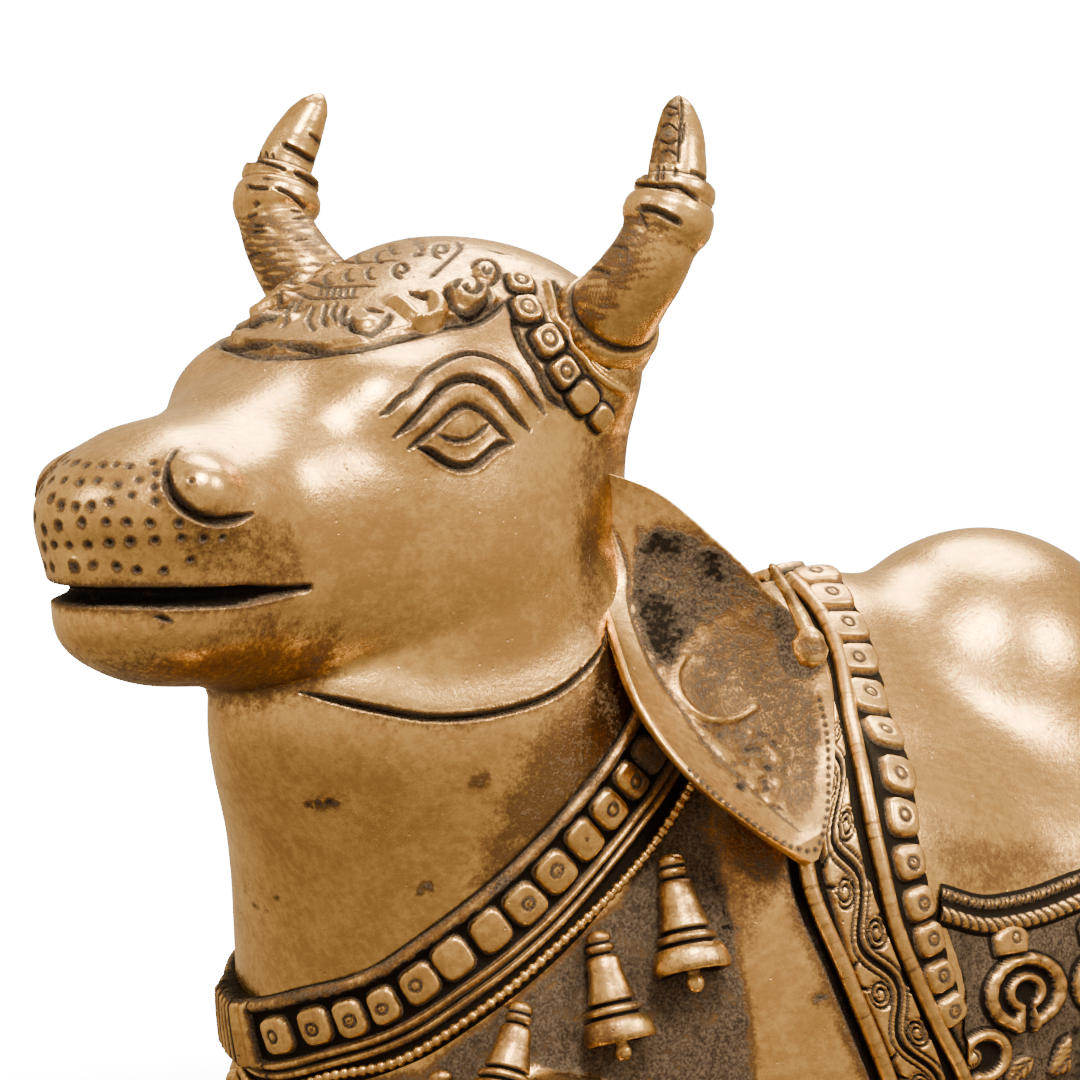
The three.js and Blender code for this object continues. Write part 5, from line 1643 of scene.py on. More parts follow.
@dataclass
class Head(Carved):
    """The head and neck: the face, the punched muzzle, the engraved crest and its row of plaques."""

    mouth: Knots = (
        (57.5, 20.6, -41.6), (63, 19, -41.9), (70.4, 17.4, -41.9), (79.6, 13.3, -41.8), (85.2, 6.2, -41.6),
        (86.6, 0, -41.6),
    )

    def prepare(self) -> None:
        """Traces the lines and marks where the mesh has to be fine."""
        strokes = [*EYE, *NOSTRIL, *HORN_ROOT]
        self.strokes = [(stroke, self.trace(stroke.seen, stroke.count)) for stroke in strokes]
        self.edge, self.slit, self.jaw = self.trace(CREST_EDGE, 40), self.trace(CREST_SLIT), self.trace(JAW, 40)
        lips = np.asarray(self.mouth, float)
        whole = through(np.concatenate([lips, mirrored(lips[-2::-1], -1)]), 60)
        self.lips = Path(self.local(self.skin.settle(HeadFrame.outward(whole))))
        brow, muzzle, crest, root = (
            self.trace(line)
            for line in (
                ((385, 420), (465, 410), (535, 420)), ((45, 540), (110, 520), (220, 520)),
                ((262, 325), (320, 290), (400, 280), (480, 285)), ((520, 280), (560, 340), (620, 400)),
            )
        )
        folded = Path(self.folded(muzzle.points))
        self.zones = [
            Zone(brow, 13, 0.48), Zone(folded, 11, 0.52), Zone(Path(self.folded(crest.points)), 11, 0.53), Zone(root, 8, 0.48),
            Zone(Path(self.folded(self.lips.points)), 3.2, 0.5), Zone(self.jaw, 1.6, 0.6),
        ]

    def local(self, points: Array) -> Array:
        """Points in the head's frame."""
        return HeadFrame.inward(points)

    def base_size(self, local: Array) -> Array:
        """Finer on the face than on the neck."""
        return np.where(local[:, 2] > -72, 1.5, 1.9)

    def carve(self, points: Array, local: Array, outwards: Array) -> tuple[Array, Array]:
        """Heights, and dirt with painted shade, for the points."""
        relief = Relief(self.folded(local), outwards * np.where(local[:, 1:2] < 0, (1, -1, 1), (1, 1, 1)))
        folded = HeadFrame.outward(relief.points)
        self._stains_and_shade(relief, folded)
        self._face(relief)
        self._crest(relief)
        relief.points, relief.outwards = local, outwards
        self._muzzle(relief)
        self._engraving(relief)
        for spot in NECK_PITS:
            relief.prick(self.spot(spot), 0.42, 0.3)
        for seen in NECK_CUTS:
            relief.cut(self.trace(seen, 8), 1.0, 0.6, 1.5)
        relief.height += 0.05 * ripple(local, 5.0, 3)
        return relief.height, relief.dirt

    def _face(self, relief: Relief) -> None:
        """The eye, the nostril and the cheek."""
        relief.ledge(self.jaw, 0.8, 8.0)
        relief.boss(self.spot(NOSTRIL_MIDDLE), 8.0, 1.1, 0.0)
        relief.boss(self.spot(EYEBALL), 4.5, 0.4, 0.0)
        for stroke, path in self.strokes[: len(EYE) + len(NOSTRIL)]:
            relief.stroke(stroke, path)
        relief.cut(self.jaw, 1.3, 1.1, 9.0)

    def _stains_and_shade(self, relief: Relief, points: Array) -> None:
        """Painted brown on head and neck: painted shade under the ear, along the jaw's fold and under the lips, and
        stains on the crest, round the horn's root and on the muzzle.
        """
        seen = self.sight.seen(points)
        rough = ripple(points, 12.0, 31) + 0.5 * ripple(points, 4.0, 32)
        for outline, amount, edge in STAINS_AND_SHADE:
            inside = smooth(depth_within(seen, outline) + 10 * rough, -edge, edge)
            relief.soil_and_shade(slice(None), inside * np.clip(amount + 0.08 * rough, 0, 1))

    def _crest(self, relief: Relief) -> None:
        """The crest's raised edge with its curls, the plaques and the rolls at the horn's root."""
        relief.ledge(self.edge, 1.1, 12.0)
        # A shallow groove below the crest's edge, with painted shade in it where the edge overhangs.
        relief.cut(self.trace([(x, y + 6) for x, y in CREST_EDGE], 40), 2.0, 0.5, 3.0)
        relief.cut(self.slit, 1.4, 1.0, 7.0)
        for stroke, path in self.strokes[len(EYE) + len(NOSTRIL) :]:
            relief.stroke(stroke, path)
        curl = [
            Stroke(((391, 300), (405, 312), (417, 326), (430, 326), (438, 315), (435, 303), (424, 295)), 3.0, 1.5, 2.0),
            Stroke(((410, 293), (418, 299), (427, 304)), 1.3, -1.2, 1.0),
            Stroke(((352, 318), (352, 334), (368, 340), (384, 332), (390, 318)), 1.4, -0.5, 1.0),
            Stroke(((366, 309), (374, 313), (384, 316)), 1.0, -0.8, 1.0),
            Stroke(((345, 306), (342, 318), (346, 330)), 1.2, -0.8, 1.0),
        ]
        relief.boss(self.spot(CURL), 4.1, 1.7, 0.55)
        relief.boss(self.spot(SWIRL), 2.4, 1.0, 0.4)
        relief.boss(self.spot(LEAF), 3.4, 1.3, 0.3)
        relief.boss(self.spot((335, 322)), 2.4, 0.9, 0.2)
        curl += [
            Stroke(around(CURL, 22, 190, -240, 0.9), 1.5, -0.9, 1.0),
            Stroke(around(CURL, 14, 170, 400, 0.25), 1.1, -1.1, 1.0),
            Stroke(around(SWIRL, 14, 200, 330, 0.9), 0.9, -0.8, 0.6),
            Stroke(around(SWIRL, 7, 200, 400, 0.3), 0.7, -0.5, 0.5),
        ]
        for stroke in curl:
            relief.stroke(stroke, self.trace(stroke.seen, 24))
        row = self.trace([tile.seen for tile in CREST_TILES], 30)
        for tile in CREST_TILES:
            relief.tile(self.spot(tile.seen), row, tile.half, tile.height, tile.ring)

    def _muzzle(self, relief: Relief) -> None:
        """The mouth and the rows of punched dots, which the far side mirrors where the near side's end."""
        relief.boss(mirrored([self.spot(NOSTRIL_MIDDLE)], -1)[0], 13.0, -1.7, 0.0)
        relief.boss(self.spot((60, 546)), 15.0, 0.9, 0.0)
        relief.cut(self.lips, 3.4, 3.2, 14.0, 0.0)
        at, near = self.lips.near(relief.points, relief.outwards, 2.4)
        open_mouth = smooth(np.minimum(near.along, self.lips.length - near.along), 3, 15)
        relief.soil_and_shade(at, smooth(-near.distance, -0.5 - 1.4 * open_mouth, -0.3 - 1.15 * open_mouth))
        seen = self.local(self.sight.meet(self.skin, MUZZLE_DOTS))
        far = mirrored(seen[seen[:, 1] > 2], -1)
        apart = np.linalg.norm(far[:, None] - seen[None], axis=2).min(axis=1)
        rng = np.random.default_rng(4)
        for dot in np.concatenate([seen, far[apart > 3.0]]):
            relief.prick(dot, rng.uniform(0.6, 0.76), 0.55)

    def _engraving(self, relief: Relief) -> None:
        """The feathers, scales and strands on the crest."""
        for seen in CREST_LINES:
            relief.cut(self.trace(seen, 12), 0.8, 0.4, 1.0)
        for centre in CREST_SCALES:
            relief.cut(self.trace(around(centre, 6.2, 50, 230, 0.9), 12), 0.75, 0.35, 0.6)
        for centre in ((401.4, 269.6), (441, 250)):
            relief.cut(self.trace(around(centre, 9, 90, 420, 0.25), 20), 0.9, 0.4, 0.6)
        for i in range(6):
            x = 320 + 6.6 * i
            relief.cut(self.trace(((x + 1, 288), (x - 1, 297)), 6), 0.7, 0.3, 0.5)
        for spot in ((343.4, 243.8), (417.5, 254.5), (256.8, 332), (250, 327)):
            relief.prick(self.spot(spot), 1.1, 0.5)

    def spot(self, seen: tuple[float, float]) -> Array:
        """The point of the head that a point of the picture shows."""
        return self.local(self.sight.meet(self.skin, [seen]))[0]


# The plaques down the front of the cloth, where the picture shows them.
PLAQUES_SEEN: Knots = (
    (835, 600), (850, 630), (860, 662), (873, 700), (885, 738), (898, 778), (903, 820), (910, 862), (920, 900),
    (930, 937), (943, 972), (952, 1005),
)
# The brushed shoulder's edge beside the bells, and the small cuts on it.
SHOULDER: Knots = ((690, 800), (715, 870), (735, 935), (745, 985))
# The outline of the dark ground behind the bells, and of the brown brushed strip beside it.
GROUND: Knots = (
    (318, 1092), (420, 1075), (520, 1000), (620, 900), (690, 770), (704, 800), (716, 850), (733, 920), (745, 985),
    (752, 1040), (756, 1100), (640, 1100), (600, 1078), (520, 1066), (470, 1084), (440, 1110), (330, 1130),
)
BRUSHED: Knots = ((686, 765), (700, 790), (775, 862), (778, 900), (748, 960), (742, 1010), (738, 1100), (700, 1100), (700, 860))
# The painted shade under the ear's tip, and the brown painted shade along the hump's foot.
UNDER_EAR: Knots = ((680, 770), (700, 775), (802, 868), (806, 905), (768, 890), (722, 868), (700, 830))
HUMP_FOOT: Knots = ((918, 790), (950, 818), (1010, 836), (1090, 826), (1090, 900), (940, 900), (920, 850))
SHOULDER_CUTS = (((809, 1001), (820, 998), (829, 997)), ((720, 925), (732, 930), (741, 926)), ((704, 862), (716, 885), (732, 935)))


@dataclass
class Body(Carved):
    """The trunk, the legs and the hump, with dark channels beside the harness and a rough ground behind the bells."""

    harness: Harness = field(default_factory=Harness)

    def prepare(self) -> None:
        """Lays the channels and the ground's middle."""
        h = self.harness
        self.channels = [Path(self.skin.settle(through(line, 60))) for line in (h.breast_cord, h.cloth_cord)]
        middle = np.asarray(h.bells, float) - (0, 0, 0.5 * h.bell_length)
        self.ground = Path(self.skin.settle(through(middle, 30)))
        self.shoulder = Path(self.skin.settle(through(self.sight.meet(self.skin, SHOULDER), 20)))
        self.zones = [
            *(Zone(path, 4.4, 0.75) for path in self.channels),
            Zone(self.ground, 15.0, 0.95),
            Zone(self.shoulder, 9.0, 1.0),
        ]

    def local(self, points: Array) -> Array:
        """Points in the figure's frame."""
        return points.copy()

    def base_size(self, local: Array) -> Array:
        """Finer in front than behind, and finest on the hooves."""
        x, y, z = local.T
        hoof = (z < 14) & (((x > 84) & (y > 30)) | ((np.abs(x + 48) < 14) & (y > 48)))
        return np.where(hoof, 1.3, np.where(x > -10, 2.2, 2.8))

    def carve(self, points: Array, local: Array, outwards: Array) -> tuple[Array, Array]:
        """Heights, and dirt with painted shade, for the points."""
        relief = Relief(self.folded(local), outwards * np.where(local[:, 1:2] < 0, (1, -1, 1), (1, 1, 1)))
        for path in self.channels:
            relief.cut(path, 6.4, 0.9, 1.0, 0.0)
            at, near = path.near(relief.points, relief.outwards, 4.2)
            relief.soil_and_shade(at, smooth(-near.distance, -3.5, -2.7))
        self._ground(relief)
        self._hump_foot(relief)
        for seen in SHOULDER_CUTS:
            relief.cut(self.trace(seen, 8), 0.9, 0.4, 1.5)
        x, y, z = relief.points.T
        # Painted shade where the skin meets the base and on the undersides.
        painted_floor_shade = smooth(-z, -3.0, -0.5)
        painted_shade_below = smooth(-relief.outwards[:, 2], 0.35, 0.8) * 0.5
        relief.soil_and_shade(slice(None), np.maximum(painted_floor_shade * 0.45, painted_shade_below))
        relief.height += 0.06 * ripple(local, 7.0, 6)
        return relief.height, relief.dirt

    def _hump_foot(self, relief: Relief) -> None:
        """The brown streaky shade painted along the hump's foot."""
        at = np.flatnonzero((relief.points[:, 2] > 70) & (relief.points[:, 0] < 12) & (relief.points[:, 0] > -60))
        p = relief.points[at]
        streak = ripple(p * (0.3, 0.3, 1.6), 3.0, 25, 24)
        shade = smooth(depth_within(self.sight.seen(p), HUMP_FOOT) + 14 * streak, -16, 30)
        relief.soil_and_shade(at, shade * np.clip(0.36 + 0.14 * streak, 0, 1))

    def _ground(self, relief: Relief) -> None:
        """The rough dusty ground behind the bells, which runs into the brushed brown shoulder."""
        p = relief.points
        chest = (p[:, 0] > 15) & (p[:, 2] < 112) & (p[:, 2] > 12)
        at = np.flatnonzero(chest)
        p = p[at]
        seen = self.sight.seen(p)
        rough = ripple(p, 6.0, 21)
        inside = smooth(depth_within(seen, GROUND) + 8 * rough, -14, 8)
        beside = smooth(depth_within(seen, BRUSHED) + 8 * ripple(p * (2.0, 2.0, 0.5), 4.0, 24), -12, 14)
        grain = ripple(p, 1.3, 22, 24)
        relief.height[at] += inside * (0.18 * grain - 0.35)
        relief.soil_and_shade(at, inside * np.clip(0.68 + 0.12 * grain + 0.12 * ripple(p, 3.0, 23), 0, 1))
        relief.soil_and_shade(at, beside * np.clip(0.30 + 0.16 * rough, 0, 1))
        # Painted shade under the ear's tip.
        painted_shade_below = smooth(depth_within(seen, UNDER_EAR) + 6 * rough, -12, 12)
        relief.soil_and_shade(at, painted_shade_below * np.clip(0.50 + 0.12 * rough, 0, 1))


@dataclass
class Saddle:
    """The saddle cloth, with its cords, its scroll band, its plaques and the rope round the hump."""

    skin: Skin
    harness: Harness
    sight: Sight
    ring_pitch: float = 19.5
    first_ring: float = -9.5
    ring_height: float = 62.3
    ring_stretch: float = 1.33
    plaque_shift: float = 0.9

    def build(self, caster: Caster) -> None:
        """Casts everything on both sides."""
        for side, name in ((1, "left"), (-1, "right")):
            self._cord(caster, f"breast_cord_{name}", self.harness.breast_cord, side, 1.4, 0.2, 31)
            self._cord(caster, f"cloth_cord_{name}", self.harness.cloth_cord, side, 1.35, 0.35, 32)
            self._cord(caster, f"hem_{name}", self.harness.hem, side, 1.6, 0.2, 33)
            self._cord(caster, f"rear_hem_{name}", self.harness.rear_hem, side, 1.5, 0.2, 34)
            self._scroll(caster, name, side)
            self._plaques(caster, name, side)
            self._rope(caster, name, side)
            self._cloth(caster, name, side)

    def _cord(
        self, caster: Caster, name: str, line: Knots, side: int, radius: float, uneven: float, seed: int
    ) -> None:
        """A cast cord with fine ticks across it."""
        knots = mirrored(line, side)
        count = int(Path(through(knots, 60)).length / 0.4)
        path = self.skin.settle(through(knots, count), 0.45 * radius)
        run = Path(path).run
        tick = np.clip(1 - np.abs((run + 0.5 * np.sin(run * 0.7)) % 2.3 - 1.15) / 0.32, 0, 1)
        lump = 1 + uneven * 0.5 * ripple(path, 3.2, seed)
        ends = np.clip(np.minimum(run, run[-1] - run) / 1.2, 0.25, 1)
        layers = {"thick": (lump - 0.05 * tick) * ends, "dirt": 0.4 * tick * np.clip(0.6 + ripple(path, 4.0, seed), 0, 1)}
        edges = np.stack([np.arange(count), np.arange(count) + 1], 1)
        tree = GeometryTree(name, {"Radius": radius * MM, "Material": caster.materials[Finish.WORN]})
        curve = tree.node("GeometryNodeMeshToCurve", {}, {0: tree.inputs["Geometry"]})[0]
        thick = tree.node("GeometryNodeInputNamedAttribute", {"data_type": "FLOAT"}, {"Name": "thick"})[0]
        swelled = tree.node("GeometryNodeSetCurveRadius", {}, {"Curve": curve, "Radius": thick})[0]
        ring = tree.node("GeometryNodeCurvePrimitiveCircle", {}, {"Resolution": 16, "Radius": tree.inputs["Radius"]})[0]
        ends_closed = {"Curve": swelled, "Profile Curve": ring, "Fill Caps": True}
        tube = tree.node("GeometryNodeCurveToMesh", {}, ends_closed)[0]
        tree.finish(tube)
        caster.add(tree.run(caster.mesh(name, path, edges, layers)), Finish.WORN)

    def _scroll(self, caster: Caster, name: str, side: int) -> None:
        """The band of running vine between the cords."""
        h = self.harness
        lines = [through(mirrored(line, side), 80) for line in (h.breast_cord, h.cloth_cord)]
        first, second = lines if side > 0 else lines[::-1]
        rows = int(Path(first).length / (0.3 if side > 0 else 0.55))
        grid = [through(first * (1 - t) + second * t, rows) for t in np.linspace(0.08, 0.92, 34 if side > 0 else 22)]
        sheet = Sheet(self.skin, np.stack(grid, axis=1))
        height, dirt = Pattern.scroll(sheet.u, sheet.w * (1 if side > 0 else -1))
        edge = smooth(np.abs(sheet.w * (1 if side > 0 else -1) + 0.4), 3.8, 4.3)
        height = height * (1 - edge) - 0.5 * edge
        dirt = np.maximum(dirt, edge)
        height += 0.05 * ripple(sheet.grid.reshape(-1, 3), 2.0, 41).reshape(height.shape)
        points, faces, layers = sheet.cast(height + 0.35, dirt)
        caster.add(caster.mesh(f"scroll_band_{name}", points, faces, layers), Finish.WORN)

    def _plaques(self, caster: Caster, name: str, side: int) -> None:
        """The row of plaques down the front of the cloth, in its dark scalloped groove."""
        way = 1 if side > 0 else -1
        near = Sheet.strip(self.skin, mirrored(self.harness.plaques, 1), (-5.2, 5.2), 0.36)
        seen = near.places(self.sight.meet(self.skin, PLAQUES_SEEN))
        sheet = near if side > 0 else Sheet.strip(self.skin, mirrored(self.harness.plaques, -1), (-5.2, 5.2), 0.55)
        u, w = sheet.u, sheet.w * way + self.plaque_shift
        start = np.arange(seen[0] - 6.6, 0, -6.6)[::-1]
        centres = np.concatenate([start, seen])
        half = 3.95 - 1.2 * smooth(u, 20, 90)
        height, dirt = Pattern.plaques(u, w, centres, half, 17)
        scallop = 0.3 * np.cos(2 * math.pi * np.interp(u, centres, np.arange(len(centres))))
        groove = np.abs(w - half - 0.75 + scallop)
        height = np.maximum(height, 0) - 0.8 * np.clip(1 - groove / 0.9, 0, 1)
        height -= 2.5 * np.maximum(smooth(w - half - 0.75 + scallop, 0.3, 1.2), smooth(u, seen[-1] + 3.2, seen[-1] + 3.8))
        dirt = np.maximum(dirt, np.clip(1.4 - groove / 0.8, 0, 1))
        height += 0.05 * ripple(sheet.grid.reshape(-1, 3), 2.0, 42).reshape(height.shape)
        points, faces, layers = sheet.cast(height + 0.4, dirt)
        caster.add(caster.mesh(f"cloth_plaques_{name}", points, faces, layers), Finish.WORN)

    def _rope(self, caster: Caster, name: str, side: int) -> None:
        """The granular line and the twisted rope that run round the hump."""
        sheet = Sheet.strip(self.skin, mirrored(self.harness.hump_rope, side), (-3.6, 3.4), 0.3 if side > 0 else 0.5)
        u, w = sheet.u, sheet.w * (1 if side > 0 else -1)
        grains = 0.5 + 0.5 * np.sin(2 * math.pi * u / 1.05 + 1.3 * np.sin(u * 1.7)) * np.cos(w * 2.6 + u)
        line = dome((w - 1.75) / 1.0) ** 0.6
        height = 0.1 + 0.8 * line * (0.6 + 0.4 * grains)
        dirt = 1 - line * smooth(grains, 0.1, 0.5) * 0.85
        rise, wiped = Pattern.rope(u, w, -1.7, 1.35, 1.9, 1.5)
        height += rise
        dirt *= 1 - wiped * 0.95
        points, faces, layers = sheet.cast(height + 0.3, dirt)
        caster.add(caster.mesh(f"hump_rope_{name}", points, faces, layers), Finish.WORN)

    def _cloth(self, caster: Caster, name: str, side: int) -> None:
        """The cloth's dark rough ground with its rings, studs and leaves."""
        h = self.harness
        step = 0.38 if side > 0 else 0.62
        rope, hem, rear, front = (
            np.asarray(line, float)
            for line in (h.hump_rope, h.hem, h.rear_hem, [(9, 48.4, 79), (4, 50.5, 66), (4.4, 50.4, 58), (3.6, 50.1, 50), (-3.5, 50, 35)])
        )
        columns = int(Path(rope).length / step)
        top = through(np.concatenate([rope, rear[-1:]]), columns)
        foot = through(np.concatenate([front[-1:], hem[1:]]), columns)
        down, back = through(front, int(46 / step)), through(rear[::-1], int(46 / step))
        edges = [mirrored(edge, side) for edge in (top, foot, down, back)]
        sheet = Sheet.patch(self.skin, *edges)
        x, z = sheet.grid[..., 0], sheet.grid[..., 2]
        flat = sheet.grid.reshape(-1, 3)
        grain = ripple(flat, 0.9, 51, 26).reshape(x.shape)
        height = 0.12 * grain
        dirt = np.clip(0.70 + 0.12 * grain + 0.10 * ripple(flat, 5.0, 52).reshape(x.shape), 0, 1)
        for stamp in self._stamps(x, z, height, dirt):
            height, dirt = stamp
        points, faces, layers = sheet.cast(height + 0.35, dirt)
        caster.add(caster.mesh(f"saddle_cloth_{name}", points, faces, layers), Finish.WORN)

    def _stamps(self, x: Array, z: Array, height: Array, dirt: Array) -> Iterable[tuple[Array, Array]]:
        """The cloth with each row of ornament added in turn."""
        number = np.clip(np.round((self.first_ring - x) / self.ring_pitch), 0, 3)
        # The rings were modelled wider than high, so that a runs slower than x.
        a, b = (x - (self.first_ring - number * self.ring_pitch)) / self.ring_stretch, z - self.ring_height
        stamps = (
            self._horseshoe(a, b),
            self._stud(a - 2.2, b - 8.9),
            self._curl((x - self.first_ring) / self.ring_stretch - 6.8, b + 9.8),
            self._leaf(a + 7.9, b + 11.0, 5.4, 2.7),
            self._leaf(a - 0.9, b + 12.6, 3.2, 1.8),
        )
        for rise, soil_and_shade, mask in stamps:
            height = height * (1 - mask) + rise * mask
            dirt = dirt * (1 - mask) + soil_and_shade * mask
            yield height, dirt

    @staticmethod
    def _horseshoe(a: Array, b: Array) -> tuple[Array, Array, Array]:
        """An open double ring, the outer one beaded, whose ends meet below and close in points."""
        r, angle = np.hypot(a, b * 1.08), np.abs(np.arctan2(a, -b))
        bead = 0.5 + 0.5 * np.cos(angle * 15)
        closing = 1 - smooth(angle, 0.32, 0.55)
        reach = 6.75 + 0.8 * np.clip(1 - np.abs(angle - 0.2) / 0.25, 0, 1)
        outer = dome((r - 5.8) / 1.12) ** 0.3 * (0.92 + 0.08 * bead)
        inner = dome((r - 2.65) / 0.85) ** 0.5
        solid = smooth(r, 1.8, 2.2) * (1 - smooth(r, reach - 0.4, reach)) * closing
        slit = (b < 0) * (1 - smooth(np.abs(a + 0.25), 0.55, 0.95)) * smooth(r, 0.8, 1.8)
        rise = np.maximum.reduce([outer * 1.7, inner * 1.5, solid * 1.6]) * (1 - slit)
        on = smooth(rise, 0.55, 1.1)
        mask = np.maximum(1 - smooth(r, 7.1, 7.7), closing * (1 - smooth(r, reach, reach + 0.6)))
        return rise, 1 - on + 0.22 * on * (1 - bead) * (outer > 0.2), mask

    @staticmethod
    def _stud(a: Array, b: Array) -> tuple[Array, Array, Array]:
        """A stud with a round top and a flat foot, and a punched hook in it."""
        q = np.where(b > 0, np.hypot(a / 2.9, b / 2.3), np.maximum(np.abs(a) / (2.9 + 0.15 * b), -b / 2.5))
        hook = np.abs(np.hypot((a + 0.4) / 0.75, b - 0.2) - 0.85)
        mark = np.clip(1 - hook / 0.35, 0, 1) * (b > -0.6)
        rise = 1.6 * (1 - smooth(q, 0.82, 1.04)) + 0.25 * dome(q) - 0.4 * mark
        return rise, np.maximum(smooth(q, 0.88, 1.05), mark * 0.9), 1 - smooth(q, 1.1, 1.3)

    @staticmethod
    def _curl(a: Array, b: Array) -> tuple[Array, Array, Array]:
        """The curled tendril at the cloth's front corner: an open ring that ends in a ringed bead."""
        r, angle = np.hypot(a, b), np.degrees(np.arctan2(b, -a)) % 360
        band = dome((r - 3.6) / 1.1) ** 0.5 * smooth(np.abs(angle - 218), 18, 30)
        ring = np.hypot(a - 2.3, b)
        ball = dome(ring / 2.1) ** 0.5 * (1 - 0.6 * np.clip(1 - np.abs(ring - 1.05) / 0.35, 0, 1))
        rise = 1.5 * np.maximum(band, ball)
        return rise, 1 - smooth(rise, 0.55, 1.0), 1 - smooth(r, 4.8, 5.2)

    @staticmethod
    def _leaf(a: Array, b: Array, long: float, wide: float) -> tuple[Array, Array, Array]:
        """A pointed leaf that leans forward, with veins from its rib."""
        along, aside = (a * 0.72 - b * 0.69), (a * 0.69 + b * 0.72)
        shape = np.abs(aside) / (wide * np.clip(1 - (along / long) ** 2, 0.01, 1)) + 0.2 * np.abs(along / long)
        veins = np.abs(np.sin((along * 1.1 - np.abs(aside) * 1.4) * 1.9))
        rib = np.clip(1 - np.abs(aside) / 0.35, 0, 1)
        leaf = (1 - smooth(shape, 0.85, 1.08)) * (np.abs(along) < long)
        rise = leaf * (1.4 - 0.3 * (1 - veins) - 0.35 * rib)
        soil_and_shade = 1 - leaf + leaf * np.maximum((1 - veins) ** 2 * 0.8, rib * 0.8)
        return rise, soil_and_shade, (1 - smooth(shape, 1.1, 1.35)) * (np.abs(along) < long + 0.6)


def picture_path(seen: Knots, count: int = 30, closed: bool = False) -> Path:
    """A path in the plane of the picture."""
    line = through(seen, count, closed)
    if closed:
        line = np.concatenate([line, line[:1]])
    return Path(np.column_stack([line, np.zeros(len(line))]))


def picture_relief(seen: Array, hidden: Array) -> Relief:
    """Relief over points as the picture shows them; it leaves out the hidden ones."""
    flat = seen.reshape(-1, 3) + np.outer(hidden.ravel() * 1e5, (0, 0, 1))
    return Relief(flat, np.tile((0.0, 0.0, 1.0), (len(flat), 1)), 6.0)


def depth_within(points: Array, outline: Knots) -> Array:
    """How far inside an outline of the picture points lie; negative outside."""
    corners = np.asarray(outline, float)
    inside = np.zeros(len(points), bool)
    far = np.full(len(points), np.inf)
    x, y = points[:, 0], points[:, 1]
    for a, b in zip(corners, np.roll(corners, -1, axis=0)):
        d = b - a
        t = np.clip(((x - a[0]) * d[0] + (y - a[1]) * d[1]) / (d @ d), 0, 1)
        far = np.minimum(far, np.hypot(x - a[0] - t * d[0], y - a[1] - t * d[1]))
        if d[1]:
            inside ^= ((a[1] > y) != (b[1] > y)) & (x < a[0] + (y - a[1]) * d[0] / d[1])
    return np.where(inside, far, -far)


NEAR_HORN_STROKES = (
    Stroke(((638, 209), (650, 209), (661, 213), (672, 219), (681, 224)), 8.0, -0.9, 3.0),
    Stroke(((634, 184), (648, 185), (661, 187), (679, 187), (688, 193), (699, 201)), 4.5, -0.8, 5.0),
    Stroke(((640, 170), (639, 178)), 3.0, -0.5), Stroke(((648, 166), (646, 179)), 3.5, -0.5),
    Stroke(((658, 165), (657, 180)), 3.0, -0.5), Stroke(((664, 166), (662, 180)), 2.5, -0.4),
    Stroke(((676, 168), (675, 177)), 4.0, -0.6), Stroke(((690, 172), (700, 176), (707, 182)), 4.0, -0.6),
    Stroke(((681, 97), (682, 113), (679, 136), (678, 161)), 3.4, -0.8, 4.0),
    Stroke(((660, 110), (666, 106), (678, 108)), 2.6, -0.6), Stroke(((658, 127), (667, 123), (678, 129)), 2.6, -0.6),
    Stroke(((657, 139), (666, 142), (677, 138)), 2.8, -0.7), Stroke(((657, 152), (667, 149), (676, 154)), 2.6, -0.6),
    Stroke(((685, 122), (683, 134), (681, 144)), 3.0, -0.4), Stroke(((664, 114), (672, 113), (679, 111)), 3.5, -0.5),
    Stroke(((590, 268), (600, 270), (611, 275)), 4.0, -0.4), Stroke(((612, 246), (620, 247), (628, 250)), 4.0, -0.3),
    Stroke(((640, 212), (644, 222), (648, 229)), 3.0, -0.4), Stroke(((664, 96), (660, 108)), 3.0, -0.3),
)
FAR_HORN_STROKES = (
    Stroke(((245, 160), (258, 161), (272, 165), (286, 170)), 4.0, -0.7),
    Stroke(((294, 172), (306, 178), (318, 186), (326, 193)), 6.0, -0.9, 3.0),
    Stroke(((276, 188), (286, 192), (296, 199), (306, 209)), 4.5, -0.8),
    Stroke(((246, 186), (256, 188), (268, 188)), 4.0, -0.7),
    Stroke(((252, 152), (253, 157)), 3.5, -0.6), Stroke(((258, 151), (260, 157)), 3.5, -0.6),
    Stroke(((265, 151), (267, 158)), 3.5, -0.6), Stroke(((272, 153), (273, 159)), 3.0, -0.6),
    Stroke(((282, 144), (292, 149), (303, 155), (315, 163)), 6.5, -0.9, 3.0),
    Stroke(((309, 134), (316, 139), (320, 144)), 4.0, -0.5), Stroke(((262, 178), (272, 179)), 3.0, -0.4),
    Stroke(((252, 226), (264, 226)), 4.0, -0.4), Stroke(((251, 233), (264, 231)), 4.0, -0.4),
    Stroke(((248, 218), (257, 213)), 2.5, -0.3), Stroke(((248, 257), (262, 252)), 2.5, -0.3),
    Stroke(((290, 210), (302, 212)), 2.5, -0.3), Stroke(((292, 219), (306, 217)), 3.0, -0.3),
    Stroke(((296, 241), (308, 238)), 3.0, -0.3), Stroke(((258, 201), (256, 207)), 4.0, -0.5),
)


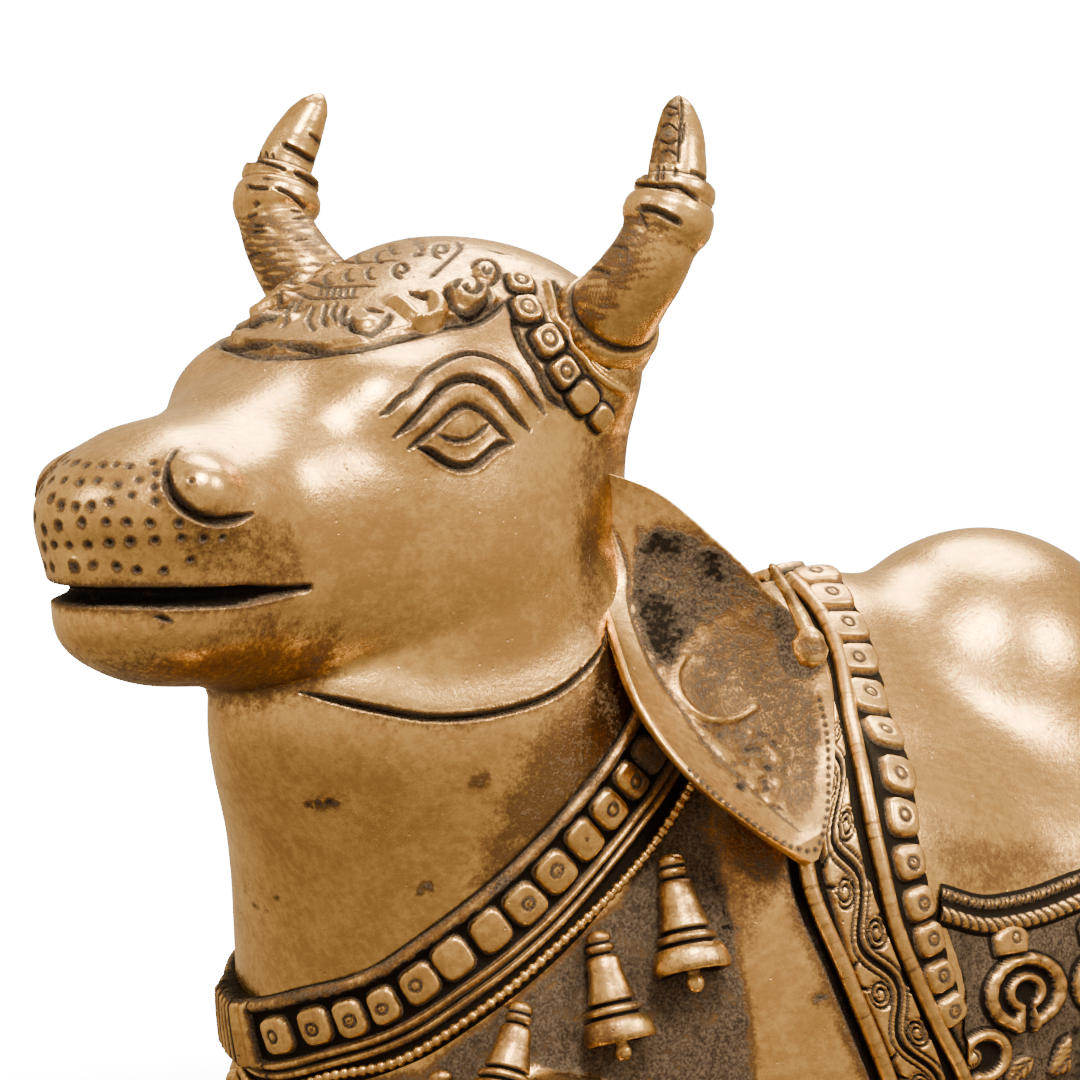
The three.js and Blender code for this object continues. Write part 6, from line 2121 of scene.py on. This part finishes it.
@dataclass
class Horn:
    """A horn: a scratched round shaft with a double ring and a worn tip."""

    side: int
    sight: Sight
    sides: int = 90
    rings: int = 210

    def build(self, caster: Caster) -> None:
        """Casts the horn."""
        rise = -2 if self.side > 0 else 2
        knots = [
            (-9, 16, -15), (-7, 26, -6), (-3.5, 33.5, 2 + rise), (-4.5, 39.5, 10 + rise), (-8.2, 41.2, 19 + rise),
            (-11.5, 40, 27 + rise / 2), (-14.4, 37.6, 34),
        ]
        line = through(HeadFrame.outward(mirrored(knots, self.side)), self.rings)
        u = np.linspace(0, 1, self.rings + 1)
        profile = [
            (0, 5), (0.14, 8.2), (0.21, 9.5), (0.265, 9.3), (0.28, 8.3), (0.288, 8.3), (0.298, 8.9), (0.325, 9.0),
            (0.35, 8.4), (0.358, 7.3), (0.364, 7.3), (0.375, 7.5), (0.46, 6.9), (0.59, 6.3), (0.612, 6.6), (0.625, 7.1), (0.645, 7.5),
            (0.675, 7.45), (0.695, 7.0), (0.704, 6.4), (0.712, 6.4), (0.722, 6.7), (0.742, 6.6), (0.752, 6.0),
            (0.757, 4.8), (0.8, 4.7), (0.86, 4.3), (0.92, 3.5), (0.96, 2.6), (0.985, 1.5), (1, 0.3),
        ]
        radius = np.interp(u, *np.array(profile).T)
        ahead = unit(np.gradient(line, axis=0))
        across = unit(np.cross(ahead, HeadFrame.outward([(1, 0, 0)])[0] - HeadFrame.ORIGIN))
        over = np.cross(across, ahead)
        turn = np.linspace(0, 2 * math.pi, self.sides, endpoint=False)
        way = across[:, None] * np.cos(turn)[:, None] + over[:, None] * np.sin(turn)[:, None]
        rings = line[:, None] + way * radius[:, None, None]
        height, dirt = self._worn(rings, way, u)
        points, faces = closed_rings(rings + way * height[..., None])
        name = "horn_left" if self.side > 0 else "horn_right"
        soil_and_shade = np.concatenate([dirt.ravel(), [1, 0]])
        caster.add(caster.mesh(name, points, faces, {"dirt": soil_and_shade}), Finish.POLISHED)

    def _worn(self, rings: Array, way: Array, u: Array) -> tuple[Array, Array]:
        """Heights and dirt: the cuts that the picture shows, and scratches round the shaft."""
        seen = self.sight.seen(rings)
        relief = picture_relief(seen, (way * HALF_TURN) @ self.sight.axes()[0] < 0.05)
        for stroke in NEAR_HORN_STROKES if self.side > 0 else FAR_HORN_STROKES:
            relief.stroke(stroke, picture_path(stroke.seen, 12))
        flat = rings.reshape(-1, 3)
        stops = ((0, 0.8), (0.2, 0.7), (0.22, 0.1), (0.275, 0.1), (0.281, 0.95), (0.288, 0.95), (0.294, 0.1), (0.352, 0.05),
                 (0.358, 0.95), (0.364, 0.95), (0.37, 0.15), (0.40, 0), (0.59, 0), (0.6, 0.3), (0.61, 0), (0.7, 0), (0.705, 0.5),
                 (0.71, 0), (0.75, 0), (0.757, 0.9), (0.77, 0))
        around_shaft = np.interp(u, *np.array(stops).T)
        scratch = ripple(flat * (0.3, 0.3, 2.6), 0.9, 61, 30) + 0.5 * ripple(flat, 6.0, 62)
        upper = smooth(-(relief.points @ (0.82, 0.57, 0)) + 688, -12, 26) * (relief.points[:, 1] > 215)
        scratched = smooth(scratch + 0.5 * upper, 0.15, 0.75) * (0.28 + 0.26 * upper)
        dirt = np.maximum.reduce([relief.dirt, np.repeat(around_shaft, self.sides), scratched])
        height = relief.height + 0.10 * ripple(flat, 3.0, 8) - 0.08 * scratched
        if self.side > 0:
            chipped = (relief.points[:, 0] < 679) & (relief.points[:, 1] < 163) & (relief.points[:, 2] < 1)
            height = height - chipped * (0.55 + 0.3 * ripple(flat, 1.6, 63))
            dirt = np.maximum(dirt, chipped * (0.42 + 0.3 * ripple(flat, 1.2, 64)))
        return height.reshape(rings.shape[:2]), np.clip(dirt, 0, 1).reshape(rings.shape[:2])


EAR_RIM: Knots = ((612, 525), (622, 548), (629, 572), (629, 600), (640, 637), (655, 669), (675, 700), (712, 750), (760, 796), (800, 832))
EAR_HOLLOW: Knots = (
    (625, 560), (634, 525), (660, 510), (700, 524), (740, 560), (790, 625), (826, 690), (826, 790), (800, 830), (760, 790),
    (712, 745), (675, 694), (655, 664), (640, 632), (629, 597),
)
EAR_LOBE: Knots = (
    (688, 652), (676, 670), (677, 690), (690, 709), (711, 720), (731, 720), (748, 712), (760, 703),
)
EAR_PATCH: Knots = (
    (629, 585), (634, 561), (642, 541), (658, 533), (681, 533), (716, 550), (744, 561), (777, 593), (801, 628),
    (777, 628), (744, 604), (720, 609), (699, 626), (690, 650), (681, 658), (668, 678), (653, 665), (640, 628), (632, 611),
)
EAR_DARKEST: tuple[Knots, ...] = (
    ((630, 590), (660, 596), (686, 606), (684, 640), (668, 672), (648, 655), (636, 625)),
    ((634, 562), (642, 538), (662, 532), (684, 535), (680, 552), (655, 556), (645, 580)),
    ((768, 606), (803, 618), (800, 640), (776, 636)), ((700, 560), (720, 556), (724, 584), (704, 580)),
)
EAR_PITTED: Knots = ((690, 724), (760, 722), (790, 760), (785, 812), (742, 800), (700, 752))
EAR_BROWN: Knots = (
    (690, 640), (740, 620), (800, 668), (822, 720), (820, 800), (796, 812), (762, 778), (730, 752), (690, 712),
)
EAR_DOTS: Knots = ((690, 770), (722, 800), (757, 826), (795, 848), (815, 850), (826, 820), (829, 780), (827, 735), (820, 700))


@dataclass
class Ear:
    """An ear: a hanging leaf, hollow to the outside, with a lobe inside and a punched rim."""

    side: int
    sight: Sight
    thick: float = 2.2
    hollow: float = 6.0
    root: float = 28.0
    clearance: float = 10.8
    back: Knots = (
        (-3.6, 28, -25.7), (-11.5, 36, -29.8), (-18.3, 42, -37), (-29.5, 46, -47), (-41.5, 48.4, -58.6),
        (-40.4, 51, -71.5), (-32.7, 55, -82.8), (-23, 59, -90),
    )
    pin: Knots = ((-13.1, 57.1, -40.8), (-14.2, 59.4, -44.7), (-14.9, 62.2, -49.8), (-14.6, 63.7, -53.0), (-14.4, 64.6, -57.4))
    front: Knots = (
        (-6, 27, -41), (-1.5, 34, -50), (1.9, 42.4, -62.7), (-1.3, 50, -73.5), (-10.7, 55, -82), (-18.7, 58, -87.6),
        (-23, 59, -90),
    )

    def build(self, caster: Caster) -> None:
        """Casts the ear; what the picture shows of the left one is on both."""
        steps, sides = (190, 200) if self.side > 0 else (100, 120)
        u = np.linspace(0, 0.985, steps + 1)
        turn = 2 * math.pi * (np.arange(sides) + 0.5) / sides
        face = np.array((0.16, 0.905, 0.388))
        inner = np.sin(turn)[None, :] > 0
        near = self._leaf(u, turn, 1)
        seen = self.sight.seen(HeadFrame.outward(near.reshape(-1, 3)))
        relief, dirt = self._inside(seen, np.repeat(~inner, steps + 1, axis=0))
        p = near if self.side > 0 else self._leaf(u, turn, -1)
        p = p + face * relief.reshape(p.shape[:2])[..., None]
        p[..., 1] *= self.side
        points, faces = closed_rings(HeadFrame.outward(p.reshape(-1, 3)).reshape(p.shape))
        name = "ear_left" if self.side > 0 else "ear_right"
        soil_and_shade = np.concatenate([dirt, [0.3, 0.3]])
        caster.add(caster.mesh(name, points, faces, {"dirt": soil_and_shade}), Finish.WORN)
        self._pin(caster)

    def _pin(self, caster: Caster) -> None:
        """The rod behind the ear's edge, and the lump that fixes it."""
        line = through(mirrored(self.pin, self.side), 60)
        u = np.linspace(0, 1, 61)
        profile = [(0, 0.3), (0.04, 0.9), (0.5, 1.15), (0.66, 1.4), (0.74, 2.3), (0.85, 2.8), (0.95, 2.1), (1, 0.4)]
        radius = np.interp(u, *np.array(profile).T)
        ahead = unit(np.gradient(line, axis=0))
        across = unit(np.cross(ahead, (0.0, 0.0, 1.0)))
        turn = np.linspace(0, 2 * math.pi, 32, endpoint=False)
        way = across[:, None] * np.cos(turn)[:, None] + np.cross(ahead, across)[:, None] * np.sin(turn)[:, None]
        rings = line[:, None] + way * radius[:, None, None]
        rough = ripple(rings.reshape(-1, 3), 2.2, 75).reshape(len(u), 32)
        rings += way * (rough * (0.15 + 0.45 * smooth(u, 0.6, 0.75)[:, None]))[..., None]
        points, faces = closed_rings(HeadFrame.outward(rings.reshape(-1, 3)).reshape(rings.shape))
        soil_and_shade = np.concatenate([np.clip(0.2 - 0.4 * rough.ravel(), 0, 1), [0, 0]])
        name = f"ear_pin_{'left' if self.side > 0 else 'right'}"
        caster.add(caster.mesh(name, points, faces, {"dirt": soil_and_shade}), Finish.WORN)

    def _leaf(self, u: Array, turn: Array, side: int) -> Array:
        """The plain leaf in the head's frame, both ears on the left."""
        grid = np.linspace(0, 1, 401)
        back, front = (
            np.stack([np.interp(u, grid, through(edge, 400)[:, i]) for i in range(3)], 1) for edge in (self.back, self.front)
        )
        w = (0.5 - 0.5 * np.cos(turn))[None, :]
        long = u[:, None]
        deep = self.hollow * np.sin(math.pi * w) ** 0.8 * np.sin(math.pi * np.minimum(long * 1.1, 1)) ** 0.7
        inner = np.clip(3.5 * np.sin(turn), -1, 1)[None, :]
        layer = self.thick * (0.5 - 0.5 * inner)
        face = np.array((0.16, 0.905, 0.388))
        clear = np.array((0.79 if side > 0 else -0.2, 0.61, 0.09))
        p = front[:, None] * (1 - w[..., None]) + back[:, None] * w[..., None]
        p[..., 1] = self.root + (p[..., 1] - self.root) * (1 if side > 0 else 0.6)
        return p - face * (deep + layer)[..., None] + clear * (self.clearance * np.minimum(long * 1.6, 1))[..., None]

    @staticmethod
    def _inside(seen: Array, hidden: Array) -> tuple[Array, Array]:
        """The relief of the hollow: the smooth rim, the lobe, the dark patches, and the pits and dots below, with
        painted shade in the hollow and a painted shadow round the pin's knob.
        """
        relief = picture_relief(seen, hidden)
        p, shown = relief.points, relief.points[:, 2] < 1
        rough = ripple(p, 26.0, 71) + 0.6 * ripple(p, 9.0, 72)
        fine = ripple(p, 5.0, 73, 24)
        relief.cut(picture_path(EAR_RIM), 5.0, 0.35, 30.0, 0.0)
        relief.dirt *= 0.6
        hollow = smooth(depth_within(p, EAR_HOLLOW) + 4 * rough, -4, 12)
        patch = smooth(depth_within(p, EAR_PATCH) + 12 * rough, -12, 12)
        dark = np.max([smooth(depth_within(p, edge) + 12 * rough, -14, 8) for edge in EAR_DARKEST], axis=0)
        brown = smooth(depth_within(p, EAR_BROWN) + 8 * rough, -12, 12)
        # The hollow's brown and its darkest patches are partly patina and partly painted shade.
        soil_and_shade = 0.26 * hollow + 0.26 * np.maximum(patch, brown * 0.7) + 0.34 * dark
        soil_and_shade += hollow * (0.06 + 0.2 * patch) * (fine + 0.7 * ripple(p, 2.6, 76, 24))
        relief.soil_and_shade(shown, np.clip(soil_and_shade, 0, 1)[shown])
        relief.height += shown * (0.12 * patch * fine + 0.08 * rough)
        relief.roll(picture_path(EAR_LOBE), 8.0, 0.9, 10.0, 0.8)
        pitted = smooth(depth_within(p, EAR_PITTED) + 5 * rough, -8, 8)
        bumps = ripple(p, 8.0, 74, 24)
        relief.height += shown * pitted * 0.55 * bumps
        relief.clean(shown, (pitted * smooth(bumps, 0.1, 0.5) * 0.7)[shown])
        relief.soil_and_shade(shown, (pitted * smooth(-bumps, 0.0, 0.5) * 0.85)[shown])
        for spot in picture_path(EAR_DOTS, 36).points:
            relief.prick(spot, 2.1, 0.35)
        # A painted shadow round the pin's knob.
        relief.soil_and_shade(shown, smooth(np.hypot(p[:, 0] - 800, p[:, 1] - 654), 34, 20)[shown] * 0.62)
        return relief.height, relief.dirt


@dataclass
class Tail:
    """The tail that curls over the left haunch, and its tuft."""

    skin: Surface
    radius: float = 4.0
    line: Knots = (
        (-126, 0, 98), (-139, 1, 86), (-141, 5, 64), (-136, 22, 38), (-122, 44, 27), (-104, 55, 27), (-92, 58, 32),
    )
    tuft: Triple = (11.0, 5.5, 7.0)

    def build(self, caster: Caster) -> None:
        """Casts the tail and the tuft."""
        count, sides = 150, 28
        path = self.skin.settle(through(self.line, count))
        out = self.skin.outward(path)
        ahead = unit(np.gradient(path, axis=0))
        across = unit(np.cross(out, ahead))
        out = np.cross(ahead, across)
        along = np.linspace(0, 1, count + 1)
        radius = self.radius * (1.25 - 0.4 * np.minimum(along * 2, 1)) * np.minimum(1, np.sqrt(along * 12 + 0.1))
        middle = path + out * (0.4 * radius * smooth(along, 0, 0.05) - radius * (1 - smooth(along, 0, 0.05)))[:, None]
        turn = np.linspace(0, 2 * math.pi, sides, endpoint=False)
        rings = middle[:, None] + radius[:, None, None] * (
            across[:, None] * np.cos(turn)[:, None] + out[:, None] * np.sin(turn)[:, None]
        )
        points, faces = closed_rings(rings)
        # Painted shade on the side of the tail that lies against the body.
        soil_and_shade = np.concatenate([np.repeat([np.clip(0.9 - np.sin(turn) * 2.2, 0, 0.9)], count + 1, 0).ravel(), [0.5, 0.5]])
        caster.add(caster.mesh("tail", points, faces, {"dirt": soil_and_shade}), Finish.POLISHED)
        centre = self.skin.settle(np.array([self.line[-1]], float), 1.5)[0]
        lat, lon = np.linspace(0.03, math.pi - 0.03, 70), np.linspace(0, 2 * math.pi, 120, endpoint=False)
        ball = np.stack(
            [
                np.cos(lat)[:, None] + 0 * lon,
                np.sin(lat)[:, None] * np.sin(lon),
                np.sin(lat)[:, None] * np.cos(lon),
            ],
            -1,
        )
        lock = np.sin(9 * lon[None] + 3.2 * np.sin(lat[:, None] * 1.6) + 0.5 * np.sin(3 * lon)[None])
        grow = 1 + 0.06 * np.abs(lock) ** 0.7 * np.sin(lat)[:, None]
        points, faces = closed_rings(centre + ball * np.array(self.tuft) * (grow - 0.03)[..., None] * (-1, 1, 1))
        soil_and_shade = np.concatenate([(1 - smooth(np.abs(lock), 0.1, 0.5)).ravel(), [0, 0]])
        caster.add(caster.mesh("tail_tuft", points, faces, {"dirt": soil_and_shade}), Finish.WORN)


@dataclass
class Base:
    """The low moulded block that the bull rests on."""

    length: float = 274.0
    width: float = 148.0
    height: float = 14.0
    corner: float = 16.0
    profile: Knots = (
        (0, 0), (0, 0.22), (0.5, 0.29), (1.6, 0.34), (2.4, 0.42), (2.4, 0.56), (1.6, 0.66), (0.6, 0.72), (0.2, 0.78),
        (0.2, 0.93), (0.8, 1),
    )

    def build(self, caster: Caster) -> None:
        """Casts the base."""
        line = through(self.profile, 60)
        steps = 24
        rings = []
        for inset, share in line:
            x, y, corner = self.length / 2 - inset, self.width / 2 - inset, self.corner - inset * 0.5
            ring = []
            for quarter, (sx, sy) in enumerate(((1, 1), (-1, 1), (-1, -1), (1, -1))):
                turn = (quarter + np.linspace(0, 1, steps + 1)) * math.pi / 2
                ring.append(
                    np.stack(
                        [
                            sx * (x - corner) + corner * np.cos(turn),
                            sy * (y - corner) + corner * np.sin(turn),
                            np.full(steps + 1, share * self.height),
                        ],
                        1,
                    )
                )
            rings.append(np.concatenate(ring))
        world = np.array(rings)
        points, faces = closed_rings((world - FIGURE_PLACE) * HALF_TURN)
        rise = np.concatenate([np.repeat(line[:, 1], 4 * (steps + 1)), [0, 1]])
        # Darker along the moulding's sunk band and along a narrow band higher up.
        soil_and_shade = np.clip(1 - np.abs(rise - 0.5) / 0.16, 0, 1) * 0.7 + np.clip(1 - np.abs(rise - 0.77) / 0.05, 0, 1) * 0.7
        caster.add(caster.mesh("moulded_base", points, faces, {"dirt": soil_and_shade}), Finish.BASE, "base")


@dataclass
class Studio:
    """The camera, the pale floor and the soft lights."""

    sight: Sight
    glow: float = 20.0
    sky: tuple[float, float] = (0.42, 0.92)
    lamp: Colour = (1.0, 0.82, 0.50)
    air: Colour = (1.0, 0.73, 0.40)

    def build(self) -> None:
        """Sets the scene up."""
        self._camera()
        self._room()
        self._world()
        for name, place, size, power in (
            ("key_light", (-188, -513, 848), (260, 300), 12.5),
            ("side_light", (368, -589, 649), (220, 260), 6.0),
            ("top_light", (264, 272, 915), (600, 500), 17.0),
            ("front_light", (-749, 0, 699), (200, 200), 1.2),
        ):
            self._light(name, place, size, power)

    def _camera(self) -> None:
        """The camera at the photograph's viewpoint."""
        data = bpy.data.cameras.new("camera")
        data.lens, data.sensor_width = self.sight.lens, self.sight.film
        data.clip_start, data.clip_end = 0.05, 20
        camera = bpy.data.objects.new("camera", data)
        camera.location = self.sight.place() * MM
        camera.rotation_euler = Vector(self.sight.axes()[0]).to_track_quat("Z", "Y").to_euler()
        bpy.context.scene.collection.objects.link(camera)
        bpy.context.scene.camera = camera

    def _light(self, name: str, place: Triple, size: tuple[float, float], power: float) -> None:
        """A softbox that looks at the bull's chest."""
        data = bpy.data.lights.new(name, "AREA")
        data.shape, data.size, data.size_y, data.energy = "RECTANGLE", size[0] * MM, size[1] * MM, power
        data.color = self.lamp
        light = bpy.data.objects.new(name, data)
        light.location = Vector(place) * MM
        light.rotation_euler = (Vector(place) - Vector((-60, 0, 120))).to_track_quat("Z", "Y").to_euler()
        bpy.context.scene.collection.objects.link(light)

    def _room(self) -> None:
        """A pale floor, and a white backdrop that only the camera sees."""
        floor = Shader("studio_floor")
        floor.surface.inputs["Base Color"].default_value = (0.55, 0.74, 1.0, 1)
        floor.surface.inputs["Roughness"].default_value = 0.7
        # The floor brightens away from the bull, so that it runs into the backdrop without a horizon.
        place = floor.node("ShaderNodeMapping", {}, {"Vector": floor.place, "Scale": (2.0, 2.0, 2.0)}).outputs[0]
        away = floor.node("ShaderNodeTexGradient", {"gradient_type": "SPHERICAL"}, {"Vector": place}).outputs["Fac"]
        far = Value(floor, away).step(0.62, 0.15)
        floor.tree.links.new(floor.mix(far, (0, 0, 0), (1, 1, 1)), floor.surface.inputs["Emission Color"])
        floor.surface.inputs["Emission Strength"].default_value = self.glow
        ground = self._panel("floor", 3.0, 0.0, floor.material)
        ground.visible_glossy = ground.visible_diffuse = False
        glow = Shader("studio_backdrop")
        glow.surface.inputs["Base Color"].default_value = (0, 0, 0, 1)
        glow.surface.inputs["Emission Color"].default_value = (1, 1, 1, 1)
        glow.surface.inputs["Emission Strength"].default_value = self.glow
        ring = [(3.2 * math.cos(t), 3.2 * math.sin(t)) for t in np.linspace(0, 2 * math.pi, 48, endpoint=False)]
        mesh = bpy.data.meshes.new("backdrop")
        corners = [(x, y, z) for z in (-0.5, 4.0) for x, y in ring]
        walls = [(i, i + 48, (i + 1) % 48 + 48, (i + 1) % 48) for i in range(48)]
        mesh.from_pydata(corners, [], [*walls, tuple(range(48, 96))])
        mesh.materials.append(glow.material)
        wall = bpy.data.objects.new("backdrop", mesh)
        bpy.context.scene.collection.objects.link(wall)
        for ray in ("diffuse", "glossy", "transmission", "shadow", "volume_scatter"):
            setattr(wall, f"visible_{ray}", False)

    def _panel(self, name: str, half: float, height: float, material: bpy.types.Material) -> bpy.types.Object:
        """A square of the studio."""
        mesh = bpy.data.meshes.new(name)
        corners = [(-half, -half, height), (half, -half, height), (half, half, height), (-half, half, height)]
        mesh.from_pydata(corners, [], [(0, 1, 2, 3)])
        mesh.materials.append(material)
        panel = bpy.data.objects.new(name, mesh)
        bpy.context.scene.collection.objects.link(panel)
        return panel

    def _world(self) -> None:
        """A soft surround: bright down to the horizon, dim below."""
        world = bpy.data.worlds.new("studio")
        world.use_nodes = True
        tree = world.node_tree
        background = tree.nodes["Background"]
        background.inputs["Color"].default_value = (*self.air, 1)
        place = tree.nodes.new("ShaderNodeTexCoord")
        split = tree.nodes.new("ShaderNodeSeparateXYZ")
        rise = tree.nodes.new("ShaderNodeMapRange")
        rise.inputs["From Min"].default_value, rise.inputs["From Max"].default_value = -0.7, 0.1
        rise.inputs["To Min"].default_value, rise.inputs["To Max"].default_value = self.sky
        tree.links.new(place.outputs["Generated"], split.inputs[0])
        tree.links.new(split.outputs["Z"], rise.inputs["Value"])
        tree.links.new(rise.outputs["Result"], background.inputs["Strength"])
        bpy.context.scene.world = world


def main() -> None:
    """Builds the bull, its base and the studio."""
    logging.basicConfig(level=logging.INFO, format="%(name)s %(message)s")
    caster, skin, sight, cut = Caster(), Skin(), Sight(), Cut()
    Head(
        "head_skin", skin, Trimmed(skin, [cut.shifted(-1)]), sight, (10, -60, 40), (172, 70, 200), 2.4, 5
    ).build(caster, Finish.POLISHED, "nandi_bull")
    Body(
        "body_skin", skin, Trimmed(skin, [cut.shifted(1), ((0, 0, 0), (0, 0, -1))]), sight,
        (-158, -80, -6), (122, 80, 140), 3.0, 4,
    ).build(caster, Finish.POLISHED, "nandi_bull")
    harness = Harness()
    Collar(skin, harness, sight).build(caster)
    for side in (1, -1):
        Horn(side, sight).build(caster)
        Ear(side, sight).build(caster)
    Saddle(skin, harness, sight).build(caster)
    Tail(skin).build(caster)
    Base().build(caster)
    Studio(sight).build()
    LOG.info("%d pieces, %d faces", len(caster.made), sum(len(p.data.polygons) for p in caster.made))


if __name__ == "__main__":
    main()
